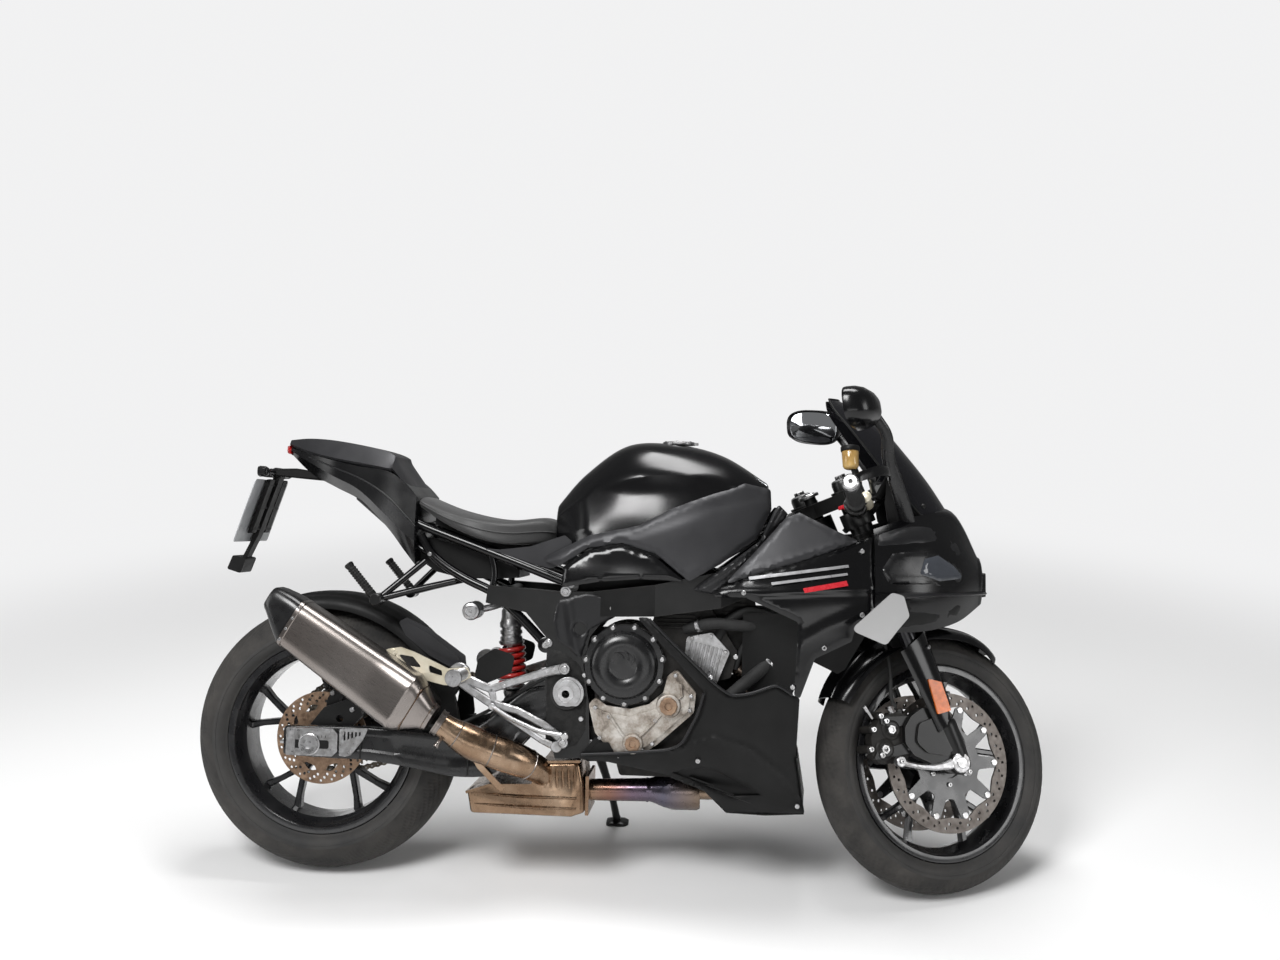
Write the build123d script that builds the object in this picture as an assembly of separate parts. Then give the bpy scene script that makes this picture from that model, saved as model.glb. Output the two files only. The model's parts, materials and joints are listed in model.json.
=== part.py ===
from build123d import *
import os
from math import atan2, cos, degrees, pi, radians, sin, sqrt

# A sport motorcycle with a full fairing, parked on its side stand.
# Millimetres. Every piece is drawn on an upright machine: +X forward from the
# rear axle, +Y to the rider's left, +Z up from the road. The finished pieces
# are then leaned onto the stand and moved so that the origin is on the floor.

# ---- running gear ----
WHEELBASE = 1457
REAR_RADIUS = 321
REAR_WIDTH = 190
REAR_CROWN = 100
FRONT_RADIUS = 300
FRONT_WIDTH = 120
FRONT_CROWN = 62
RIM_SEAT = 216
RIM_FLANGE = 226
RIM_WALL = 5
TYRE_WALL = 9
SPOKES = 5
RAKE = 23.6
TRAIL = 99.8
LEAN = 13
STEER_LOCK = 26

# ---- fits ----
SEAT_GAP = 0.3
PIN_FIT = 0.05
MOVE_GAP = 6

# ---- steering head and fork ----
STEM_RADIUS = 15
STEM_BORE = 9
HEAD_RADIUS = 33
HEAD_LOW = 815
HEAD_HIGH = 950
CLAMP_THICK = 32
AXLE_OFFSET = 28.65
LEG_LEAD = 10
LEG_SPACING = 105
OUTER_TUBE = 27
INNER_TUBE = 21.5
AXLE_HEIGHT = 314.9
OUTER_LOW = 640
OUTER_HIGH = 1012
FRONT_AXLE_RADIUS = 12.5
FRONT_AXLE_BORE = 9
FRONT_HUB_HALF = 62
BAR_RADIUS = 11
GRIP_RADIUS = 16.5
GRIP_LENGTH = 122

# ---- brakes and drive ----
FRONT_DISC = 160
FRONT_DISC_AT = 70
REAR_DISC = 110
REAR_DISC_AT = 66
DISC_THICK = 5
CHAIN_PITCH = 15.875
CHAIN_AT = 109
CHAIN_GAP = 3
REAR_TEETH = 45
FRONT_TEETH = 17
SPROCKET_THICK = 6
ROLLER_RADIUS = 5

# ---- frame, swingarm and axle ----
PIVOT = (599, 457)
PIVOT_RADIUS = 15
FRONT_SPROCKET = (672, 445)
REAR_AXLE_RADIUS = 14
REAR_AXLE_BORE = 10
REAR_HUB_RIGHT = 76
REAR_HUB_LEFT = 114
ARM_IN = 122
ARM_THICK = 30
PLATE_IN = 128
PLATE_THICK = 26
RAIL_RADIUS = 11

# ---- body ----
PANEL_WALL = 3.5
SCREEN_WALL = 3
TANK_ROUND = 24
SEAT_ROUND = 12

BEAD_RADIUS = RIM_SEAT + SEAT_GAP
STEER_ROOT = (WHEELBASE + TRAIL, 0, 0)
HEAD_UP = (-sin(radians(RAKE)), 0, cos(radians(RAKE)))
HEAD_OUT = (cos(radians(RAKE)), 0, sin(radians(RAKE)))
LEG_OUT = AXLE_OFFSET + LEG_LEAD


# ---------------------------------------------------------------- helpers
def head(height, out=0.0, side=0.0):
    """A point of the fork: along the steering axis, ahead of it and to the left."""
    return (
        STEER_ROOT[0] + height * HEAD_UP[0] + out * HEAD_OUT[0],
        side,
        height * HEAD_UP[2] + out * HEAD_OUT[2],
    )


def rod(start, end, radius, bore=0.0):
    """A round bar, or a tube, from one point to another."""
    first, last = Vector(*start), Vector(*end)
    plane = Plane(origin=first, z_dir=last - first)
    length = (last - first).length
    bar = Solid.make_cylinder(radius, length, plane)
    if bore:
        bar = bar - Solid.make_cylinder(bore, length, plane)
    return bar


def cross_rod(x, z, y_from, y_to, radius, bore=0.0):
    """A round bar across the machine."""
    return rod((x, y_from, z), (x, y_to, z), radius, bore)


def pipe(points, radius, bend):
    """A round tube with tangent bends, drawn solid."""
    path = FilletPolyline(*points, radius=bend)
    section = Plane(origin=path @ 0, z_dir=path % 0) * Circle(radius)
    return sweep(section, path)


def side_plate(points, y_from, y_to, corner=0.0):
    """A plate from its (x, z) outline, standing between two distances from the middle."""
    face = Face(Wire.make_polygon([Vector(x, y_from, z) for x, z in points]))
    if corner:
        face = face.fillet_2d(corner, face.vertices())
    return Solid.extrude(face, Vector(0, y_to - y_from, 0))


def plan_plate(points, z_from, z_to):
    """A plate from its (x, y) outline, lying between two heights."""
    face = Face(Wire.make_polygon([Vector(x, y, z_from) for x, y in points]))
    return Solid.extrude(face, Vector(0, 0, z_to - z_from))


def hull_x(rows, corner=0.0, inset=0.0):
    """A closed symmetrical body lofted along X.

    Each row is (x, (half width, height), ...), its corners given from the floor up.
    """
    wires = []
    for x, *half in rows:
        low, high = half[0][1], half[-1][1]
        middle = (low + high) / 2
        shrunk = [(y - inset, z + (inset if z < middle else -inset)) for y, z in half]
        ring = shrunk + [(-y, z) for y, z in reversed(shrunk)]
        face = Face(Wire.make_polygon([Vector(x, y, z) for y, z in ring]))
        if corner:
            face = face.fillet_2d(corner, face.vertices())
        wires.append(face.outer_wire())
    return Solid.make_loft(wires, not corner)


def skin(rows, heights, wall, outward=0.0):
    """A side panel on the left, lofted along X from half widths at fixed heights."""
    wires = []
    for x, *widths in rows:
        outer = [Vector(x, y + outward, z) for y, z in zip(widths, heights)]
        inner = [Vector(x, y - wall, z) for y, z in zip(widths, heights)]
        wires.append(Wire.make_polygon(outer + list(reversed(inner))))
    return Solid.make_loft(wires, True)


def right_of(piece):
    """The same piece on the other side of the machine."""
    return piece.mirror(Plane.XZ)


def both(piece):
    """A left piece with its right twin, as one node."""
    return [piece, right_of(piece)]


def ring_pattern(piece, count, at, start=0.0):
    """Copies of a piece turned about a cross axle at (x, z)."""
    copies = []
    for k in range(count):
        turn = start + 360 * k / count
        spot = Pos(at[0], 0, at[1]) * Rot(0, turn, 0) * Pos(-at[0], 0, -at[1])
        copies.append(spot * piece)
    return copies


def fused(pieces):
    """One solid from pieces that run into each other."""
    whole = pieces[0]
    for piece in pieces[1:]:
        whole = whole + piece
    return whole


def spun(profile, at):
    """A body turned about a cross axle, from (y, radius) corners."""
    face = Face(Wire.make_polygon([Vector(at[0], y, at[1] + r) for y, r in profile]))
    return Solid.revolve(face, 360, Axis((at[0], 0, at[1]), (0, 1, 0)))


# ---------------------------------------------------------------- wheels
def tyre(at, radius, width, crown):
    """A tubeless tyre: arc crown, straight sidewalls, beads on the rim's seats."""
    half = width / 2 - 3
    bead_out = width * 0.4 - SEAT_GAP
    bead_in = bead_out - 12
    middle = radius - crown
    shoulder = middle + sqrt(crown**2 - half**2)
    thin = crown - TYRE_WALL
    inside = half - TYRE_WALL
    inner_shoulder = middle + sqrt(thin**2 - inside**2)
    x, z = at

    def spot(y, r):
        return Vector(x, y, z + r)

    edges = [
        Edge.make_three_point_arc(spot(-half, shoulder), spot(0, radius), spot(half, shoulder)),
        Edge.make_line(spot(half, shoulder), spot(bead_out, RIM_FLANGE + 2)),
        Edge.make_line(spot(bead_out, RIM_FLANGE + 2), spot(bead_out, BEAD_RADIUS)),
        Edge.make_line(spot(bead_out, BEAD_RADIUS), spot(bead_in, BEAD_RADIUS)),
        Edge.make_line(spot(bead_in, BEAD_RADIUS), spot(inside, inner_shoulder)),
        Edge.make_three_point_arc(
            spot(inside, inner_shoulder), spot(0, middle + thin), spot(-inside, inner_shoulder)
        ),
        Edge.make_line(spot(-inside, inner_shoulder), spot(-bead_in, BEAD_RADIUS)),
        Edge.make_line(spot(-bead_in, BEAD_RADIUS), spot(-bead_out, BEAD_RADIUS)),
        Edge.make_line(spot(-bead_out, BEAD_RADIUS), spot(-bead_out, RIM_FLANGE + 2)),
        Edge.make_line(spot(-bead_out, RIM_FLANGE + 2), spot(-half, shoulder)),
    ]
    face = Face(Wire(edges))
    return Solid.revolve(face, 360, Axis((x, 0, z), (0, 1, 0)))


def rim(at, width, hub_right, hub_left, hub_radius, bore):
    """A cast wheel: barrel with its drop centre, hub and forked spokes."""
    seat = width * 0.4
    profile = [
        (-seat - 3, RIM_FLANGE), (-seat, RIM_FLANGE), (-seat, RIM_SEAT),
        (-seat + 26, RIM_SEAT - 1), (-seat + 34, RIM_SEAT - 16), (seat - 34, RIM_SEAT - 16),
        (seat - 26, RIM_SEAT - 1), (seat, RIM_SEAT), (seat, RIM_FLANGE),
        (seat + 3, RIM_FLANGE), (seat + 5, RIM_SEAT - 6), (seat - 24, RIM_SEAT - 8),
        (seat - 36, RIM_SEAT - 16 - RIM_WALL), (-seat + 36, RIM_SEAT - 16 - RIM_WALL),
        (-seat + 24, RIM_SEAT - 8), (-seat - 5, RIM_SEAT - 6),
    ]
    barrel = spun(profile, at)
    hub = cross_rod(at[0], at[1], -hub_right, hub_left, hub_radius)
    reach = RIM_SEAT - 18
    fork_at = reach * 0.52
    stalk = side_plate(
        [(-17, hub_radius - 8), (17, hub_radius - 8), (13, fork_at), (-13, fork_at)], -14, 14
    )
    arm = side_plate(
        [(-13, fork_at - 14), (2, fork_at - 18), (60, reach), (42, reach + 4)], -11, 11
    )
    spoke = fused([stalk, arm, arm.mirror(Plane.YZ)])
    spoke = Pos(at[0], 0, at[1]) * spoke
    wheel = fused([barrel, hub] + ring_pattern(spoke, SPOKES, at))
    return wheel - cross_rod(at[0], at[1], -hub_right - 1, hub_left + 1, bore)


def brake_disc(at, y, radius, inner, holes):
    """A drilled brake disc on its carrier ring."""
    lower, upper = y - DISC_THICK / 2, y + DISC_THICK / 2
    disc = cross_rod(at[0], at[1], lower, upper, radius, inner)
    rows = ((0.86, 0), (0.74, 0.5))
    for share, shift in rows:
        hole = cross_rod(at[0], at[1] + radius * share, lower - 1, upper + 1, 4)
        for cut in ring_pattern(hole, holes, at, 360 / holes * shift):
            disc = disc - cut
    return disc


REAR_AT = (0, REAR_RADIUS)
FRONT_AT = (WHEELBASE, FRONT_RADIUS)


def rear_wheel_nodes():
    hub_radius = 38
    wheel = rim(
        REAR_AT, REAR_WIDTH, REAR_HUB_RIGHT, REAR_HUB_LEFT, hub_radius, REAR_AXLE_RADIUS + PIN_FIT,
    )
    inner = hub_radius + 2
    disc_y = -REAR_DISC_AT
    flange = cross_rod(0, REAR_RADIUS, disc_y + DISC_THICK / 2, disc_y + DISC_THICK / 2 + 8, 58)
    carrier = cross_rod(0, REAR_RADIUS, 40, CHAIN_AT - SPROCKET_THICK / 2, 56)
    bore = cross_rod(0, REAR_RADIUS, -120, 120, REAR_AXLE_RADIUS + PIN_FIT)
    wheel = fused([wheel, flange, carrier]) - bore
    disc = brake_disc(REAR_AT, disc_y, REAR_DISC, inner, 18)
    return {
        "rear_rim": wheel,
        "rear_tyre": tyre(REAR_AT, REAR_RADIUS, REAR_WIDTH, REAR_CROWN),
        "rear_disc": disc,
        "rear_sprocket": rear_sprocket(),
    }


def pitch_radius(teeth):
    return CHAIN_PITCH / (2 * sin(pi / teeth))


def rear_sprocket():
    """The driven sprocket, its tips just inside the rollers, bolted to the hub's carrier."""
    tip = pitch_radius(REAR_TEETH) - ROLLER_RADIUS - CHAIN_GAP
    root = tip - 7
    x, z = REAR_AT
    corners = []
    for k in range(REAR_TEETH):
        for share, r in ((-0.26, root), (-0.1, tip), (0.1, tip), (0.26, root)):
            turn = 2 * pi * (k + share) / REAR_TEETH
            corners.append((x + r * sin(turn), z + r * cos(turn)))
    plate = side_plate(corners, CHAIN_AT - SPROCKET_THICK / 2, CHAIN_AT + SPROCKET_THICK / 2)
    for hole in ring_pattern(
        cross_rod(x, z + root * 0.78, CHAIN_AT - 20, CHAIN_AT + 20, 10), 5, REAR_AT, 36,
    ):
        plate = plate - hole
    return plate - cross_rod(x, z, CHAIN_AT - 20, CHAIN_AT + 20, 38 + SEAT_GAP)


def front_wheel_nodes():
    hub_radius = 30
    hub_half = FRONT_HUB_HALF
    wheel = rim(FRONT_AT, FRONT_WIDTH, hub_half, hub_half, hub_radius, FRONT_AXLE_RADIUS + PIN_FIT)
    flange_in = FRONT_DISC_AT - DISC_THICK / 2
    flange = cross_rod(*FRONT_AT, flange_in - 8, flange_in, 70)
    wheel = fused([wheel, flange, right_of(flange)])
    wheel = wheel - cross_rod(*FRONT_AT, -100, 100, FRONT_AXLE_RADIUS + PIN_FIT)
    left = brake_disc(FRONT_AT, FRONT_DISC_AT, FRONT_DISC, 62, 24)
    return {
        "front_rim": wheel,
        "front_tyre": tyre(FRONT_AT, FRONT_RADIUS, FRONT_WIDTH, FRONT_CROWN),
        "front_discs": both(left),
    }


# ---------------------------------------------------------------- steering
def steering_nodes():
    def leg(height):
        return head(height, LEG_OUT, LEG_SPACING)

    outer = rod(leg(OUTER_LOW), leg(OUTER_HIGH), OUTER_TUBE, INNER_TUBE + SEAT_GAP)
    outer = outer + rod(leg(OUTER_HIGH), leg(OUTER_HIGH + 8), OUTER_TUBE - 3)
    inner = rod(leg(AXLE_HEIGHT + 62), leg(OUTER_HIGH - 60), INNER_TUBE)
    foot = rod(leg(AXLE_HEIGHT - 22), leg(AXLE_HEIGHT + 96), OUTER_TUBE)
    foot = foot - rod(leg(AXLE_HEIGHT + 62 - SEAT_GAP), leg(AXLE_HEIGHT + 200), INNER_TUBE + SEAT_GAP)
    boss = cross_rod(*FRONT_AT, LEG_SPACING - 24, LEG_SPACING + 22, 26)
    lug = side_plate(
        [(1372, 352), (1402, 384), (1448, 372), (1452, 296), (1300, 300), (1296, 318), (1370, 322)],
        LEG_SPACING - 12, LEG_SPACING + 2,
    )
    bore = cross_rod(*FRONT_AT, 60, 160, FRONT_AXLE_RADIUS + PIN_FIT)
    socket = rod(leg(AXLE_HEIGHT + 62 - SEAT_GAP), leg(AXLE_HEIGHT + 200), INNER_TUBE + SEAT_GAP)
    foot = fused([foot, boss, lug]) - bore - socket
    foot = foot - cross_rod(*FRONT_AT, 0, FRONT_DISC_AT + 8, FRONT_DISC + 6)

    def clamp(height, half):
        outline = [
            (-26, half - 96), (6, half), (62, half), (73, half - 24), (73, half - 60), (40, 40),
            (40, -40), (73, 60 - half), (73, 24 - half), (62, -half), (6, -half), (-26, 96 - half),
        ]
        plane = Plane(origin=head(height), x_dir=HEAD_OUT, z_dir=HEAD_UP)
        plate = extrude(plane * make_face(Polyline(*outline, close=True)), CLAMP_THICK)
        for side in (LEG_SPACING, -LEG_SPACING):
            low, high = head(height - 5, LEG_OUT, side), head(height + 60, LEG_OUT, side)
            plate = plate - rod(low, high, OUTER_TUBE + PIN_FIT)
        return plate

    half = LEG_SPACING + OUTER_TUBE + 12
    lower = clamp(HEAD_LOW - MOVE_GAP - CLAMP_THICK, half)
    upper = clamp(HEAD_HIGH + MOVE_GAP, half)
    stem = rod(head(HEAD_LOW - MOVE_GAP - CLAMP_THICK), head(HEAD_HIGH + 60), STEM_RADIUS)
    lower = fused([lower, stem])
    lower = lower - rod(head(HEAD_LOW - 80), head(HEAD_HIGH + 80), STEM_BORE)
    upper = upper - rod(head(HEAD_HIGH), head(HEAD_HIGH + 80), STEM_RADIUS + PIN_FIT)

    bar_from = head(920, LEG_OUT, LEG_SPACING + 10)
    bar_to = (1081, 335, 882)
    way = (Vector(*bar_to) - Vector(*bar_from)).normalized()
    ring = rod(head(902, LEG_OUT, LEG_SPACING), head(936, LEG_OUT, LEG_SPACING), OUTER_TUBE + 9)
    bar_start = Vector(*bar_from) + way * 12
    bar = rod(tuple(bar_start), bar_to, BAR_RADIUS)
    clip = fused([ring, bar])
    clip = clip - rod(leg(880), leg(960), OUTER_TUBE + PIN_FIT)
    tip = Vector(*bar_to)
    grip_from, grip_to = tip - way * (GRIP_LENGTH + 4), tip - way * 4
    grip = rod(tuple(grip_from), tuple(grip_to), GRIP_RADIUS, BAR_RADIUS + PIN_FIT)
    weight = rod(tuple(tip - way * 3), tuple(tip + way * 24), GRIP_RADIUS - 2)
    clip = fused([clip, weight])
    ahead = Vector(*HEAD_OUT)
    perch_at = tip - way * (GRIP_LENGTH + 24)
    perch = rod(tuple(perch_at - way * 16), tuple(perch_at + way * 12), BAR_RADIUS + 9)
    knuckle = rod(tuple(perch_at + ahead * 8), tuple(perch_at + ahead * 46), 10)
    blade_a = perch_at + ahead * 42
    blade_b = tip + ahead * 52
    blade = rod(tuple(blade_a), tuple(blade_b), 6.5)
    lever = fused([perch, knuckle, blade])
    lever = lever - rod(tuple(perch_at - way * 60), tuple(perch_at + way * 60), BAR_RADIUS + PIN_FIT)
    pot_at = perch_at + ahead * 52 + Vector(0, -24, 12)
    pot = rod(tuple(pot_at), tuple(pot_at + Vector(0, 0, 62)), 17)
    pot_arm = rod(tuple(perch_at + ahead * 40), tuple(pot_at + Vector(0, 0, 6)), 6)
    brake_lever = right_of(fused([lever, pot_arm, pot]))

    mud_out = FRONT_RADIUS + 14
    mudguard = mudguard_shell(mud_out, foot)

    caliper = side_plate([(1262, 300), (1340, 316), (1362, 372), (1330, 408), (1278, 396)], 56, 100, 6)
    caliper = caliper - cross_rod(*FRONT_AT, 40, FRONT_DISC_AT + DISC_THICK / 2 + 3, FRONT_DISC + 5)
    caliper = caliper - cross_rod(*FRONT_AT, 30, 60, 400) - foot
    caliper = max(caliper.solids(), key=lambda s: s.volume)
    axle = cross_rod(*FRONT_AT, -LEG_SPACING - 26, LEG_SPACING + 26, FRONT_AXLE_RADIUS, FRONT_AXLE_BORE)
    nodes = {
        "fork_outer_tubes": both(outer),
        "fork_inner_tubes": both(inner),
        "fork_feet": both(foot),
        "fork_clamps": [lower, upper],
        "clip_ons": both(clip),
        "grips": both(grip),
        "hand_controls": [lever, brake_lever],
        "front_mudguard": mudguard,
        "front_calipers": both(caliper),
        "front_axle": axle,
    }
    return nodes


def mudguard_shell(outer, foot):
    """The front mudguard: an arched skin over the tyre with a cheek down each fork leg."""
    wall = PANEL_WALL
    half = FRONT_WIDTH / 2 + 14
    x, z = FRONT_AT
    rows = ((half, outer - 34), (half - 4, outer - 6), (half - 34, outer + 6))
    left = [(y, r) for y, r in rows]
    ring = left + [(-y, r) for y, r in reversed(left)]
    inner = [(y - wall, r - wall) for y, r in left]
    inner = [(-y, r) for y, r in inner] + [(y, r) for y, r in reversed(inner)]
    skin_ring = spun(ring + inner, FRONT_AT)
    wedge = side_plate(
        [(x, z), (x + 320, z + 600), (x + 320, z + 700), (x - 620, z + 700), (x - 620, z + 358)],
        -200, 200,
    )
    guard = skin_ring & wedge
    cheek_low, cheek_high = head(520, LEG_OUT), head(590, LEG_OUT)
    disc_top = FRONT_RADIUS + FRONT_DISC + MOVE_GAP
    cheek = side_plate(
        [
            (cheek_low[0] - 34, disc_top), (cheek_low[0] + 44, disc_top),
            (cheek_high[0] + 58, cheek_high[2]), (cheek_high[0] - 50, cheek_high[2]),
        ],
        half - wall, LEG_SPACING - OUTER_TUBE + 1,
    )
    strap = side_plate([(1415, 376), (1450, 376), (1420, 480), (1372, 480)], 77.6, 81)
    cheek = fused([cheek, strap]) - foot
    return fused([guard, cheek, right_of(cheek)])


# ---------------------------------------------------------------- frame and drive
def beam(rows):
    """A straight-sided bar lofted from (x, inner y, outer y, lower z, upper z) rows."""
    wires = [
        Wire.make_polygon(
            [Vector(x, a, low), Vector(x, b, low), Vector(x, b, high), Vector(x, a, high)],
        )
        for x, a, b, low, high in rows
    ]
    return Solid.make_loft(wires, True)


def frame_nodes():
    collar = rod(head(HEAD_LOW), head(HEAD_HIGH), HEAD_RADIUS)
    plate_out = PLATE_IN + PLATE_THICK
    # x, inner y, outer y, lower z, upper z
    spar = beam(
        (
            (1224, 4, 30, 752, 812),
            (1160, 24, 60, 744, 812),
            (1100, 74, 110, 726, 806),
            (950, 130, 162, 662, 745),
            (800, 146, 178, 640, 712),
            (655, PLATE_IN, plate_out, 634, 692),
        )
    )
    plate = side_plate(
        [
            (577, 690), (690, 692), (690, 640), (650, 588), (636, 523), (650, 440), (656, 312),
            (576, 306), (560, 360), (548, 470), (552, 580), (500, 640), (405, 660), (410, 700), (520, 694),
        ],
        PLATE_IN, plate_out,
    )
    boss = cross_rod(*PIVOT, PLATE_IN, plate_out + 8, 36)
    left = fused([spar, plate, boss])
    tie_high = cross_rod(*SHOCK_TOP, -PLATE_IN - 4, PLATE_IN + 4, SHOCK_PIN)
    tie_low = cross_rod(606, 330, -PLATE_IN - 4, PLATE_IN + 4, 13)
    frame = fused([collar, left, right_of(left), tie_high, tie_low])
    frame = frame - rod(head(HEAD_LOW - 30), head(HEAD_HIGH + 40), STEM_RADIUS + PIN_FIT)
    frame = frame - cross_rod(*PIVOT, -200, 200, PIVOT_RADIUS + PIN_FIT)

    rail_y = plate_out - 14
    upper = rod((604, rail_y, 706), (240, 104, 834), RAIL_RADIUS)
    upper_tail = rod((240, 104, 834), (70, 60, 908), RAIL_RADIUS)
    lower = rod((524, rail_y, 592), (236, 102, 752), RAIL_RADIUS)
    lower_tail = rod((236, 102, 752), (70, 58, 908), RAIL_RADIUS)
    knees = [Pos(240, 104, 834) * Sphere(RAIL_RADIUS), Pos(236, 102, 752) * Sphere(RAIL_RADIUS)]
    knees.append(Pos(70, 59, 908) * Sphere(RAIL_RADIUS))
    peg_at = (152, 150, 662)
    stays = [
        rod((246, 107, 746), peg_at, 8), rod((325, 118, 701), peg_at, 8),
        Pos(*peg_at) * Sphere(13),
    ]
    rail = fused([upper, upper_tail, lower, lower_tail] + knees + stays)
    # x, z, half length
    ties = [
        cross_rod(x, z, -y, y, 9)
        for x, z, y in ((240, 834, 104), (400, 779.1, 124), (70, 908, 59))
    ]
    subframe = fused([rail, right_of(rail)] + ties) - frame
    pegs = rod((152, 174, 662), (84, 174, 742), 10)
    pegs = fused([pegs, rod((152, 163 + SEAT_GAP, 662), (152, 188, 662), 13)])
    return {"frame": frame, "subframe": subframe, "passenger_pegs": both(pegs)}


SHOCK_TOP = (436, 680)
SHOCK_FOOT = (448, 420)
SHOCK_PIN = 14


def rear_end_nodes():
    arm_out = ARM_IN + ARM_THICK
    # x, inner y, outer y, lower z, upper z
    arm = beam(
        (
            (-60, ARM_IN + 2, arm_out - 2, 292, 360),
            (136, ARM_IN, arm_out, 288, 362),
            (330, ARM_IN, arm_out, 256, 352),
            (430, 116, 144, 262, 400),
            (510, 98, 126, 352, 462),
            (560, 96, 124, 380, 470),
            (626, 96, 124, 424, 474),
        )
    )
    slot = side_plate([(-42, 306), (44, 306), (44, 336), (-42, 336)], 90, 190)
    arm = arm - slot
    bridge = side_plate(
        [(385, 330), (470, 320), (560, 400), (560, 480), (505, 476), (420, 400)], -118, 118, 10,
    )
    low, high = (SHOCK_FOOT[0], 0, SHOCK_FOOT[1]), (SHOCK_TOP[0], 0, SHOCK_TOP[1])
    bridge = bridge - cross_rod(*SHOCK_FOOT, -40, 40, 38) - rod(low, high, 40)
    lug_pin = cross_rod(*SHOCK_FOOT, -50, 50, SHOCK_PIN)
    tube = cross_rod(*PIVOT, -96, 96, 32)
    ends = cross_rod(*PIVOT, SEAT_GAP - PLATE_IN, PLATE_IN - SEAT_GAP, 20)
    swingarm = fused([arm, right_of(arm), bridge, tube, ends, lug_pin])
    tunnel = belt(13, CHAIN_AT - 14, CHAIN_AT + 13) - belt(-12, CHAIN_AT - 20, CHAIN_AT + 20)
    swingarm = max((swingarm - tunnel).solids(), key=lambda s: s.volume)
    swingarm = swingarm - cross_rod(*PIVOT, -200, 200, PIVOT_RADIUS + PIN_FIT)

    plate_out = PLATE_IN + PLATE_THICK + 8
    pin = cross_rod(*PIVOT, -plate_out - 10, plate_out + 10, PIVOT_RADIUS)
    cap = cross_rod(*PIVOT, plate_out + SEAT_GAP, plate_out + 10, 25)
    pin = fused([pin, cap, right_of(cap)]) - cross_rod(*PIVOT, -220, 220, 9)

    axle = cross_rod(*REAR_AT, -arm_out - 16, arm_out + 16, REAR_AXLE_RADIUS)
    nut = cross_rod(*REAR_AT, arm_out + 8 + SEAT_GAP, arm_out + 16, 23)
    sleeve = cross_rod(*REAR_AT, REAR_HUB_LEFT + MOVE_GAP / 2, ARM_IN + 0.8, 20)
    sleeve_right = cross_rod(*REAR_AT, -96, -REAR_HUB_RIGHT - MOVE_GAP, 20)
    axle = fused([axle, nut, right_of(nut), sleeve, sleeve_right])
    axle = axle - cross_rod(*REAR_AT, -200, 200, REAR_AXLE_BORE)
    plate = side_plate(
        [(-56, 294), (68, 294), (68, 358), (-56, 358)], arm_out + SEAT_GAP, arm_out + 8, 5,
    )
    block = side_plate([(-26, 307), (26, 307), (26, 335), (-26, 335)], ARM_IN + 4, arm_out + 4)
    adjuster = fused([plate, block]) - cross_rod(*REAR_AT, 0, 200, REAR_AXLE_RADIUS + PIN_FIT)

    caliper = side_plate([(15, 382), (108, 376), (126, 420), (90, 452), (28, 442)], -94, -46, 6)
    disc_slot = REAR_DISC_AT + DISC_THICK / 2 + MOVE_GAP
    caliper = caliper - cross_rod(
        *REAR_AT, -disc_slot, -REAR_DISC_AT + DISC_THICK / 2 + MOVE_GAP, REAR_DISC + 7,
    )
    hanger = side_plate([(-24, 300), (24, 296), (112, 384), (100, 430), (20, 400)], -ARM_IN + 1, -94)
    hanger = hanger - cross_rod(*REAR_AT, -140, -60, 20 + SEAT_GAP)
    collar = cross_rod(*REAR_AT, -ARM_IN + 1, -97, 26, REAR_AXLE_RADIUS + PIN_FIT)
    caliper = fused([caliper, hanger, collar])

    way = (Vector(*high) - Vector(*low)).normalized()
    foot = Vector(*low)

    def along(a, b, radius, bore=0.0):
        return rod(tuple(foot + way * a), tuple(foot + way * b), radius, bore)

    eye_low = cross_rod(*SHOCK_FOOT, -15, 15, 22)
    eye_high = cross_rod(*SHOCK_TOP, -16, 16, 24)
    damper = fused(
        [
            eye_low, eye_high, along(0, 260, 12), along(30, 44, 31), along(150, 164, 31),
            along(164, 240, 25),
        ],
    )
    can = rod((359, -98, 635), (359, -30, 635), 21)
    link = rod((359, -36, 640), tuple(foot + way * 225), 7)
    damper = fused([damper, can, link])
    damper = damper - cross_rod(*SHOCK_FOOT, -60, 60, SHOCK_PIN + PIN_FIT)
    damper = damper - cross_rod(*SHOCK_TOP, -60, 60, SHOCK_PIN + PIN_FIT)
    coils = [along(44 + SEAT_GAP, 150 - SEAT_GAP, 20, 12 + SEAT_GAP)]
    coils += [along(46 + 13 * k, 54 + 13 * k, 28, 15) for k in range(8)]
    spring = fused(coils)

    outer, wall, half = REAR_RADIUS + 24, PANEL_WALL, 97
    hugger = arch(REAR_AT, half, outer, 34, [(0, 321), (-150, 800), (460, 800), (460, 470)])
    seat_low = 358
    cheek = side_plate([(236, 500), (312, 470), (326, seat_low), (285, seat_low)], half - wall, half)
    foot = side_plate(
        [(262, 355.8), (326, 352.5), (326, 360), (262, 363)], half - wall, ARM_IN + 14
    )
    cheek = fused([cheek, foot])
    hugger = fused([hugger, cheek, right_of(cheek)])
    return {
        "swingarm": swingarm,
        "swingarm_pivot": pin,
        "rear_axle": axle,
        "chain_adjusters": both(adjuster),
        "rear_caliper": caliper,
        "shock_absorber": damper,
        "shock_spring": spring,
        "rear_hugger": hugger,
    }


def arch(at, half, outer, drop, wedge):
    """A mudguard: a thin channel spun about the axle, cut to a wedge of the side view."""
    wall = PANEL_WALL
    left = ((half, outer - drop), (half - 4, outer - 10), (half - 30, outer))
    ring = list(left) + [(-y, r) for y, r in reversed(left)]
    inner = [(y - wall, r - wall) for y, r in left]
    ring += [(-y, r) for y, r in inner] + [(y, r) for y, r in reversed(inner)]
    return spun(ring, at) & side_plate(wedge, -220, 220)


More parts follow.
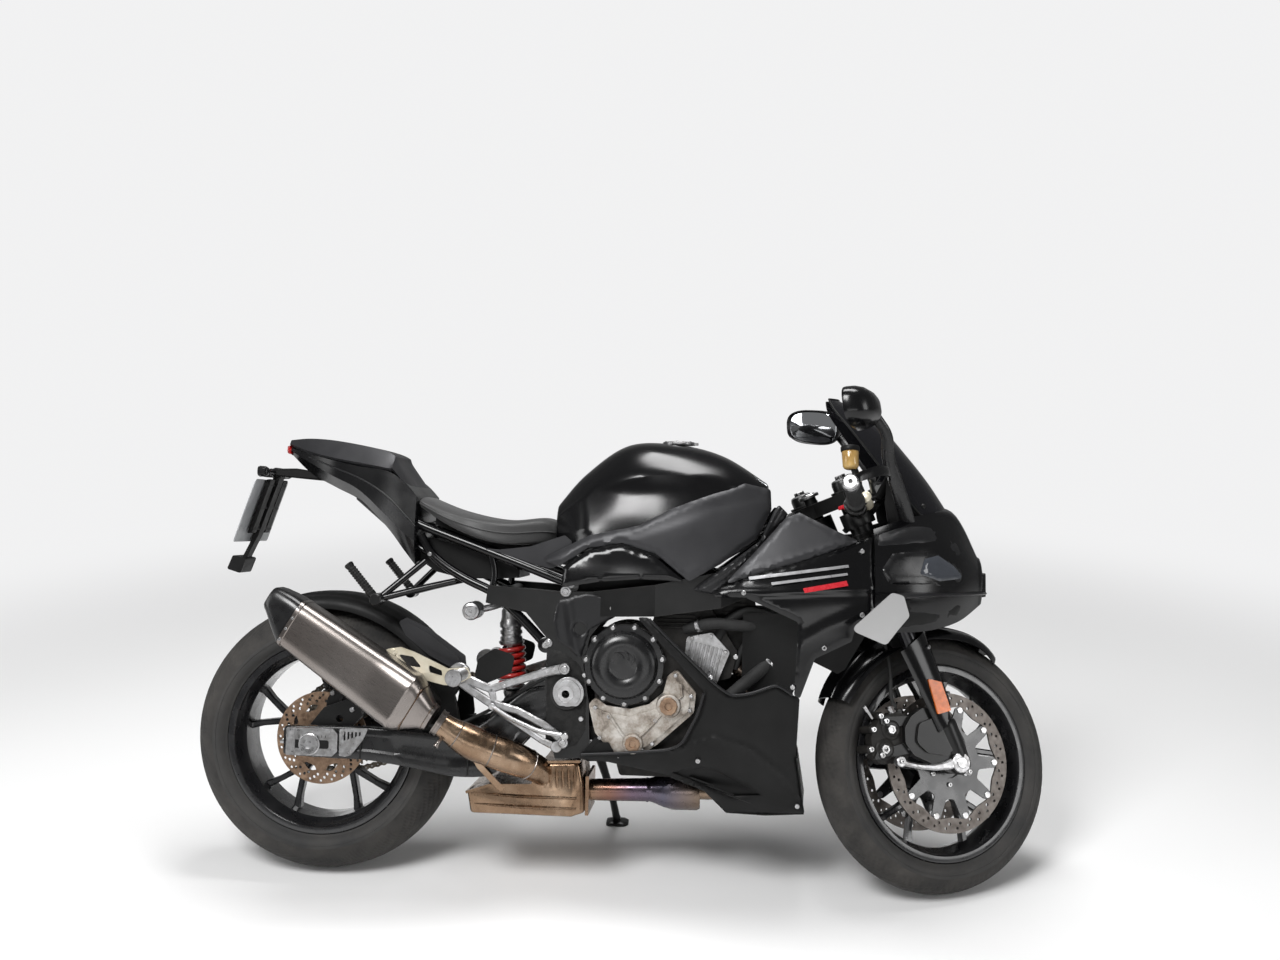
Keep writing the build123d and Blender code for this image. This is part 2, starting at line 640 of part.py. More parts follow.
def belt_face(first, first_radius, second, second_radius, y):
    """The outline of a loop pulled round two circles in the side view."""
    dx, dz = second[0] - first[0], second[1] - first[1]
    length = sqrt(dx**2 + dz**2)
    tilt = atan2(dz, dx)
    open_by = atan2(sqrt(length**2 - (first_radius - second_radius) ** 2), first_radius - second_radius)

    def on(centre, radius, turn):
        return Vector(centre[0] + radius * cos(turn), y, centre[1] + radius * sin(turn))

    a, b = on(first, first_radius, tilt + open_by), on(first, first_radius, tilt - open_by)
    c, d = on(second, second_radius, tilt - open_by), on(second, second_radius, tilt + open_by)
    edges = [
        Edge.make_three_point_arc(a, on(first, first_radius, tilt + pi), b),
        Edge.make_line(b, c),
        Edge.make_three_point_arc(c, on(second, second_radius, tilt), d),
        Edge.make_line(d, a),
    ]
    return Face(Wire(edges))


def belt(outward, y_from, y_to):
    """A band round both sprockets at a distance from the pitch line."""
    rear, front = pitch_radius(REAR_TEETH), pitch_radius(FRONT_TEETH)
    face = belt_face(REAR_AT, rear + outward, FRONT_SPROCKET, front + outward, y_from)
    return Solid.extrude(face, Vector(0, y_to - y_from, 0))


def chain_nodes():
    half = 9
    chain = belt(7, CHAIN_AT - half, CHAIN_AT + half) - belt(
        -ROLLER_RADIUS, CHAIN_AT - 20, CHAIN_AT + 20,
    )
    return {"chain": chain}


# ---------------------------------------------------------------- engine and exhaust
CLUTCH = (732, 528)
CASE_HALF = 150
COVER_AT = 156


def engine_nodes():
    case = side_plate(
        [
            (678, 318), (840, 300), (905, 330), (930, 420), (910, 520), (800, 600), (700, 600),
            (664, 540), (664, 430),
        ],
        -CASE_HALF, CASE_HALF, 10,
    )
    head_block = side_plate(
        [(770, 560), (860, 470), (975, 500), (990, 560), (900, 700), (800, 650)], -124, 124, 10,
    )
    ears = side_plate(
        [(628, 350), (700, 345), (700, 380), (628, 380)], -PLATE_IN + SEAT_GAP,
        PLATE_IN - SEAT_GAP,
    )
    ears_high = side_plate(
        [(625, 545), (720, 545), (720, 590), (625, 590)], -PLATE_IN + SEAT_GAP,
        PLATE_IN - SEAT_GAP,
    )
    sump = side_plate([(700, 330), (860, 320), (850, 262), (720, 262)], -90, 90, 8)
    boss = cross_rod(*CLUTCH, -COVER_AT + SEAT_GAP, 0, 92)
    engine = fused([case, head_block, ears, ears_high, sump, boss])
    engine = engine - cross_rod(*FRONT_SPROCKET, 70, 200, 62)
    engine = engine - side_plate([(600, 365), (700, 392), (700, 505), (600, 500)], 70, 200)
    engine = engine - cross_rod(*PIVOT, -200, 200, 33)
    tip = pitch_radius(FRONT_TEETH) - ROLLER_RADIUS - SEAT_GAP
    shaft = cross_rod(*FRONT_SPROCKET, 60, CHAIN_AT + 8, 14)
    sprocket = cross_rod(
        *FRONT_SPROCKET, CHAIN_AT - SPROCKET_THICK / 2, CHAIN_AT + SPROCKET_THICK / 2, tip,
    )
    engine = fused([engine, shaft, sprocket])

    clutch = cross_rod(*CLUTCH, -COVER_AT - 18, -COVER_AT, 90)
    dome = cross_rod(*CLUTCH, -COVER_AT - 44, -COVER_AT, 72)
    clutch = fused([clutch, dome])
    clutch = clutch.chamfer(9, None, [e for e in clutch.edges().group_by(Axis.Y)[0]])
    pump = side_plate(
        [
            (660, 400), (700, 425), (760, 434), (830, 470), (862, 430), (846, 380), (790, 318),
            (690, 322), (662, 340),
        ],
        -CASE_HALF - 24, -CASE_HALF - SEAT_GAP, 8,
    )
    caps = [
        cross_rod(840, 430, -CASE_HALF - 34, -CASE_HALF - 12, 19),
        cross_rod(752, 352, -CASE_HALF - 32, -CASE_HALF - 12, 15),
    ]
    pump = fused([pump] + caps)
    pump = pump - cross_rod(*CLUTCH, -240, 0, 96)
    alternator = fused(
        [
            cross_rod(812, 470, CASE_HALF + SEAT_GAP, CASE_HALF + 20, 88),
            cross_rod(812, 470, CASE_HALF + 4, CASE_HALF + 38, 66),
        ],
    )
    alternator = alternator.chamfer(8, None, [e for e in alternator.edges().group_by(Axis.Y)[-1]])
    return {
        "engine": engine,
        "clutch_cover": clutch,
        "engine_covers": [pump, alternator],
    }


def exhaust_nodes(engine, footrest):
    headers = []
    # port y, collector y
    for port, low in ((-96, -84), (-32, -58), (32, -34), (96, -10)):
        route = [
            (966, port, 540), (1022, port, 500), (1018, (port + low) / 2, 330), (965, low, 232),
            (880, low * 0.5 - 24, 226),
        ]
        headers.append(pipe(route, 19, 22))
    collector = rod((900, -47, 226), (838, -60, 226), 46)
    headers = fused(headers + [collector])
    link = rod((838, -60, 226), (650, -64, 216), 25)
    box = side_plate(
        [
            (368, 221), (379, 171), (614, 170), (644, 181), (640, 250), (631, 294), (540, 290), (511, 231),
        ],
        -136, 34, 8,
    )
    tail = pipe(
        [(540, -118, 262), (505, -160, 314), (440, -190, 358), (344, -214, 373.9), (300.2, -214, 400)],
        26, 34,
    )
    link_pipe = fused([headers, link, box, tail]) - engine
    link_pipe = max(link_pipe.solids(), key=lambda s: s.volume)

    axis_from, way = Vector(322, -214, 387), Vector(-0.858, 0, 0.513).normalized()
    up = Vector(0.513, 0, 0.858).normalized()

    def ring(s, low, high, half, corner):
        at = axis_from + way * s
        plane = Plane(origin=at, x_dir=(0, 1, 0), z_dir=way)
        # plane's own y runs along +up or -up
        sign = 1 if plane.y_dir.dot(up) > 0 else -1
        points = [
            (-half, low), (half, low), (half * 1.06, (low + high) / 2), (half, high),
            (-half, high), (-half * 1.06, (low + high) / 2),
        ]
        face = plane * make_face(Polyline(*[(a, b * sign) for a, b in points], close=True))
        return face.face().fillet_2d(corner, face.face().vertices()).outer_wire()

    cone = Solid.make_loft([ring(SEAT_GAP + 26, -30, 30, 28, 20), ring(96, -72, 67, 52, 26)], True)
    body = Solid.make_loft([ring(96, -72, 67, 52, 26), ring(413, -46, 69, 48, 24)], True)
    silencer = fused([cone, body])
    cap = Solid.make_loft([ring(413 + SEAT_GAP, -46, 69, 48, 24), ring(486, 8, 60, 36, 14)], True)
    outlet = rod(tuple(axis_from + way * 430 + up * 30), tuple(axis_from + way * 520 + up * 30), 20)
    cap = cap - outlet
    hanger = side_plate(
        [
            (176, 548), (214, 554), (330, 514), (372, 512), (382, 490), (344, 470), (318, 468),
            (250, 482),
        ],
        -178, -172,
    )
    hole = side_plate([(222, 530), (268, 512), (262, 502), (224, 520)], -190, -160)
    hanger = hanger - hole - silencer - footrest
    hanger = max(hanger.solids(), key=lambda s: s.volume)
    return {
        "exhaust_pipes": link_pipe, "silencer": silencer, "silencer_cap": cap,
        "silencer_hanger": hanger,
    }


# ---------------------------------------------------------------- bodywork
# x, then half width and height of each corner from the floor up
TANK_ROWS = (
    (558, (55, 806), (74, 820), (72, 862), (40, 893)),
    (620, (110, 770), (134, 830), (112, 905), (52, 962)),
    (720, (140, 756), (166, 850), (146, 950), (66, 1029)),
    (840, (146, 756), (180, 862), (158, 965), (72, 1034)),
    (950, (138, 776), (170, 868), (142, 945), (72, 1008)),
    (1052, (92, 838), (134, 880), (104, 920), (60, 950)),
)
# x, lower half width and height, upper half width and height
SEAT_ROWS = (
    (232, 100, 878, 92, 903),
    (300, 124, 838, 112, 876),
    (380, 140, 807, 122, 857),
    (450, 134, 795, 112, 851),
    (520, 100, 797, 82, 858),
    (553, 70, 803, 60, 850),
)
COWL_ROWS = (
    (-108, (16, 1019), (26, 1024), (16, 1036)),
    (-60, (44, 996), (54, 1008), (34, 1040)),
    (10, (68, 972), (82, 990), (48, 1037)),
    (104, (92, 921), (102, 945), (60, 1017)),
    (165, (104, 905), (108, 925), (70, 1000)),
    (196, (104, 902), (106, 912), (80, 948)),
)
TAIL_ROWS = (
    (-112, (12, 1000), (24, 1010), (22, 1016)),
    (-60, (24, 964), (50, 984), (46, 993)),
    (10, (42, 920), (78, 950), (70, 969)),
    (80, (68, 872), (98, 902), (88, 930)),
    (150, (92, 812), (118, 858), (108, 902)),
    (224, (112, 738), (130, 800), (118, 888)),
)
# x, then half widths at the heights in PANEL_HEIGHTS
PANEL_HEIGHTS = (170, 330, 480, 620, 720, 900)
PANEL_ROWS = (
    (560, 88, 178, 196, 200, 190, 150),
    (700, 100, 188, 208, 212, 198, 155),
    (850, 110, 194, 220, 226, 212, 165),
    (1000, 116, 200, 226, 238, 228, 180),
    (1120, 118, 196, 224, 240, 236, 190),
    (1250, 108, 172, 204, 228, 230, 185),
    (1400, 80, 120, 160, 190, 192, 140),
    (1560, 20, 30, 36, 42, 44, 30),
)
COVER_HEIGHTS = (690, 760, 850, 960)
COVER_ROWS = (
    (510, 150, 140, 104, 80),
    (600, 176, 166, 136, 100),
    (720, 186, 172, 164, 140),
    (840, 190, 182, 178, 156),
    (950, 186, 176, 168, 140),
    (1075, 150, 140, 126, 92),
)


def outlined(rows, heights, outline, wall, outward=0.0, corner=0.0):
    """A left-hand panel: the lofted skin kept inside a side-view outline."""
    return skin(rows, heights, wall, outward) & side_plate(outline, 10, 500, corner)


CAP_AT = (840, 1042)
CAP_HINGE = (884, 1048)
CAP_EAR = 12
CAP_PIN = 2


def tank_nodes(frame):
    tank = hull_x(TANK_ROWS, TANK_ROUND)
    matte = [
        (527, 762), (600, 800), (644, 822), (758, 847), (834, 888), (896, 912), (1000, 950), (1060, 938),
        (1062, 890), (1030, 822), (946, 762), (876, 722), (850, 742), (800, 782), (720, 806), (640, 792),
        (575, 748),
    ]
    gloss = [
        (582, 700), (670, 716), (762, 724), (868, 722), (846, 738), (796, 778), (720, 801), (643, 787),
        (585, 748),
    ]
    cover = outlined(COVER_ROWS, COVER_HEIGHTS, matte, PANEL_WALL)
    knee = outlined(COVER_ROWS, COVER_HEIGHTS, gloss, PANEL_WALL)
    for outline in (matte, gloss):
        cutter = outlined(COVER_ROWS, COVER_HEIGHTS, outline, PANEL_WALL + SEAT_GAP, 200)
        tank = tank - cutter - right_of(cutter)
    tank = max(tank.solids(), key=lambda s: s.volume)
    neck = rod((CAP_AT[0], 0, 1000), (CAP_AT[0], 0, CAP_AT[1]), 46)
    lug = rod((1040, 108, 760), (1040, 108, 884), 11) - frame
    lug = max(lug.solids(), key=lambda s: s.center().Z)
    tank = fused([tank, neck, lug, right_of(lug)])
    pin = cross_rod(720, 784, 100, 172, 8) - tank
    knee = fused([knee, max(pin.solids(), key=lambda s: s.volume)])
    tank = tank - rod((CAP_AT[0], 0, 1015), (CAP_AT[0], 0, 1100), 22)
    lid = rod((CAP_AT[0], 0, CAP_AT[1] + SEAT_GAP), (CAP_AT[0], 0, CAP_AT[1] + 9), 40)
    knuckle = cross_rod(*CAP_HINGE, -CAP_EAR, CAP_EAR, 4.5)
    tongue = side_plate([(868, 1043.6), (884, 1043.6), (884, 1051), (868, 1051)], -CAP_EAR, CAP_EAR)
    lid = fused([lid, knuckle, tongue]) - cross_rod(*CAP_HINGE, -60, 60, CAP_PIN + PIN_FIT)
    ear = side_plate(
        [(880.6, 1036), (888.5, 1036), (888.5, 1053), (880.6, 1053)],
        CAP_EAR + SEAT_GAP, CAP_EAR + SEAT_GAP + 4,
    )
    pin = cross_rod(*CAP_HINGE, -CAP_EAR - 3, CAP_EAR + 3, CAP_PIN)
    tank = fused([tank, ear, right_of(ear), pin])
    return {"tank": tank, "tank_side_covers": both(cover), "knee_panels": both(knee), "fuel_cap": lid}


HOUSING_HALF = 78


def seat_nodes():
    rows = [(x, (a, low), (a + 4, low + 10), (b, high)) for x, a, low, b, high in SEAT_ROWS]
    seat = hull_x(rows, SEAT_ROUND / 2)
    # x, floor z
    tray_rows = [
        (x, (66, low), (66, 862))
        for x, low in ((262, 838), (400, 789), (470, 766), (545, 742))
    ]
    tray = hull_x(tray_rows) - Pos(0, 0, -SEAT_GAP) * seat
    tray = min(tray.solids(), key=lambda s: s.center().Z)
    housing = side_plate(
        [
            (212, 800), (262, 806), (330, 786), (400, 762), (440, 748), (440, 774), (462, 768), (462, 737),
            (470, 734), (470, 716), (400, 712), (330, 712), (270, 726), (230, 752), (208, 780),
        ],
        -HOUSING_HALF, HOUSING_HALF,
    )
    tray = fused([tray, housing])
    cowl = hull_x(COWL_ROWS, 4)
    last = len(TAIL_ROWS) - 1
    hollow_rows = []
    for k, (x, *half) in enumerate(TAIL_ROWS):
        hollow_rows.append((x + (PANEL_WALL if k == 0 else 0) + (5 if k == last else 0), *half))
    tail = hull_x(TAIL_ROWS) - hull_x(hollow_rows, 0.0, PANEL_WALL) - cowl
    tail = max(tail.solids(), key=lambda s: s.volume)
    lamp = side_plate([(-124, 1010), (-112.3, 1001), (-112.3, 1015), (-121, 1026)], -22, 22)
    arm = side_plate(
        [(-62, 962), (-20, 938), (-100, 944), (-170, 950), (-174, 964), (-100, 968)], -20, 20,
    )
    arm = arm - hull_x(TAIL_ROWS)
    arm = max(arm.solids(), key=lambda s: s.volume)
    backing = side_plate(
        [(-150, 962), (-158, 962), (-214, 798), (-250, 716), (-242, 712), (-206, 796)], -16, 16
    )
    wide = side_plate([(-158, 940), (-164, 940), (-208, 812), (-202, 810)], -70, 70)
    foot = side_plate([(-214, 745), (-250, 752), (-262, 716), (-226, 708)], -34, 34)
    holder = fused([arm, backing, wide, foot])
    plate_line = [(-165.5, 938), (-167.5, 938), (-219, 786), (-217, 786)]
    plate = side_plate(plate_line, -110, 110) - holder
    plate = max(plate.solids(), key=lambda s: s.volume)
    stalk = rod((-162, 20 + SEAT_GAP, 957), (-162, 66, 957), 6)
    bulb = rod((-162, 62, 957), (-162, 100, 957), 11)
    return {
        "rider_seat": seat,
        "seat_tray": tray,
        "passenger_cowl": cowl,
        "tail_fairing": tail,
        "tail_light": lamp,
        "plate_holder": holder,
        "number_plate": plate,
        "rear_indicators": both(fused([stalk, bulb])),
    }


NOSE_ROWS = (
    (1290, (205, 622), (226, 700), (208, 800), (170, 850)),
    (1400, (168, 622), (188, 700), (172, 810), (120, 884)),
    (1490, (100, 640), (120, 712), (104, 800), (50, 884)),
    (1552, (36, 676), (44, 716), (40, 752), (24, 778)),
)


def fairing_nodes():
    upper = [
        (949, 711), (1035, 748), (1124, 776), (1234, 815), (1288, 835), (1290, 640), (1251, 640),
        (1240, 600), (1160, 560), (1129, 470.3), (1116, 476.3), (1122, 640), (1059, 668), (1007, 690),
        (930, 690),
    ]
    side = outlined(PANEL_ROWS, PANEL_HEIGHTS, upper, PANEL_WALL)
    lower = [
        (761, 640), (786, 640), (938, 497), (976, 470), (1019, 477), (1077, 500), (1116, 476), (1129, 470),
        (1124, 334), (1150, 195), (970, 190), (920, 243), (838, 280), (700, 306), (635, 309), (634, 322),
        (735, 330), (838, 342), (870, 356), (905, 430), (916, 478),
    ]
    belly = outlined(PANEL_ROWS, PANEL_HEIGHTS, lower, PANEL_WALL)
    outer = hull_x(NOSE_ROWS)
    inner_rows = [
        (x - 4 if k == 0 else (x - 6 if k == len(NOSE_ROWS) - 1 else x), *half)
        for k, (x, *half) in enumerate(NOSE_ROWS)
    ]
    inner_rows = [
        (
            x, *[(y - PANEL_WALL, z - 12 if i < 1 else (z - PANEL_WALL if i == 3 else z))
            for i, (y, z) in enumerate(half)]
        )
        for x, *half in inner_rows
    ]
    inner = hull_x(inner_rows)
    nose = outer - inner - plan_plate([(1200, -180), (1398, -116), (1398, 116), (1200, 180)], 824, 900)
    nose = max(nose.solids(), key=lambda s: s.volume)
    lamp_outline = [(30, 760), (92, 742), (108, 770), (84, 800), (44, 800)]
    lens_outline = [(31, 761), (91, 743), (107, 770), (83.5, 799), (44.5, 799)]
    intake = [(-22, 700), (22, 700), (18, 748), (-18, 748)]

    def front_prism(points):
        face = Face(Wire.make_polygon([Vector(1440, y, z) for y, z in points]))
        return Solid.extrude(face, Vector(200, 0, 0))

    lens = nose & front_prism(lens_outline)
    for hole in (front_prism(lamp_outline), right_of(front_prism(lamp_outline)), front_prism(intake)):
        nose = nose - hole
    lens = max(lens.solids(), key=lambda s: s.volume)
    blade = plan_plate(
        [(1572, 30), (1560, 60), (1352, 288), (1318, 288), (1336, 190), (1450, 60), (1500, 30)],
        706, 711,
    )
    blade = blade - outer
    blade = max(blade.solids(), key=lambda s: s.volume)
    tip = side_plate(
        [(1319, 714), (1344, 706), (1357, 664), (1332, 633), (1308, 600), (1231, 631)], 288, 293,
    )
    winglet = fused([blade, tip])
    side = side - outer
    side = max(side.solids(), key=lambda s: s.volume)
    return {
        "fairing_sides": both(side),
        "belly_pan": both(belly),
        "nose_fairing": nose,
        "headlight_lenses": both(lens),
        "winglets": both(winglet),
    }


# z, front x, edge x, edge y
SCREEN_ROWS = (
    (884.3, 1486, 1404, 112),
    (960, 1436, 1336, 122),
    (1030, 1380, 1282, 114),
    (1085, 1330, 1240, 98),
    (1130, 1266, 1206, 72),
    (1156, 1222, 1196, 40),
)


def front_stay(nose, display):
    """The stay ahead of the steering head that carries the nose, the display and the screen."""
    beam_plate = side_plate(
        [
            (1215, 812), (1240, 776), (1262, 778), (1340, 812), (1410, 838), (1410, 862),
            (1340, 846), (1240, 836),
        ],
        -13, 13,
    )
    beam_plate = beam_plate - rod(head(600), head(1100), HEAD_RADIUS + SEAT_GAP)
    beam_plate = max(beam_plate.solids(), key=lambda s: s.volume)
    cross = cross_rod(1396, 850, -220, 220, 9)
    posts = [rod((1392, y, 850), (1330, y, 960), 7) for y in (-48, 48)]
    stay = fused([beam_plate, cross] + posts) - nose - display
    return max(stay.solids(), key=lambda s: s.volume)


def screen_nodes(nose, nose_outer):
    wires = []
    for z, front, edge, half in SCREEN_ROWS:
        wall = SCREEN_WALL * 1.4
        outer = Edge.make_three_point_arc(
            Vector(edge, -half, z), Vector(front, 0, z), Vector(edge, half, z),
        )
        inner = Edge.make_three_point_arc(
            Vector(edge - wall, half - wall, z),
            Vector(front - wall, 0, z),
            Vector(edge - wall, wall - half, z),
        )
        join_a = Edge.make_line(outer @ 1, inner @ 0)
        join_b = Edge.make_line(inner @ 1, outer @ 0)
        wires.append(Wire([outer, join_a, inner, join_b]))
    screen = Solid.make_loft(wires, True)
    display = side_plate([(1298, 925), (1314, 915), (1350, 985), (1334, 993)], -80, 80, 4)
    mirror = Pos(1254, 300, 1116) * Rot(0, -10, 20) * Box(60, 150, 92)
    mirror = mirror.solid().fillet(18, mirror.solid().edges())
    stem = pipe([(1372, 120, 842), (1346, 176, 930), (1310, 210, 1010), (1276, 246, 1090)], 10, 30)
    mirror = fused([stem, mirror]) - nose_outer
    mirror = max(mirror.solids(), key=lambda s: s.volume)
    stay = front_stay(nose, display)
    return {"windscreen": screen, "display": display, "mirrors": both(mirror), "front_stay": stay}


def radiator_nodes(frame):
    half = CASE_HALF
    core = side_plate([(1048, 400), (1082, 392), (1132, 630), (1098, 638)], -half, half)
    shroud = side_plate(
        [
            (1000, 652), (1150, 652), (1150, 560), (1128, 500), (1085, 400), (1050, 392), (1040, 470),
            (1000, 478),
        ],
        half - PANEL_WALL, half,
    )
    strut = rod((1100, 98, 620), (1088, 98, 780), 8) - frame
    strut = min(strut.solids(), key=lambda s: s.center().Z)
    core = fused([core, strut, right_of(strut), shroud, right_of(shroud)])
    return {"radiator": core}


def footrest_nodes():
    outer = PLATE_IN + PLATE_THICK + SEAT_GAP
    arm = side_plate(
        [
            (336, 512), (350, 474), (420, 442), (500, 386), (572, 330), (604, 344), (566, 384), (486, 446),
            (552, 474), (604, 500), (590, 524), (520, 494), (424, 484), (372, 520),
        ],
        outer, outer + 12, 4,
    )
    arm = arm - cross_rod(*PIVOT, 100, 300, 38)
    peg = rod((372, outer + 6, 500), (366, 262, 500), 11)
    boss = cross_rod(372, 500, outer + 2, outer + 22, 17)
    rest = fused([arm, peg, boss])
    return {"footrests": both(rest)}


# ---------------------------------------------------------------- parking
def lowest(centre, axis, radius, crown):
    """The lowest point of a round-crowned tyre about a given axle."""
    return centre.Z - (radius - crown) * sqrt(1 - axis.Z**2) - crown


LEANED = Rot(-LEAN, 0, 0)
STEER_AXIS = Axis(STEER_ROOT, HEAD_UP)


def turned(shape, degrees_left=STEER_LOCK):
    return shape.rotate(STEER_AXIS, degrees_left)


SETTLE_ROUNDS = 6


def settled():
    """Leaned to the left, then pitched and dropped until both tyres touch the floor."""
    axle = Vector(0, 1, 0)
    steered_axle = axle.rotate(Axis((0, 0, 0), HEAD_UP), STEER_LOCK)
    front = turned(Vertex(WHEELBASE, 0, FRONT_RADIUS)).center()
    pitch = 0.0
    for _ in range(SETTLE_ROUNDS):
        spot = Rot(0, pitch, 0) * LEANED
        ends = []
        for centre, way, radius, crown in (
            (Vector(0, 0, REAR_RADIUS), axle, REAR_RADIUS, REAR_CROWN),
            (front, steered_axle, FRONT_RADIUS, FRONT_CROWN),
        ):
            at = (spot * Pos(*centre)).position
            tip = (spot * Pos(*(centre + way))).position
            ends.append(lowest(at, tip - at, radius, crown))
        pitch += degrees(atan2(ends[1] - ends[0], WHEELBASE))
    return Pos(0, 0, -min(ends)) * Rot(0, pitch, 0) * LEANED


SETTLED = settled()
STAND_PIVOT = (640, 148, 286)
STAND_FOOT = (686, 284)
STAND_FOLDED = (-240, 20, 36)


def stand_nodes():
    down = SETTLED.inverse()
    foot = (down * Pos(STAND_FOOT[0], STAND_FOOT[1], 12)).position
    pivot = Vector(*STAND_PIVOT)
    open_way = foot - pivot
    axis = open_way.cross(Vector(*STAND_FOLDED)).normalized()
    knuckle = rod(tuple(pivot - axis * 10.5), tuple(pivot + axis * 10.5), 17)
    leg = rod(tuple(pivot), tuple(foot), 10)
    pad = down * (Pos(STAND_FOOT[0], STAND_FOOT[1], 3) * Box(56, 44, 6))
    heel = down * (Pos(STAND_FOOT[0], STAND_FOOT[1], 10) * Cylinder(14, 14))
    stand = fused([leg, knuckle, heel.solid(), pad.solid()])
    below = down * (Pos(STAND_FOOT[0], STAND_FOOT[1], -50) * Box(200, 200, 100))
    stand = stand - below.solid() - rod(tuple(pivot - axis * 40), tuple(pivot + axis * 40), 6 + PIN_FIT)
    cheeks = [
        rod(tuple(pivot + axis * a), tuple(pivot + axis * b), 17)
        for a, b in ((-32, -12), (12, 18))
    ]
    pin = rod(tuple(pivot - axis * 22), tuple(pivot + axis * 22), 6)
    bracket = fused([pin] + cheeks)
    arm = rod(tuple(pivot + axis * -23), (606, 100, 330), 8)
    bracket = fused([bracket, arm])
    return {"side_stand": stand}, bracket


frame_parts = frame_nodes()
rear_wheel = rear_wheel_nodes()
front_wheel = front_wheel_nodes()
steering = steering_nodes()
stand, stand_bracket = stand_nodes()
frame_parts["frame"] = frame_parts["frame"] + stand_bracket
engine = engine_nodes()
footrests = footrest_nodes()
fairings = fairing_nodes()

STEERED = {**steering, **front_wheel}
FIXED = {
    **frame_parts,
    **rear_wheel,
    **rear_end_nodes(),
    **chain_nodes(),
    **engine,
    **exhaust_nodes(engine["engine"], footrests["footrests"][1]),
    **tank_nodes(frame_parts["frame"]),
    **seat_nodes(),
    **fairings,
    **screen_nodes(fairings["nose_fairing"], hull_x(NOSE_ROWS)),
    **radiator_nodes(frame_parts["frame"]),
    **footrests,
    **stand,
}

os.makedirs("parts", exist_ok=True)


def parked(piece, steered):
    solids = []
    for item in piece if isinstance(piece, list) else [piece]:
        solids += item.solids()
    if steered:
        solids = [turned(solid) for solid in solids]
    return [SETTLED * solid for solid in solids]


PARKED = {name: parked(piece, False) for name, piece in FIXED.items()}
PARKED.update({name: parked(piece, True) for name, piece in STEERED.items()})
boxes = [solid.bounding_box() for solids in PARKED.values() for solid in solids]
middle_x = (min(b.min.X for b in boxes) + max(b.max.X for b in boxes)) / 2
middle_y = (min(b.min.Y for b in boxes) + max(b.max.Y for b in boxes)) / 2
floor_z = min(b.min.Z for b in boxes)
for name, solids in PARKED.items():
    moved = [Pos(-middle_x, -middle_y, -floor_z) * solid for solid in solids]
    shape = Compound(children=moved) if len(moved) > 1 else moved[0]
    export_step(shape, "parts/" + name + ".step")
    print(name, len(moved))
print("origin shift", middle_x, middle_y, floor_z)
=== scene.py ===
import json
import math

import bmesh
import bpy
from mathutils import Matrix, Vector, geometry


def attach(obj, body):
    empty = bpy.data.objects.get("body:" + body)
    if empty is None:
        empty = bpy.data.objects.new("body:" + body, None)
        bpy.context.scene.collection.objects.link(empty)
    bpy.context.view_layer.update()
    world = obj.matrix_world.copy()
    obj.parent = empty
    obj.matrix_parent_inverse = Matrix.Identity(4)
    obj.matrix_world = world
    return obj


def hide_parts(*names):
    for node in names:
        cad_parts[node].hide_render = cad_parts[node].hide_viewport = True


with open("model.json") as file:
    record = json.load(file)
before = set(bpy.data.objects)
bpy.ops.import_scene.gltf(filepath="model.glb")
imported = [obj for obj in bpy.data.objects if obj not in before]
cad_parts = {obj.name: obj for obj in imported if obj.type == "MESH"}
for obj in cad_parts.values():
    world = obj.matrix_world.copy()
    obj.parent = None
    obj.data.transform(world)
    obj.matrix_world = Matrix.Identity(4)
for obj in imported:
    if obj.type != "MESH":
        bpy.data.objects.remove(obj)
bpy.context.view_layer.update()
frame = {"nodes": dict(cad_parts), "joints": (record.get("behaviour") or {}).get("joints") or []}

# ---------------------------------------------------------------- the machine's own frames
# Everything is drawn upright, in millimetres: X forward from the rear axle, Y to the left, Z up.
REAR_RADIUS, FRONT_RADIUS = 321, 300
WHEELBASE, TRAIL, RAKE = 1457, 99.8, 23.6
JOINT = {joint["name"]: joint for joint in frame["joints"]}


def upright_frame():
    """The matrix from the upright drawing, in millimetres, to the parked machine, in metres."""
    left = Vector(JOINT["rear_wheel_spin"]["axis"]).normalized()
    ahead = Vector((-left.z, 0, left.x)).normalized()
    ahead = ahead if ahead.x > 0 else -ahead
    up = ahead.cross(left)
    origin = Vector(JOINT["rear_wheel_spin"]["pos_m"]) - up * REAR_RADIUS / 1000
    turn = Matrix((ahead, left, up)).transposed().to_4x4()
    return Matrix.Translation(origin) @ turn @ Matrix.Scale(0.001, 4)


def steered_frame():
    """The same for what turns with the fork, drawn straight ahead and parked on its left stop."""
    turn = JOINT["steering_turn"]
    at, axis = Vector(turn["pos_m"]), Vector(turn["axis"])
    lock = -math.radians(turn["range_deg"][0]) / 2
    return Matrix.Translation(at) @ Matrix.Rotation(lock, 4, axis) @ Matrix.Translation(-at) @ UPRIGHT


UPRIGHT = upright_frame()
STEERED = steered_frame()
HEAD_UP = Vector((-math.sin(math.radians(RAKE)), 0, math.cos(math.radians(RAKE))))
HEAD_OUT = Vector((math.cos(math.radians(RAKE)), 0, math.sin(math.radians(RAKE))))
STEER_ROOT = Vector((WHEELBASE + TRAIL, 0, 0))
REAR_AXLE = Vector((0, 0, REAR_RADIUS))
FRONT_AXLE = Vector((WHEELBASE, 0, FRONT_RADIUS))
LEG_SPACING, LEG_OUT = 105, 38.65
ROTOR_AT = 70  # the front rotors' distance from the middle plane, as for the pads beside them
CLUTCH, GENERATOR, SWING_AXLE = (732, 528), (812, 470), (599, 457)
STEERING_BODIES = ("steering", "front_wheel")
LEFT, RIGHT, UP = (0, 1, 0), (0, -1, 0), (0, 0, 1)


def head(height, out=0.0, side=0.0):
    """A point of the fork: along the steering axis, ahead of it and to the left."""
    return STEER_ROOT + HEAD_UP * height + HEAD_OUT * out + Vector((0, side, 0))


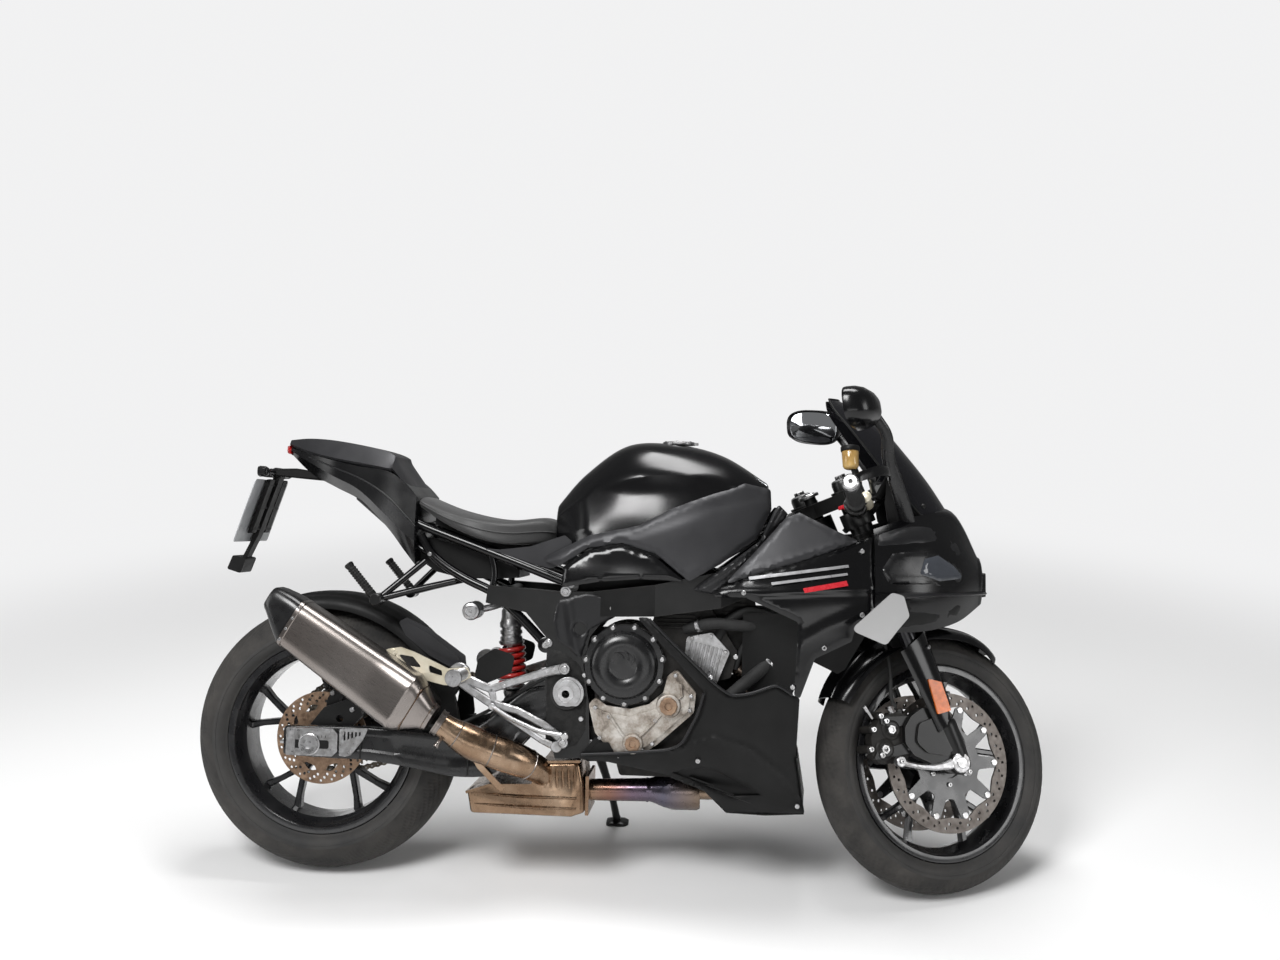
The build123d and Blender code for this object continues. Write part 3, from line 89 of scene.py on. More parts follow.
def turns(count, shift=0.0):
    """Angles spread evenly round a turn, shifted by a share of their step."""
    return [2 * math.pi * (k + shift) / count for k in range(count)]


def around(x, y, z, radius, turn):
    """A point at an angle round an axis that runs across the machine."""
    return Vector((x + radius * math.cos(turn), y, z + radius * math.sin(turn)))


def at_side(y, line):
    """Points from a side view's (x, z), all at one distance from the middle plane."""
    return [Vector((x, y, z)) for x, z in line]


def opposite(point):
    """The same point on the machine's other side."""
    return Vector((point.x, -point.y, point.z))


# ---------------------------------------------------------------- materials
MATERIALS = {}


class Shade:
    """One Principled material and short ways to its nodes."""

    def __init__(self, name, colour, rough, metal=0.0, **sockets):
        self.made = bpy.data.materials.new(name)
        self.made.use_nodes = True
        self.tree = self.made.node_tree
        self.base = self.tree.nodes["Principled BSDF"]
        self.set(**{"Base Color": (*colour, 1), "Roughness": rough, "Metallic": metal, **sockets})
        self.place = self.node("ShaderNodeTexCoord").outputs["Object"]
        MATERIALS[name] = self.made

    def set(self, **values):
        for key, value in values.items():
            self.base.inputs[key.replace("_", " ")].default_value = value

    def node(self, kind, **settings):
        made = self.tree.nodes.new(kind)
        for key, value in settings.items():
            if key in made.inputs:
                made.inputs[key].default_value = value
            else:
                setattr(made, key.lower(), value)
        return made

    def link(self, source, target):
        self.tree.links.new(source, target)

    def noise(self, scale, detail=3.0, rough=0.5, stretch=None, place=None):
        """Noise at a number of grains per metre, stretched along X, Y and Z if asked."""
        made = self.node("ShaderNodeTexNoise", Scale=scale, Detail=detail, Roughness=rough)
        source = place or self.place
        if stretch:
            mapping = self.node("ShaderNodeMapping", Scale=stretch)
            self.link(source, mapping.inputs["Vector"])
            source = mapping.outputs["Vector"]
        self.link(source, made.inputs["Vector"])
        return made.outputs["Fac"]

    def cells(self, scale, feature="F1"):
        made = self.node("ShaderNodeTexVoronoi", Scale=scale)
        made.feature = feature
        self.link(self.place, made.inputs["Vector"])
        return made.outputs["Distance"]

    def ramp(self, source, stops):
        """Colours by a value; stops are (position, grey or colour)."""
        made = self.node("ShaderNodeValToRGB")
        marks = made.color_ramp.elements
        while len(marks) < len(stops):
            marks.new(0.5)
        for mark, (at, value) in zip(marks, stops):
            mark.position = at
            mark.color = (*value, 1) if isinstance(value, tuple) else (value, value, value, 1)
        self.link(source, made.inputs["Fac"])
        return made.outputs["Color"]

    def colour(self, source, *stops):
        self.link(self.ramp(source, stops), self.base.inputs["Base Color"])

    def rough(self, source, *stops):
        self.link(self.ramp(source, stops), self.base.inputs["Roughness"])

    def mix(self, fac, one, two):
        made = self.node("ShaderNodeMix")
        made.data_type = "RGBA"
        self.link(fac, made.inputs[0])
        for value, socket in ((one, made.inputs[6]), (two, made.inputs[7])):
            if isinstance(value, tuple):
                socket.default_value = (*value, 1)
            else:
                self.link(value, socket)
        return made.outputs[2]

    def bump(self, height, depth, strength=0.5):
        """Relief of a depth in metres."""
        made = self.node("ShaderNodeBump", Strength=strength, Distance=depth)
        self.link(height, made.inputs["Height"])
        before = self.base.inputs["Normal"].links
        if before:
            self.link(before[0].from_socket, made.inputs["Normal"])
        self.link(made.outputs["Normal"], self.base.inputs["Normal"])

    def worn(self, colour, amount=0.5, width=0.004):
        """Paler, barer edges, found by a bevelled normal."""
        bevel = self.node("ShaderNodeBevel", Radius=width)
        bevel.samples = 4
        plain = self.node("ShaderNodeNewGeometry")
        dot = self.node("ShaderNodeVectorMath")
        dot.operation = "DOT_PRODUCT"
        self.link(bevel.outputs["Normal"], dot.inputs[0])
        self.link(plain.outputs["Normal"], dot.inputs[1])
        edge = self.ramp(dot.outputs["Value"], ((0.9, amount), (0.995, 0.0)))
        before = self.base.inputs["Base Color"]
        start = before.links[0].from_socket if before.links else tuple(before.default_value)[:3]
        self.link(self.mix(edge, start, colour), before)


# name: colour, roughness, metal, other sockets, then what its noise does: a colour or roughness from
# one value to another, or a bump of a depth in metres and a strength; (scale, detail, roughness) of the noise
NOISY = {
    "gloss_black": ((0.003, 0.003, 0.0034), 0.16, 0, {"Specular IOR Level": 0.42}, ("rough", (9, 5), 0.13, 0.24),
        ("bump", (420, 2), 0.00002, 0.3)),
    "matte_grey": ((0.03, 0.03, 0.032), 0.38, 0.4, {},
        ("colour", (6, 4), (0.024, 0.024, 0.026), (0.04, 0.04, 0.043)), ("bump", (1600, 2), 0.00003, 0.4),
        ("rough", (14, 3), 0.36, 0.48)),
    "satin_dark": ((0.014, 0.014, 0.015), 0.32, 0.2, {"Specular IOR Level": 0.35}, ("bump", (1500, 2), 0.00003, 0.4),
        ("rough", (18, 3), 0.28, 0.42)),
    "satin_black": ((0.006, 0.006, 0.0065), 0.26, 0.0, {"Specular IOR Level": 0.5}, ("rough", (30, 4), 0.2, 0.36),
        ("bump", (900, 2), 0.00003, 0.4)),
    "engine_dark": ((0.014, 0.0135, 0.013), 0.46, 0.2, {"Specular IOR Level": 0.28},
        ("colour", (34, 7, 0.7), (0.006, 0.0058, 0.0055), (0.026, 0.024, 0.022)), ("bump", (800, 3), 0.0002, 0.6),
        ("rough", (50, 4), 0.4, 0.65)),
    "satin_grey": ((0.42, 0.42, 0.42), 0.35, 0.6, {}, ("bump", (1600, 2), 0.00002, 0.4),
        ("rough", (20, 3), 0.3, 0.42)),
    "matte_black": ((0.006, 0.006, 0.0064), 0.5, 0, {"Specular IOR Level": 0.2}, ("colour", (11, 4), 0.0045, 0.008),
        ("bump", (900, 2), 0.00008, 0.5), ("rough", (25, 3), 0.42, 0.58)),
    "disc_steel": ((0.16, 0.14, 0.13), 0.42, 0.9, {},
        ("colour", (60, 5, 0.7), (0.09, 0.078, 0.07), (0.21, 0.19, 0.175)), ("rough", (240, 3), 0.36, 0.55)),
    "rear_disc_steel": ((0.32, 0.2, 0.13), 0.4, 1.0, {},
        ("colour", (45, 6, 0.7), (0.17, 0.11, 0.075), (0.42, 0.29, 0.2)), ("rough", (160, 3), 0.3, 0.55)),
    "bright_steel": ((0.6, 0.6, 0.61), 0.3, 1.0, {}, ("rough", (70, 5, 0.7), 0.2, 0.44),
        ("colour", (30, 5), (0.34, 0.335, 0.33), (0.55, 0.55, 0.56))),
    "fork_black": ((0.02, 0.02, 0.022), 0.14, 0.6, {"Specular IOR Level": 0.5}, ("rough", (60, 4), 0.1, 0.24),
        ("bump", (700, 2), 0.00002, 0.3)),
    "slider_chrome": ((0.75, 0.76, 0.78), 0.1, 1.0, {}, ("rough", (40, 4), 0.07, 0.2)),
    "rubber": ((0.012, 0.012, 0.012), 0.75, 0, {}, ("colour", (40, 4), 0.009, 0.02), ("bump", (700, 3), 0.0002, 0.5)),
    "plate_white": ((0.4, 0.41, 0.42), 0.35, 0, {}, ("colour", (18, 5), (0.3, 0.31, 0.32), (0.42, 0.43, 0.44)),
        ("bump", (300, 2), 0.00005, 0.3)),
    "champagne": ((0.72, 0.66, 0.5), 0.38, 0.6, {}, ("colour", (30, 4), (0.62, 0.56, 0.42), (0.78, 0.73, 0.6)),
        ("bump", (900, 2), 0.00004, 0.4)),
    "dark_lens": ((0.045, 0.05, 0.06), 0.06, 0, {"Coat Weight": 0.6}, ("rough", (14, 3), 0.03, 0.1)),
    "lens": ((0.75, 0.8, 0.85), 0.05, 0, {"Transmission Weight": 0.9, "IOR": 1.45}, ("bump", (120, 2), 0.0001, 0.3)),
    "screen": ((0.012, 0.012, 0.014), 0.06, 0, {"Transmission Weight": 0.3, "IOR": 1.4, "Specular IOR Level": 0.4},
        ("rough", (12, 4), 0.03, 0.1)),
    "fluid": ((0.5, 0.3, 0.08), 0.12, 0, {"Coat Weight": 0.5},
        ("colour", (30, 3), (0.3, 0.17, 0.05), (0.6, 0.4, 0.14))),
    "mirror": ((0.85, 0.87, 0.9), 0.02, 1.0, {}, ("rough", (60, 3), 0.015, 0.05)),
    "spring_red": ((0.4, 0.012, 0.01), 0.3, 0, {"Coat Weight": 0.5},
        ("colour", (50, 4), (0.26, 0.01, 0.01), (0.48, 0.02, 0.015)), ("rough", (90, 3), 0.22, 0.45)),
    "stripe_silver": ((0.42, 0.42, 0.43), 0.3, 0.6, {}, ("rough", (60, 3), 0.25, 0.4)),
    "stripe_red": ((0.5, 0.02, 0.03), 0.3, 0, {}, ("rough", (60, 3), 0.2, 0.35)),
}


def make_materials():
    for name, (colour, rough, metal, sockets, *steps) in NOISY.items():
        made = Shade(name, colour, rough, metal, **sockets)
        for what, grains, first, second in steps:
            noise = made.noise(*grains)
            if what == "bump":
                made.bump(noise, first, second)
            else:
                getattr(made, what)(noise, (0.3, first), (0.7, second))

    plate_rough = Shade("frame_rough", (0.012, 0.012, 0.012), 0.58, 0.1, Specular_IOR_Level=0.25)
    plate_rough.colour(plate_rough.noise(60, 6, 0.7), (0.3, (0.006, 0.006, 0.006)), (0.7, (0.02, 0.0195, 0.019)))
    plate_rough.bump(plate_rough.cells(260), 0.0006, 0.7)
    plate_rough.rough(plate_rough.noise(90, 3), (0.3, 0.5), (0.7, 0.72))

    metal = Shade("black_metal", (0.008, 0.008, 0.0085), 0.32, 0.15, Specular_IOR_Level=0.4)
    metal.colour(metal.noise(16, 4), (0.3, 0.005), (0.7, 0.011))
    metal.bump(metal.noise(1100, 2), 0.00003, 0.4)
    metal.worn((0.16, 0.155, 0.15), 0.35, 0.0012)

    wheel = Shade("wheel_black", (0.01, 0.01, 0.011), 0.22, Coat_Weight=0.5, Coat_Roughness=0.1)
    wheel.rough(wheel.noise(22, 5), (0.3, 0.16), (0.72, 0.42))
    wheel.bump(wheel.noise(900, 2), 0.00002, 0.4)

    tyre = Shade("tyre", (0.04, 0.037, 0.034), 0.86)
    dust = tyre.noise(13, 6, 0.65)
    tyre.colour(dust, (0.32, (0.014, 0.0135, 0.013)), (0.62, (0.038, 0.035, 0.032)), (0.8, (0.06, 0.055, 0.049)))
    tyre.bump(tyre.noise(700, 4), 0.0003, 0.6)
    tyre.bump(tyre.noise(90, 3), 0.0004, 0.3)

    side = Shade("sidewall", (0.02, 0.02, 0.02), 0.72)
    side.colour(side.noise(9, 6, 0.6), (0.35, (0.016, 0.016, 0.016)), (0.75, (0.042, 0.039, 0.036)))
    side.bump(side.noise(500, 3), 0.0002, 0.5)

    chain = Shade("chain_steel", (0.24, 0.21, 0.17), 0.42, 1.0)
    chain.colour(chain.noise(120, 4, 0.7), (0.35, (0.05, 0.042, 0.034)), (0.7, (0.36, 0.32, 0.26)))
    chain.rough(chain.noise(90, 3), (0.3, 0.3), (0.7, 0.62))

    alloy = Shade("bright_alloy", (0.45, 0.45, 0.46), 0.34, 1.0)
    alloy.colour(alloy.noise(38, 6, 0.65), (0.3, (0.26, 0.255, 0.25)), (0.65, (0.52, 0.52, 0.53)))
    alloy.rough(alloy.noise(130, 3), (0.3, 0.26), (0.7, 0.48))
    alloy.bump(alloy.noise(1300, 2), 0.00004, 0.4)

    cast = Shade("cast_alloy", (0.42, 0.39, 0.35), 0.55, 0.85)
    cast.colour(
        cast.noise(26, 8, 0.72),
        (0.3, (0.09, 0.07, 0.055)), (0.45, (0.34, 0.3, 0.26)), (0.6, (0.55, 0.52, 0.48)), (0.75, (0.68, 0.66, 0.63)),
    )
    cast.bump(cast.noise(900, 3), 0.00025, 0.6)
    cast.bump(cast.noise(60, 4), 0.0008, 0.4)
    cast.rough(cast.noise(45, 4), (0.3, 0.38), (0.7, 0.7))

    titan = Shade("titanium", (0.42, 0.37, 0.33), 0.3, 1.0)
    along = silencer_place(titan)
    titan.colour(
        titan.noise(3.2, 3, place=along),
        (0.3, (0.22, 0.195, 0.18)), (0.7, (0.33, 0.305, 0.29)),
    )
    brushed = titan.noise(2400, 2, 0.6, (0.012, 1, 1), along)
    titan.bump(brushed, 0.00002, 0.2)
    titan.rough(brushed, (0.3, 0.25), (0.7, 0.33))

    tint = Shade("hot_pipe", (0.5, 0.36, 0.22), 0.3, 1.0)
    stain = tint.noise(9, 5, 0.6)
    hot = tint.ramp(stain, ((0.3, (0.17, 0.105, 0.065)), (0.5, (0.26, 0.175, 0.115)), (0.72, (0.4, 0.295, 0.21))))
    drive = tint.node("ShaderNodeSeparateXYZ")
    tint.link(tint.place, drive.inputs[0])
    zone = tint.node("ShaderNodeMapRange")
    zone.inputs["From Min"].default_value = (UPRIGHT @ Vector((640, 0, 0))).x
    zone.inputs["From Max"].default_value = (UPRIGHT @ Vector((1010, 0, 0))).x
    tint.link(drive.outputs["X"], zone.inputs["Value"])
    blued = tint.ramp(
        zone.outputs["Result"],
        (
            (0.0, (0.27, 0.18, 0.12)), (0.16, (0.2, 0.1, 0.08)), (0.3, (0.11, 0.08, 0.13)),
            (0.5, (0.07, 0.08, 0.13)), (0.75, (0.2, 0.15, 0.11)), (1.0, (0.17, 0.14, 0.12)),
        ),
    )
    share = tint.ramp(zone.outputs["Result"], ((0.0, 0.0), (0.08, 0.85), (1.0, 0.85)))
    tint.link(tint.mix(share, hot, blued), tint.base.inputs["Base Color"])
    tint.rough(tint.noise(60, 4), (0.3, 0.18), (0.7, 0.34))
    tint.bump(tint.noise(300, 3), 0.0001, 0.3)

    seat = Shade("seat_cover", (0.016, 0.016, 0.017), 0.5, Sheen_Weight=0.15)
    grain = seat.cells(520)
    seat.bump(grain, 0.0003, 0.55)
    seat.bump(seat.noise(60, 4), 0.0006, 0.25)
    seat.colour(grain, (0.05, 0.008), (0.5, 0.02))
    seat.rough(seat.noise(20, 4), (0.3, 0.42), (0.7, 0.6))

    for name, colour in (("lamp_red", (0.35, 0.006, 0.006)), ("lamp_amber", (0.75, 0.16, 0.015))):
        lamp = Shade(name, colour, 0.16, Coat_Weight=0.6, Coat_Roughness=0.05)
        lamp.bump(lamp.cells(420), 0.0008, 0.6)
        lamp.colour(lamp.noise(90, 2), (0.3, tuple(c * 0.7 for c in colour)), (0.7, colour))

    smoke = Shade("smoked_lens", (0.05, 0.022, 0.008), 0.1, Coat_Weight=0.6)
    smoke.bump(smoke.cells(420), 0.0005, 0.5)
    smoke.colour(smoke.noise(90, 2), (0.3, (0.03, 0.014, 0.006)), (0.7, (0.09, 0.035, 0.01)))

    core = Shade("core", (0.02, 0.02, 0.02), 0.6, 0.4)
    fins = core.node("ShaderNodeTexWave", Scale=160)
    fins.bands_direction = "Z"
    core.link(core.place, fins.inputs["Vector"])
    core.bump(fins.outputs["Fac"], 0.002, 0.9)
    core.colour(fins.outputs["Fac"], (0.2, 0.004), (0.7, 0.022))


SILENCER_FROM = Vector((322, -214, 387))
SILENCER_WAY = Vector((-0.858, 0, 0.513)).normalized()


def silencer_place(shade):
    """Coordinates with X along the silencer, for a brushed finish."""
    way = (UPRIGHT.to_3x3() @ SILENCER_WAY).normalized()
    turn = way.to_track_quat("X", "Z").inverted().to_euler()
    mapping = shade.node("ShaderNodeMapping")
    mapping.inputs["Rotation"].default_value = turn
    shade.link(shade.place, mapping.inputs["Vector"])
    return mapping.outputs["Vector"]


# ---------------------------------------------------------------- making meshes
WELD = 1e-5  # points closer than this, in metres, become one
BEVEL_FROM = 32  # edges sharper than this, in degrees, are bevelled


def show(made):
    """Puts an object into the scene."""
    bpy.context.scene.collection.objects.link(made)
    return made


def piece(name, verts, faces, body, material, slot, replaces=(), smooth=35.0, level=0, bevel=0.0, thick=0.0):
    """A finished mesh piece from points in its body's drawing frame, riding on that body."""
    place = STEERED if body in STEERING_BODIES else UPRIGHT
    mesh = bpy.data.meshes.new(name)
    mesh.from_pydata([place @ Vector(v) for v in verts], [], faces)
    mesh.validate()
    made = show(bpy.data.objects.new(name, mesh))
    work = bmesh.new()
    work.from_mesh(mesh)
    bmesh.ops.remove_doubles(work, verts=work.verts, dist=WELD)
    if not thick:
        bmesh.ops.recalc_face_normals(work, faces=work.faces)
    work.to_mesh(mesh)
    work.free()
    mesh.materials.append(MATERIALS[material])
    if thick:
        wall = made.modifiers.new("wall", "SOLIDIFY")
        wall.thickness, wall.offset = thick, -1
    if bevel:
        edge = made.modifiers.new("edge", "BEVEL")
        edge.width, edge.segments, edge.limit_method = bevel, 2, "ANGLE"
        edge.angle_limit = math.radians(BEVEL_FROM)
        edge.harden_normals = True
    if level:
        soft = made.modifiers.new("soft", "SUBSURF")
        soft.levels = soft.render_levels = level
    mesh.shade_smooth()
    if not level:
        shade_by_angle(mesh, smooth)
    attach(made, body)
    if replaces:
        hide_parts(*([replaces] if isinstance(replaces, str) else replaces))
    return made


def shade_by_angle(mesh, degrees):
    """Keeps edges sharper than an angle crisp."""
    work = bmesh.new()
    work.from_mesh(mesh)
    limit = math.radians(degrees)
    for edge in work.edges:
        edge.smooth = len(edge.link_faces) == 2 and edge.calc_face_angle(0) < limit
    work.to_mesh(mesh)
    work.free()


class Shape:
    """Points and faces gathered from simple solids, all in one drawing frame."""

    def __init__(self):
        self.verts, self.faces = [], []

    def add(self, verts, faces):
        start = len(self.verts)
        self.verts += [Vector(v) for v in verts]
        self.faces += [[i + start for i in face] for face in faces]
        return self

    def mirror(self):
        """Adds the same on the other side of the machine."""
        self.add([(v[0], -v[1], v[2]) for v in self.verts], [list(reversed(f)) for f in self.faces])
        return self

    def to(self, name, material, slot=None, body="chassis", **more):
        """A piece of this shape in its material; the slot is not used."""
        return piece(name, self.verts, self.faces, body, material, slot or material, **more)

    def rings(self, rings, closed=True, caps=True):
        """Skins a stack of rings with the same count of points."""
        count = len(rings[0])
        verts = [v for ring in rings for v in ring]
        faces = []
        for r in range(len(rings) - 1):
            for i in range(count if closed else count - 1):
                j = (i + 1) % count
                faces.append([r * count + i, r * count + j, (r + 1) * count + j, (r + 1) * count + i])
        if caps and closed:
            faces.append(list(reversed(range(count))))
            faces.append([(len(rings) - 1) * count + i for i in range(count)])
        return self.add(verts, faces)

    def lathe(self, at, way, profile, steps=48, closed=False):
        """Turns (distance along, radius) points about an axis."""
        way = Vector(way).normalized()
        side = way.orthogonal().normalized()
        other = way.cross(side)
        rings = []
        for along, radius in profile:
            middle = Vector(at) + way * along
            rings.append([middle + (side * math.cos(t) + other * math.sin(t)) * radius for t in turns(steps)])
        if closed:
            rings.append(rings[0])
        return self.rings(rings, caps=not closed)

    def rod(self, start, end, radius, steps=24, soft=0.0):
        start, end = Vector(start), Vector(end)
        length = (end - start).length
        soft = min(soft or radius * 0.12, radius * 0.9, length * 0.4)
        profile = [(0, radius - soft), (soft, radius), (length - soft, radius), (length, radius - soft)]
        return self.lathe(start, end - start, profile, steps)

    def tube(self, points, radius, steps=16, round_off=0):
        """A round tube through points; round_off makes its corners arcs."""
        path = smooth_path(points, round_off) if round_off else [Vector(p) for p in points]
        normal = None
        rings = []
        for k, (point, way) in enumerate(travel(path)):
            if normal is None:
                normal = way.orthogonal().normalized()
            normal = (normal - way * normal.dot(way)).normalized()
            other = way.cross(normal)
            size = radius(k / (len(path) - 1)) if callable(radius) else radius
            rings.append(
                [
                    point + (normal * math.cos(t) + other * math.sin(t)) * size
                    for t in turns(steps)
                ]
            )
        return self.rings(rings)

    def box(self, low, high):
        (a, b, c), (d, e, f) = low, high
        verts = [(x, y, z) for x in (a, d) for y in (b, e) for z in (c, f)]
        return self.add(
            verts, [[0, 1, 3, 2], [4, 6, 7, 5], [0, 4, 5, 1], [2, 3, 7, 6], [0, 2, 6, 4], [1, 5, 7, 3]]
        )

    def plate(self, outline, y0, y1, holes=(), corner=0.0):
        """A plate across Y from its (x, z) outline, with holes through it."""
        loops = [rounded(outline, corner) if corner else [Vector(p) for p in outline]]
        loops += [[Vector(p) for p in hole] for hole in holes]
        flat, faces = filled(loops)
        count = len(flat)
        verts = [(p.x, y0, p.y) for p in flat] + [(p.x, y1, p.y) for p in flat]
        made = [list(f) for f in faces] + [[i + count for i in reversed(f)] for f in faces]
        start = 0
        for loop in loops:
            for i in range(len(loop)):
                j = (i + 1) % len(loop)
                made.append([start + i, start + j, start + j + count, start + i + count])
            start += len(loop)
        return self.add(verts, made)

    def bolts(self, spots, way, radius, height):
        """Socket-head bolts standing at each spot."""
        way = Vector(way).normalized()
        for spot in spots:
            soft = radius * 0.2
            profile = [
                (-2, radius), (height - soft, radius), (height, radius - soft), (height, radius * 0.52),
                (height * 0.4, radius * 0.5), (height * 0.4, 0.01),
            ]
            self.lathe(spot, way, profile, 12)
        return self


def ribs(count, start, pitch, high, low, land, gap):
    """A lathe profile of ribs a pitch apart: a land at one radius, a steep step and a gap at another."""
    made = []
    for k in range(count):
        at = start + pitch * k
        made += [(at, high), (at + land, high), (at + land + gap[0], low), (at + land + gap[1], low)]
    return made


def bored(bore, *outside):
    """The closed profile of a ring with a bore, from the points of its outer side."""
    first = (outside[0][0], bore)
    return [first, *outside, (outside[-1][0], bore), first]


def circle(x, z, radius, steps=24):
    """A circle in the side view, as (x, z) points."""
    return [(x + radius * math.cos(t), z + radius * math.sin(t)) for t in turns(steps)]


def joined(loops):
    """All the loops' points in one list, and the edges that close each loop."""
    flat, edges = [], []
    for loop in loops:
        start = len(flat)
        flat += [Vector((p[0], p[1])) for p in loop]
        edges += [(start + i, start + (i + 1) % len(loop)) for i in range(len(loop))]
    return flat, edges


def divided(loop, size):
    """A closed loop with points added so that no step is much over a size."""
    made = []
    for p, q in pairs(loop):
        count = max(1, round((q - p).length / size))
        made += [p + (q - p) * i / count for i in range(count)]
    return made


def within(point, loops):
    """Whether a point lies inside the first loop and outside the others."""
    return inside(point, loops[0]) and not any(inside(point, hole) for hole in loops[1:])


def triangles(flat, edges, loops):
    """Points, triangles within the loops and the source of each point, by a Delaunay mesh."""
    verts, _, faces, back, _, _ = geometry.delaunay_2d_cdt(flat, edges, [], 0, 1e-6)
    kept = [
        list(face) for face in faces if within(sum((verts[i] for i in face), Vector((0, 0))) / len(face), loops)
    ]
    return verts, kept, back


def filled(loops):
    """Triangles inside the first loop and outside the others, keeping every loop's points."""
    flat, edges = joined(loops)
    _, kept, back = triangles(flat, edges, loops)
    return flat, [[back[i][0] for i in face] for face in kept]


def inside(point, loop):
    """Whether a point lies inside a closed loop."""
    x, z = point
    hit = False
    for k in range(len(loop)):
        (x1, z1), (x2, z2) = loop[k - 1], loop[k]
        if (z1 > z) != (z2 > z) and x < (x2 - x1) * (z - z1) / (z2 - z1) + x1:
            hit = not hit
    return hit


def bend_round(corner, before, after, steps):
    """A soft bend at a corner, from one offset from it to another."""
    a, b = corner + before, corner + after
    return [a * (1 - t) ** 2 + corner * 2 * t * (1 - t) + b * t**2 for t in (i / steps for i in range(steps + 1))]


def rounded(points, radius, steps=4):
    """A closed outline with its corners rounded, by no more than their sides allow."""
    points = [Vector(p) for p in points]
    made = []
    for k, corner in enumerate(points):
        before, after = points[k - 1] - corner, points[(k + 1) % len(points)] - corner
        bend = before.angle(after) if before.length and after.length else math.pi
        reach = min(radius / max(math.tan(bend / 2), 0.05), before.length * 0.45, after.length * 0.45)
        made += bend_round(corner, before.normalized() * reach, after.normalized() * reach, steps)
    return made


def smooth_path(points, radius, steps=6):
    """An open path with its inner corners rounded."""
    points = [Vector(p) for p in points]
    made = [points[0]]
    for k in range(1, len(points) - 1):
        corner = points[k]
        before, after = points[k - 1] - corner, points[k + 1] - corner
        reach = min(radius, before.length * 0.48, after.length * 0.48)
        made += bend_round(corner, before.normalized() * reach, after.normalized() * reach, steps)
    made.append(points[-1])
    return made


def blend(a, b, c, d, f):
    """A smooth step of f from b to c, led by their neighbours a and d."""
    return b + 0.5 * f * (c - a + f * (2 * a - 5 * b + 4 * c - d + f * (3 * (b - c) + d - a)))


def travel(path):
    """Each point of an open path with the direction of travel there."""
    last = len(path) - 1
    return [(p, (path[min(k + 1, last)] - path[max(k - 1, 0)]).normalized()) for k, p in enumerate(path)]


def spline(values, t):
    """A smooth curve through values, read at t from 0 to their count less one."""
    last = len(values) - 1
    k = min(int(t), last - 1)
    f = t - k
    a, b, c, d = (values[min(max(k + i, 0), last)] for i in (-1, 0, 1, 2))
    return blend(a, b, c, d, f)


def place_in(marks, value):
    """Where a value lies among rising marks, as a count that spline reads."""
    if value <= marks[0]:
        return 0.0
    for k in range(len(marks) - 1):
        if value <= marks[k + 1]:
            return k + (value - marks[k]) / (marks[k + 1] - marks[k])
    return float(len(marks) - 1)


def surface(rows, heights):
    """The half width of a side at any x and z, from half widths at fixed heights for a few x."""
    marks = [row[0] for row in rows]

    def width(x, z):
        v = place_in(heights, z)
        across = [spline(row[1:], v) for row in rows]
        return spline(across, place_in(marks, x))

    return width


def nearest(point, line):
    """Distance from a point to an open line of points, and which side of it the point lies on."""
    best, side = 1e9, 1
    for a, b in zip(line, line[1:]):
        a, b = Vector(a), Vector(b)
        run = b - a
        t = min(max((point - a).dot(run) / max(run.length_squared, 1e-9), 0), 1)
        off = point - (a + run * t)
        if off.length < best:
            best, side = off.length, 1 if run.x * off.y - run.y * off.x > 0 else -1
    return best, side


def panel(
    name, outline, width, material, slot=None, mesh_size=9.0, corner=8.0, roll=6.0, wall=3.0, lift=0.0, creases=(),
    holes=(), **more,
):
    """A moulded panel inside a side-view outline, bent over a side, its edges rolled in.

    A crease is (line, reach, height): a ridge or groove, or with a fourth item "step" a
    shelf on the line's left.
    """
    loops = [divided(rounded(outline, corner), mesh_size)]
    loops += [divided([Vector(p) for p in hole], mesh_size) for hole in holes]
    flat, edges = joined(loops)
    low_x, high_x = min(p.x for p in loops[0]), max(p.x for p in loops[0])
    low_z, high_z = min(p.y for p in loops[0]), max(p.y for p in loops[0])
    rims = [loop + [loop[0]] for loop in loops]
    row, z = 0, low_z + mesh_size / 2
    while z < high_z:
        x = low_x + mesh_size * (0.5 if row % 2 else 1.0)
        while x < high_x:
            p = Vector((x, z))
            if within(p, loops) and min(nearest(p, rim)[0] for rim in rims) > mesh_size * 0.45:
                flat.append(p)
            x += mesh_size
        z += mesh_size * 0.87
        row += 1
    verts, kept, _ = triangles(flat, edges, loops)
    skin = []
    for p in verts:
        off = min(nearest(p, rim)[0] for rim in rims)
        drop = roll * (1 - math.sqrt(max(0, 1 - (1 - min(off / roll, 1)) ** 2))) if roll else 0
        y = width(p.x, p.y) + lift - drop
        for crease in creases:
            line, reach, height = crease[:3]
            far, side = nearest(p, line)
            if len(crease) > 3:
                t = min(max((far * side + reach) / (2 * reach), 0), 1)
                y += height * t * t * (3 - 2 * t)
            elif far < reach:
                y += height * (1 + math.cos(math.pi * far / reach)) / 2
        skin.append((p.x, y, p.y))
    shape = Shape()
    for side in (1, -1):
        turned = kept if side > 0 else [list(reversed(f)) for f in kept]
        shape.add([(x, y * side, z) for x, y, z in skin], turned)
    return outward(shape).to(name, material, slot, thick=wall / 1000, smooth=50, **more)


def outward(shape):
    """Winds each face so that it looks away from the machine's middle plane."""
    for face in shape.faces:
        a, b, c = (shape.verts[face[i]] for i in (0, 1, 2))
        normal = (b - a).cross(c - a)
        middle = sum((shape.verts[i].y for i in face)) / len(face)
        if normal.y * middle < 0:
            face.reverse()
    return shape


def pairs(loop):
    """Each point of a closed loop with the next."""
    return list(zip(loop, loop[1:] + loop[:1]))


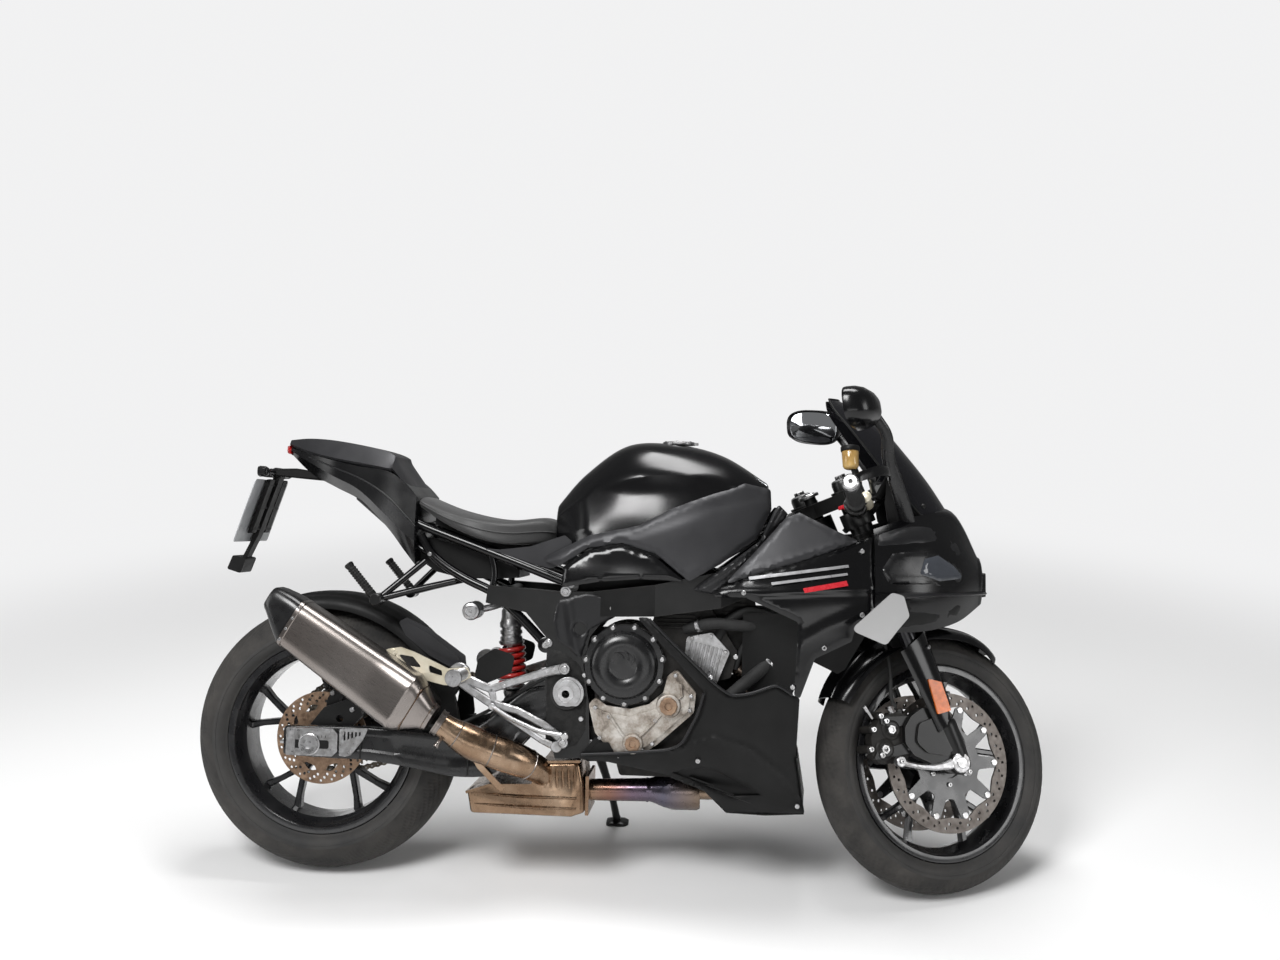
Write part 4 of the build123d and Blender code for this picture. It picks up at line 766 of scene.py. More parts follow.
def ring_of(corners, across, sharp=()):
    """A closed smooth ring through corners; at a sharp corner it keeps its point."""
    count = len(corners)
    made = []
    for k in range(count):
        b, c = Vector(corners[k]), Vector(corners[(k + 1) % count])
        a = Vector(corners[k - 1]) if k not in sharp else b
        d = Vector(corners[(k + 2) % count]) if (k + 1) % count not in sharp else c
        for i in range(across):
            made.append(blend(a, b, c, d, i / across))
    return made


def lofted(rows, across=5, along=6, sharp=(), ends=6.0):
    """A closed smooth body through rows of (x, (half width, height), ...), corners from the floor up.

    Its ends close over a small rounding. sharp lists corners, counted up one side, that stay crisp.
    """
    lines = []
    for x, *half in rows:
        lines.append([Vector((x, y, z)) for y, z in half])
    count = len(lines[0])
    stations = [k / along for k in range(along * (len(rows) - 1) + 1)]
    crisp = {*sharp, *(2 * count - 1 - k for k in sharp)}
    rings = []
    for t in stations:
        half = [spline([line[c] for line in lines], t) for c in range(count)]
        ring = half + [opposite(p) for p in reversed(half)]
        rings.append(ring_of(ring, across, crisp))
    for way, ring in ((-1, rings[0]), (1, rings[-1])):
        middle = sum(ring, Vector()) / len(ring)
        for share, step in ((0.9, 0.7), (0.55, 1.0)):
            cap = [middle + (p - middle) * share + Vector((way * ends * step, 0, 0)) for p in ring]
            rings = [cap] + rings if way < 0 else rings + [cap]
    return Shape().rings(rings)


# ---------------------------------------------------------------- wheels
RIM_SEAT, RIM_FLANGE = 216, 226
TREAD_DEPTH, TREAD_EDGE = 3.2, 0.06
GROOVES = ((0.0, 0.12, 0.8, 0.052), (0.34, 0.3, 0.93, 0.044), (0.68, 0.5, 0.9, 0.036))  # shift, from, to, width


def tread_depth(across, turn, half, pitches):
    """How deep the tread is cut at a place: long slanted grooves, left and right in turn."""
    reach = abs(across) / half
    if reach < 0.1 or reach > 0.93:
        return 0
    pitch = 2 * math.pi / pitches
    lean = 0.62 * reach**1.5
    deepest = 0.0
    for shift, low, high, wide in GROOVES:
        if not low < reach < high:
            continue
        phase = (turn / pitch + lean / pitch + shift + (0.5 if across > 0 else 0)) % 1
        off = min(phase, 1 - phase)
        ease = min((reach - low) / TREAD_EDGE, (high - reach) / TREAD_EDGE, 1)
        depth = max(0.0, 1 - (off / (wide * (0.4 + 0.6 * ease))) ** 2) * ease
        deepest = max(deepest, depth)
    return TREAD_DEPTH * deepest


def make_tyre(name, node, centre, radius, width, crown, pitches, body):
    """A tread with cut grooves, and plain sidewalls down to the rim."""
    half = width / 2 - 3
    middle = radius - crown
    shoulder = middle + math.sqrt(crown**2 - half**2)
    steps, across = 720, max(28, int(2 * half / 3.2))
    rings = []
    for k in range(across + 1):
        y = -half + 2 * half * k / across
        ring = []
        for turn in turns(steps):
            r = middle + math.sqrt(crown**2 - y**2) - tread_depth(y, turn, half, pitches)
            ring.append(centre + Vector((r * math.sin(turn), y, r * math.cos(turn))))
        rings.append(ring)
    shape = Shape().rings(rings, caps=False)
    shape.to(name + "_tread", "tyre", body=body, replaces=node, smooth=60)
    bead = width * 0.4 - 0.3
    sides = Shape()
    for way in (-1, 1):
        profile = [(way * half, shoulder), (way * (half + 0.4), shoulder - 2.5)]
        for t in (0.14, 0.22, 0.4, 0.6, 0.8):
            y = half + (bead - half) * t + 7.0 * math.sin(math.pi * t) ** 0.8 * (1 - t * 0.4)
            r = shoulder + (RIM_FLANGE + 3 - shoulder) * t
            profile.append((way * min(y, half + 0.6), r))
            if t == 0.22:
                profile.append((way * (min(y, half + 0.6) - 1.2), r - 1))
        profile += [(way * (bead + 3.2), RIM_FLANGE + 7), (way * (bead + 1), RIM_FLANGE + 3)]
        profile += [(way * (bead - 4), RIM_FLANGE + 1.2)]
        sides.lathe(centre, LEFT, profile, 160)
    open_sides(sides)
    sides.to(name + "_sidewalls", "sidewall", "tyre", body, smooth=40)


def open_sides(shape):
    """Drops the end caps of lathed skins."""
    shape.faces = [face for face in shape.faces if len(face) <= 4]


def bar_between(shape, points, widths, depths, soft=0.3):
    """A rounded rectangular bar along points in the wheel's plane."""
    rings = []
    for k, (point, way) in enumerate(travel(points)):
        across = way.cross(Vector(LEFT)).normalized()
        w, d = widths[k] / 2, depths[k] / 2
        s = soft * min(w, d)
        corners = [(w, d - s), (w - s, d), (s - w, d), (-w, d - s), (-w, s - d), (s - w, -d), (w - s, -d), (w, s - d)]
        rings.append([point + across * a + Vector((0, b, 0)) for a, b in corners])
    return shape.rings(rings)


def make_rim(name, node, centre, width, right, left, hub, body, spoke_deep):
    """A rim with a hub and five forked spokes, and its valve."""
    seat = width * 0.4
    shape = Shape()
    outer = [
        (-seat - 3, RIM_FLANGE), (-seat - 1, RIM_FLANGE + 1), (-seat, RIM_FLANGE - 1), (-seat, RIM_SEAT),
        (-seat + 26, RIM_SEAT - 1), (-seat + 34, RIM_SEAT - 16), (seat - 34, RIM_SEAT - 16),
        (seat - 26, RIM_SEAT - 1), (seat, RIM_SEAT), (seat, RIM_FLANGE - 1), (seat + 1, RIM_FLANGE + 1),
        (seat + 3, RIM_FLANGE), (seat + 4, RIM_FLANGE - 3), (seat + 3, RIM_SEAT - 4), (seat - 2, RIM_SEAT - 8),
        (seat - 20, RIM_SEAT - 10), (seat - 34, RIM_SEAT - 21), (0, RIM_SEAT - 22.5), (-seat + 34, RIM_SEAT - 21),
        (-seat + 20, RIM_SEAT - 10), (-seat + 2, RIM_SEAT - 8), (-seat - 3, RIM_SEAT - 4),
        (-seat - 4, RIM_FLANGE - 3),
    ]
    rings = []
    for k in range(145):
        turn = 2 * math.pi * k / 144
        rings.append([centre + Vector((r * math.sin(turn), y, r * math.cos(turn))) for y, r in outer])
    shape.rings(rings, caps=False)
    reach = RIM_SEAT - 18
    for k in range(5):
        turn = Matrix.Rotation(2 * math.pi * k / 5, 3, "Y")
        stalk = [Vector((0, 0, z)) for z in (hub - 6, hub + 14, reach * 0.4, reach * 0.55)]
        bar = Shape()
        bar_between(bar, stalk, (44, 34, 26, 25), (spoke_deep * 1.3, spoke_deep, spoke_deep, spoke_deep * 0.9), 0.45)
        for side in (-1, 1):
            arm = [
                (-2, reach * 0.46), (side * 10, reach * 0.6), (side * 30, reach * 0.82), (side * 46, reach * 0.965),
                (side * 52, reach + 2),
            ]
            bar_between(
                bar, [Vector((x, 0, z)) for x, z in arm], (15, 15, 14, 18, 26),
                [spoke_deep * s for s in (0.8, 0.8, 0.75, 0.8, 0.95)], 0.45,
            )
        shape.add([centre + turn @ v for v in bar.verts], bar.faces)
    shape.lathe(
        centre, LEFT, [(-right, hub - 8), (-right, hub - 4), (-right + 6, hub), (left - 6, hub), (left, hub - 4),
        (left, hub - 8)], 48,
    )
    shape.to(name, "wheel_black", body=body, replaces=node)
    valve = Shape()
    turn = Matrix.Rotation(2 * math.pi * 0.5 / 5, 3, "Y")
    a, b = turn @ Vector((0, -10, RIM_SEAT - 22)), turn @ Vector((0, -34, RIM_SEAT - 52))
    valve.rod(centre + a, centre + b, 3.2, 12)
    valve.rod(centre + b, centre + b + (b - a).normalized() * 9, 4.2, 12)
    valve.to(name + "_valve", "rubber", body=body)


def rotor(shape, centre, y, radius, inner, holes, thick=5.0):
    """A drilled brake rotor with a scalloped inner edge."""
    outer = circle(centre.x, centre.z, radius, 120)
    scallop = []
    for t in turns(120):
        r = inner + 4 * math.cos(10 * t)
        scallop.append((centre.x + r * math.cos(t), centre.z + r * math.sin(t)))
    cuts = [scallop]
    for share, shift, size in ((0.93, 0.0, 3.4), (0.865, 0.33, 3.8), (0.8, 0.66, 3.8)):
        if radius * share - 6 < inner:
            continue
        for t in turns(holes, shift):
            cuts.append(
                circle(centre.x + radius * share * math.cos(t), centre.z + radius * share * math.sin(t), size, 10)
            )
    return shape.plate(outer, y - thick / 2, y + thick / 2, cuts)


def carrier(shape, centre, y0, y1, inner, outer, arms):
    """The spider that holds a rotor on its hub."""
    outline = []
    for k in range(arms):
        for share, r in (
            (-0.3, inner + (outer - inner) * 0.35), (-0.14, outer), (0.14, outer),
            (0.3, inner + (outer - inner) * 0.35),
        ):
            t = 2 * math.pi * (k + share) / arms
            outline.append((centre.x + r * math.cos(t), centre.z + r * math.sin(t)))
    return shape.plate(rounded(outline, 8), y0, y1, [circle(centre.x, centre.z, inner * 0.62, 40)])


def make_wheels():
    make_tyre("rear", "rear_tyre", REAR_AXLE, REAR_RADIUS, 190, 100, 22, "rear_wheel")
    make_tyre("front", "front_tyre", FRONT_AXLE, FRONT_RADIUS, 120, 62, 20, "front_wheel")
    make_rim("rear_wheel_rim", "rear_rim", REAR_AXLE, 190, 76, 114, 38, "rear_wheel", 34)
    make_rim("front_wheel_rim", "front_rim", FRONT_AXLE, 120, 62, 62, 30, "front_wheel", 26)
    flange = Shape().lathe(REAR_AXLE, LEFT, [(-63, 14.2), (-63, 56), (-60, 58), (-56, 50), (-54, 14.2)], 48)
    flange.lathe(REAR_AXLE, LEFT, [(40, 14.2), (42, 52), (48, 56), (104, 56), (105.5, 54), (105.5, 40)], 48)
    flange.to("rear_wheel_hub", "wheel_black", body="rear_wheel")

    fronts = Shape()
    for side in (-1, 1):
        rotor(fronts, FRONT_AXLE, side * ROTOR_AT, 160, 128, 30)
    fronts.to("front_rotors", "disc_steel", body="front_wheel", replaces="front_discs")
    spiders, studs = Shape(), Shape()
    for side in (-1, 1):
        carrier(spiders, FRONT_AXLE, side * ROTOR_AT - 2.2, side * ROTOR_AT + 2.2, 58, 131, 10)
        for t in turns(10):
            spot = FRONT_AXLE + around(0, side * 66.5, 0, 126, t)
            studs.rod(spot, spot + Vector((0, side * 8, 0)), 7.5, 16)
        spots = [FRONT_AXLE + around(0, side * 72, 0, 50, t) for t in turns(6, 0.5)]
        studs.bolts(spots, (0, side, 0), 5.5, 5)
    spiders.lathe(FRONT_AXLE, LEFT, [(59, 13), (59, 66), (61, 68), (67.3, 68), (67.3, 13)], 48)
    spiders.lathe(FRONT_AXLE, LEFT, [(-67.3, 13), (-67.3, 68), (-61, 68), (-59, 66), (-59, 13)], 48)
    spiders.to("front_rotor_carriers", "wheel_black", body="front_wheel")
    studs.to("front_rotor_studs", "bright_steel", body="front_wheel")

    rear = Shape()
    rotor(rear, REAR_AXLE, -66, 110, 78, 24)
    rear.to("rear_rotor", "rear_disc_steel", "disc_steel", "rear_wheel", replaces="rear_disc")
    spider = Shape()
    carrier(spider, REAR_AXLE, -68, -64, 62, 82, 8)
    spider.to("rear_rotor_carrier", "rear_disc_steel", "disc_steel", "rear_wheel")


# ---------------------------------------------------------------- chain
CHAIN_PITCH, CHAIN_AT = 15.875, 109
REAR_TEETH, FRONT_TEETH = 45, 17
FRONT_SPROCKET = (672, 445)


def chain_path():
    """The pitch line round both sprockets, as points one pitch apart."""
    rear = CHAIN_PITCH / (2 * math.sin(math.pi / REAR_TEETH))
    front = CHAIN_PITCH / (2 * math.sin(math.pi / FRONT_TEETH))
    a, b = Vector((0, REAR_RADIUS)), Vector(FRONT_SPROCKET)
    run = b - a
    tilt, open_by = math.atan2(run.y, run.x), math.acos((rear - front) / run.length)
    points = []
    low, high = tilt + open_by, tilt - open_by + 2 * math.pi
    for k in range(121):
        t = low + (high - low) * k / 120
        points.append(a + rear * Vector((math.cos(t), math.sin(t))))
    low, high = tilt - open_by, tilt + open_by
    for k in range(61):
        t = low + (high - low) * k / 60
        points.append(b + front * Vector((math.cos(t), math.sin(t))))
    points.append(points[0])
    total = sum((q - p).length for p, q in zip(points, points[1:]))
    count = 2 * round(total / CHAIN_PITCH / 2)
    made, travelled, step = [], 0.0, total / count
    due = 0.0
    for p, q in zip(points, points[1:]):
        length = (q - p).length
        while length and due < travelled + length - 1e-6 and len(made) < count:
            made.append(p + (q - p) * ((due - travelled) / length))
            due += step
        travelled += length
    return made


def make_chain():
    """Side plates in turn inside and outside, with a pin and a roller at every joint."""
    joints = chain_path()
    plates, rollers = Shape(), Shape()
    for k, (p, q) in enumerate(pairs(joints)):
        way = (q - p).normalized()
        up = Vector((-way.y, way.x))
        offsets = ((-8.4, -6.9), (6.9, 8.4)) if k % 2 else ((-6.6, -5.1), (5.1, 6.6))
        outline = []
        for centre, first in ((p, 90), (q, -90)):
            for s in range(7):
                t = math.radians(first + 180 * s / 6)
                outline.append(centre + (way * math.cos(t) + up * math.sin(t)) * 7.0)
        waist = [(p + q) / 2 - up * 4.6, (p + q) / 2 + up * 4.6]
        loop = outline[:7] + [waist[0]] + outline[7:] + [waist[1]]
        for y0, y1 in offsets:
            count = len(loop)
            verts = [(v.x, CHAIN_AT + y0, v.y) for v in loop] + [(v.x, CHAIN_AT + y1, v.y) for v in loop]
            faces = [list(range(count)), [2 * count - 1 - i for i in range(count)]]
            faces += [[i, (i + 1) % count, (i + 1) % count + count, i + count] for i in range(count)]
            plates.add(verts, faces)
        rollers.rod((p.x, CHAIN_AT - 8.8, p.y), (p.x, CHAIN_AT + 8.8, p.y), 2.6, 8)
        rollers.rod((p.x, CHAIN_AT - 5, p.y), (p.x, CHAIN_AT + 5, p.y), 5.0, 10)
    plates.to("chain_plates", "chain_steel", replaces="chain", smooth=30)
    rollers.to("chain_rollers", "bright_steel", "chain_steel", smooth=40)


# ---------------------------------------------------------------- tank, seat and tail
TANK_ROWS = (
    (558, (55, 806), (74, 820), (72, 862), (40, 893)), (620, (110, 770), (134, 830), (112, 905), (52, 962)),
    (720, (140, 756), (166, 850), (146, 950), (66, 1029)), (840, (146, 756), (180, 862), (158, 965), (72, 1034)),
    (950, (138, 776), (170, 868), (142, 945), (72, 1008)), (1052, (92, 838), (134, 880), (104, 920), (60, 950)),
)
COVER_HEIGHTS = (690, 760, 850, 960)
COVER_ROWS = (
    (510, 150, 140, 104, 80), (600, 176, 166, 136, 100), (720, 186, 172, 164, 140), (840, 190, 182, 178, 156),
    (950, 186, 176, 168, 140), (1075, 150, 140, 126, 92),
)
MATTE_COVER = (
    (527, 762), (600, 800), (644, 822), (758, 847), (834, 888), (896, 912), (1000, 950), (1060, 938), (1062, 890),
    (1030, 822), (946, 762), (876, 722), (850, 742), (800, 782), (720, 806), (640, 792), (575, 748),
)
GLOSS_COVER = (
    (582, 700), (670, 716), (762, 724), (868, 722), (846, 738), (796, 778), (720, 801), (643, 787), (585, 748),
)
SEAT_ROWS = (
    (232, 100, 878, 92, 903), (300, 124, 838, 112, 876), (380, 140, 807, 122, 857), (450, 134, 795, 112, 851),
    (520, 100, 797, 82, 858), (553, 70, 803, 60, 850),
)
COWL_ROWS = (
    (-114, (14, 1020), (26, 1027), (16, 1038)), (-60, (42, 1000), (56, 1010), (36, 1041)),
    (10, (66, 984), (86, 994), (50, 1036)), (104, (88, 968), (106, 978), (62, 1020)),
    (156, (98, 960), (110, 969), (72, 1003)), (168, (99, 957), (110, 965), (77, 982)),
    (218, (104, 900), (112, 903), (92, 909)),
)
TAIL_ROWS = (
    (-112, (12, 1000), (24, 1010), (22, 1018)), (-60, (24, 956), (52, 984), (46, 1003)),
    (10, (42, 922), (82, 950), (76, 987)), (80, (68, 890), (102, 918), (92, 973)),
    (150, (92, 830), (122, 862), (104, 963)), (196, (104, 776), (129, 820), (112, 936)),
    (226, (112, 742), (131, 800), (116, 905)),
)


def make_tank():
    cover = surface(COVER_ROWS, COVER_HEIGHTS)
    made = lofted(TANK_ROWS, across=9, along=12, sharp=(1, 2), ends=5)
    for k, v in enumerate(made.verts):
        ease = min(max((985 - v.z) / 60, 0), 1)
        most = cover(v.x, min(v.z, 955)) - 9
        if abs(v.y) > most:
            y = abs(v.y) * (1 - ease) + most * ease
            made.verts[k] = Vector((v.x, math.copysign(y, v.y), v.z))
    made.to("tank_shell", "gloss_black", replaces="tank", smooth=26)
    ridge = [(560, 770), (644, 806), (758, 822), (850, 856), (920, 884), (1050, 915)]
    panel(
        "side_cover", MATTE_COVER, cover, "matte_grey", replaces="tank_side_covers",
        corner=10, roll=7, creases=[(ridge, 9, -2.5, "step")],
    )
    panel(
        "knee_panel", GLOSS_COVER, cover, "gloss_black", "gloss_panel", replaces="knee_panels",
            )


def make_seat():
    """The rider's seat: a padded wedge with a welted seam along its shoulder."""
    rows = []
    for x, low, low_z, high, high_z in SEAT_ROWS:
        mid_z = low_z + (high_z - low_z) * 0.55
        rows.append(
            (x, (low * 0.9, low_z), (low * 0.99, low_z + 6), (high + 12, mid_z), (high, high_z - 6),
            (high * 0.55, high_z + 1))
        )
    body = lofted(rows, across=5, along=7, sharp=(0,), ends=7)
    seat = body.to("seat_cushion", "seat_cover", replaces="rider_seat", level=1)
    piping = Shape()
    for side in (1, -1):
        line = []
        for k in range(36):
            t = k / 35 * (len(rows) - 1)
            half = spline([Vector((row[0], row[3][0], row[3][1])) for row in rows], t)
            line.append(Vector((half.x, side * (half.y + 3.2), half.z - 4)))
        piping.tube(line, 1.7, 8)
    piping.to("seat_welt", "seat_cover", smooth=50)


def make_tail():
    cowl = lofted(COWL_ROWS, across=5, along=6, sharp=(0, 1, 2), ends=5)
    cowl.to("seat_cowl", "matte_grey", "gloss_panel", replaces="passenger_cowl", smooth=22)
    tail = lofted(TAIL_ROWS, across=5, along=6, sharp=(0, 1, 2), ends=5)
    tail.to("tail_shell", "gloss_black", "gloss_panel", replaces="tail_fairing", smooth=22)
    flash = Shape()
    for side in (1, -1):
        line = []
        for k in range(22):
            t = 1 + k / 21 * (len(TAIL_ROWS) - 2)
            low, high = (spline([Vector((row[0], *row[c])) for row in TAIL_ROWS], t) for c in (2, 3))
            spot = low + (high - low) * (0.62 - 0.3 * k / 21)
            line.append(Vector((spot.x, side * (spot.y + 0.6), spot.z)))
        flash.tube(line, 2.0, 8)
    flash.to("tail_feature_line", "satin_dark", "gloss_panel", smooth=60)
    tray = Shape()
    rows = (
        (-104, 14, 1003), (-60, 25, 960), (10, 43, 926), (80, 69, 894), (150, 93, 834), (196, 104, 782),
        (224, 111, 750),
    )
    tray.rings([[(x, -y, z), (x, y, z), (x, y, z + 3), (x, -y, z + 3)] for x, y, z in rows])
    for x, y, z in rows[1:-1]:
        tray.rod((x, 8 - y, z - 1), (x, y - 8, z - 1), 3, 12)
    tray.to("under_tail", "matte_black", "gloss_panel", bevel=0.0008)
    under = Shape()
    outline = [(388, 786), (431, 783), (502, 792), (583, 820), (600, 806), (590, 756), (552, 742), (440, 766)]
    under.plate(outline, 127, 130.5, corner=5)
    under.mirror().to("seat_side_panels", "matte_grey", bevel=0.001)


# ---------------------------------------------------------------- fairing
PANEL_HEIGHTS = (170, 330, 480, 620, 720, 900)
PANEL_ROWS = (
    (560, 88, 178, 196, 200, 190, 150), (700, 100, 188, 208, 212, 198, 155), (850, 110, 194, 220, 226, 212, 165),
    (1000, 116, 200, 226, 238, 228, 180), (1120, 118, 196, 224, 240, 236, 190), (1250, 108, 172, 204, 228, 230, 185),
    (1400, 80, 120, 160, 190, 192, 140), (1560, 20, 30, 36, 42, 44, 30),
)
SIDE_OUTLINE = (
    (949, 711), (1035, 748), (1124, 776), (1234, 815), (1288, 835), (1290, 640), (1251, 640), (1240, 600),
    (1160, 560), (1129, 470), (1116, 476), (1122, 640), (1059, 668), (1007, 690), (930, 690),
)
BELLY_OUTLINE = (
    (761, 640), (786, 640), (938, 497), (976, 470), (1019, 477), (1077, 500), (1116, 476), (1129, 470),
    (1124, 334), (1150, 195), (970, 190), (920, 243), (838, 280), (700, 306), (635, 309), (634, 322),
    (735, 330), (838, 342), (870, 356), (905, 430), (916, 478),
)
VENT = ((846, 286), (912, 303), (946, 297), (1050, 238), (985, 233))
NOSE_ROWS = (
    (1290, (205, 622), (226, 700), (208, 800), (170, 850)), (1400, (168, 622), (188, 700), (172, 810), (120, 884)),
    (1490, (100, 640), (120, 712), (104, 800), (50, 884)), (1552, (36, 676), (44, 716), (40, 752), (24, 778)),
)


def make_fairing():
    side = surface(PANEL_ROWS, PANEL_HEIGHTS)
    waist = [(930, 700), (1060, 706), (1180, 716), (1300, 722)]
    chin = [(1110, 600), (1180, 640), (1250, 668), (1300, 676)]
    panel(
        "fairing_side", SIDE_OUTLINE, side, "gloss_black", "gloss_panel", replaces="fairing_sides",
        corner=9, roll=5, creases=[(waist, 16, 5), (chin, 14, -5, "step")],
    )
    wedge = [
        (953, 716), (1024, 793), (1092, 871), (1123, 884), (1201, 846), (1258, 822), (1234, 813), (1124, 774),
        (1035, 746),
    ]
    panel(
        "shoulder_panel", wedge, side, "matte_grey", corner=7, lift=-3,
        creases=[([(960, 722), (1035, 756), (1124, 786), (1230, 822)], 7, 3)],
    )
    ridge = [(635, 328), (838, 341), (945, 377), (1021, 355), (1100, 292), (1140, 230)]
    low = [(640, 304), (821, 284), (880, 268), (925, 250), (968, 228), (1120, 215)]
    panel(
        "belly_side", BELLY_OUTLINE, side, "matte_black", "gloss_panel", replaces="belly_pan",
        corner=7, roll=5, creases=[(ridge, 10, 6), (low, 9, -6, "step")], holes=[VENT], mesh_size=8,
    )
    panel(
        "belly_vent", ((830, 276), (912, 318), (960, 306), (1075, 232), (985, 216)), side, "matte_black", roll=3,
        wall=2, lift=-16, mesh_size=12,
    )
    blades = Shape()
    for k in range(3):
        x = 905 + 42 * k
        for way in (1, -1):
            y, z = side(x, 265) - 15, 257 - 17 * k
            rings = []
            for dy in (0, 9, 13):
                y1, slide = way * (y + dy), dy * 0.8
                front, back = x + 30 + slide, x - 26 + slide
                rings.append([(back, y1, z + 21), (front, y1, z + 3), (front, y1, z), (back, y1, z + 18)])
            blades.rings(rings)
    blades.to("belly_vent_blades", "matte_black")
    tub = Shape()
    rings = []
    for x, z in ((945, 222), (972, 193), (1060, 191), (1146, 196), (1140, 240), (1128, 310), (1124, 334)):
        half = side(x, z) - 3
        crown = 10 if z > 200 else 0
        rings.append([(x + crown * (1 - f**2), half * f, z - 5 * (1 - f**2)) for f in (k / 6 - 1 for k in range(13))])
    tub.rings(rings, closed=False, caps=False)
    for face in tub.faces:
        face.reverse()
    tub.to("belly_front", "matte_black", "gloss_panel", thick=0.0025)

    fasteners = Shape()
    for x, z in (
        (930, 512), (1112, 496), (1132, 215), (905, 320), (985, 560), (1180, 585), (1262, 660), (1000, 702),
        (1262, 800),
    ):
        for way in (1, -1):
            fasteners.bolts([(x, way * (side(x, z) - 2), z)], (0, way, 0), 5.5, 4.2)
    fasteners.to("fairing_fasteners", "bright_steel")

    band = [
        (884, 702), (900, 716), (950, 752), (1036, 818), (1066, 886), (1078, 902), (1100, 880), (1026, 794),
        (953, 712), (930, 694),
    ]
    spar = surface(
        (
            (860, 176, 178, 168, 160), (950, 182, 184, 170, 160), (1040, 184, 182, 166, 150),
            (1110, 180, 172, 150, 132),
        ),
        (690, 760, 850, 910),
    )
    first = [(905, 708), (960, 745), (1046, 815), (1082, 888)]
    second = [(926, 704), (968, 736), (1058, 816), (1092, 884)]
    panel(
        "frame_band", band, spar, "satin_dark", "black_metal", corner=6, roll=7, wall=4,
        creases=[(first, 4, -3), (second, 4, -3)], mesh_size=5,
    )
    # plain two-tone stripes of a layout of their own
    for name, outline, shade, lift in (
        ("stripe_long", ((1010, 738), (1230, 770), (1232, 764), (1012, 731)), "stripe_silver", 2.2),
        ("stripe_short", ((1060, 727), (1228, 752), (1230, 747), (1062, 721)), "stripe_silver", 2.2),
        ("stripe_accent", ((1130, 716), (1226, 735), (1230, 724), (1134, 706)), "stripe_red", 6.0),
    ):
        panel(name, outline, side, shade, "gloss_panel", corner=1, roll=0.3, wall=0.7, lift=lift, mesh_size=6)


def make_fairing_lips():
    """Rolled lips along the belly's open edges, and the closing pieces behind the fairing's front edge."""
    side = surface(PANEL_ROWS, PANEL_HEIGHTS)
    lips = Shape()
    for run in (
        ((790, 637), (860, 572), (938, 499), (976, 472), (1019, 479), (1077, 502), (1112, 479)),
        ((640, 324), (735, 332), (838, 344), (868, 358), (904, 430), (916, 476)),
    ):
        path = smooth_path(at_side(0, run), 18, 5)
        lips.tube([Vector((p.x, side(p.x, p.z) + 0.4, p.z)) for p in path], 3.2, 10)
    lips.mirror().to("belly_lips", "satin_dark", "gloss_panel", smooth=60)
    closing = Shape().plate(
        [(1156, 548), (1158, 566), (1238, 606), (1256, 640), (1296, 640), (1232, 530), (1216, 520)], 150, 153,
        corner=5,
    )
    closing.mirror().to("duct_closings", "matte_black", "gloss_panel", bevel=0.001)
    block = Shape().plate(
        [(846, 704), (1024, 708), (1034, 640), (1014, 590), (962, 524), (900, 566), (850, 604)], -98, 98, corner=10,
    )
    for k in range(5):
        z = 604 + 20 * k
        block.plate([(878 + 4 * k, z), (1010, z), (1010, z + 7), (878 + 4 * k, z + 7)], -104, 104, corner=2)
    block.bolts([(870, -98, 690), (1006, -98, 692), (968, -98, 546)], RIGHT, 7, 6)
    block.to("cylinder_head", "engine_dark", "cast_alloy", bevel=0.0015, smooth=40)
    hoses = Shape().tube(
        [(1060, -112, 640), (1010, -122, 656), (960, -120, 628), (930, -112, 560), (926, -104, 520)], 13, 20, 30,
    )
    hoses.tube([(1064, -110, 600), (1030, -118, 604), (1002, -118, 572), (985, -110, 520)], 8, 16, 20)
    hoses.tube([(870, -108, 700), (900, -116, 664), (980, -118, 690), (1040, -110, 712)], 5, 14, 30)
    hoses.to("engine_hoses", "rubber", smooth=60)
    air = Shape().plate(
        [(590, 690), (640, 752), (860, 758), (960, 740), (1000, 712), (930, 694)], -112, 112, corner=12,
    )
    air.to("airbox", "matte_black", bevel=0.003)


def nose_width(x, z):
    """The nose's half width at an x and z."""
    half = nose_half(NOSE_ROWS, place_in([row[0] for row in NOSE_ROWS], x), 24)
    if z <= half[0].z:
        return half[0].y
    for a, b in zip(half, half[1:]):
        if z <= b.z:
            return a.y + (b.y - a.y) * (z - a.z) / max(b.z - a.z, 1e-6)
    return half[-1].y


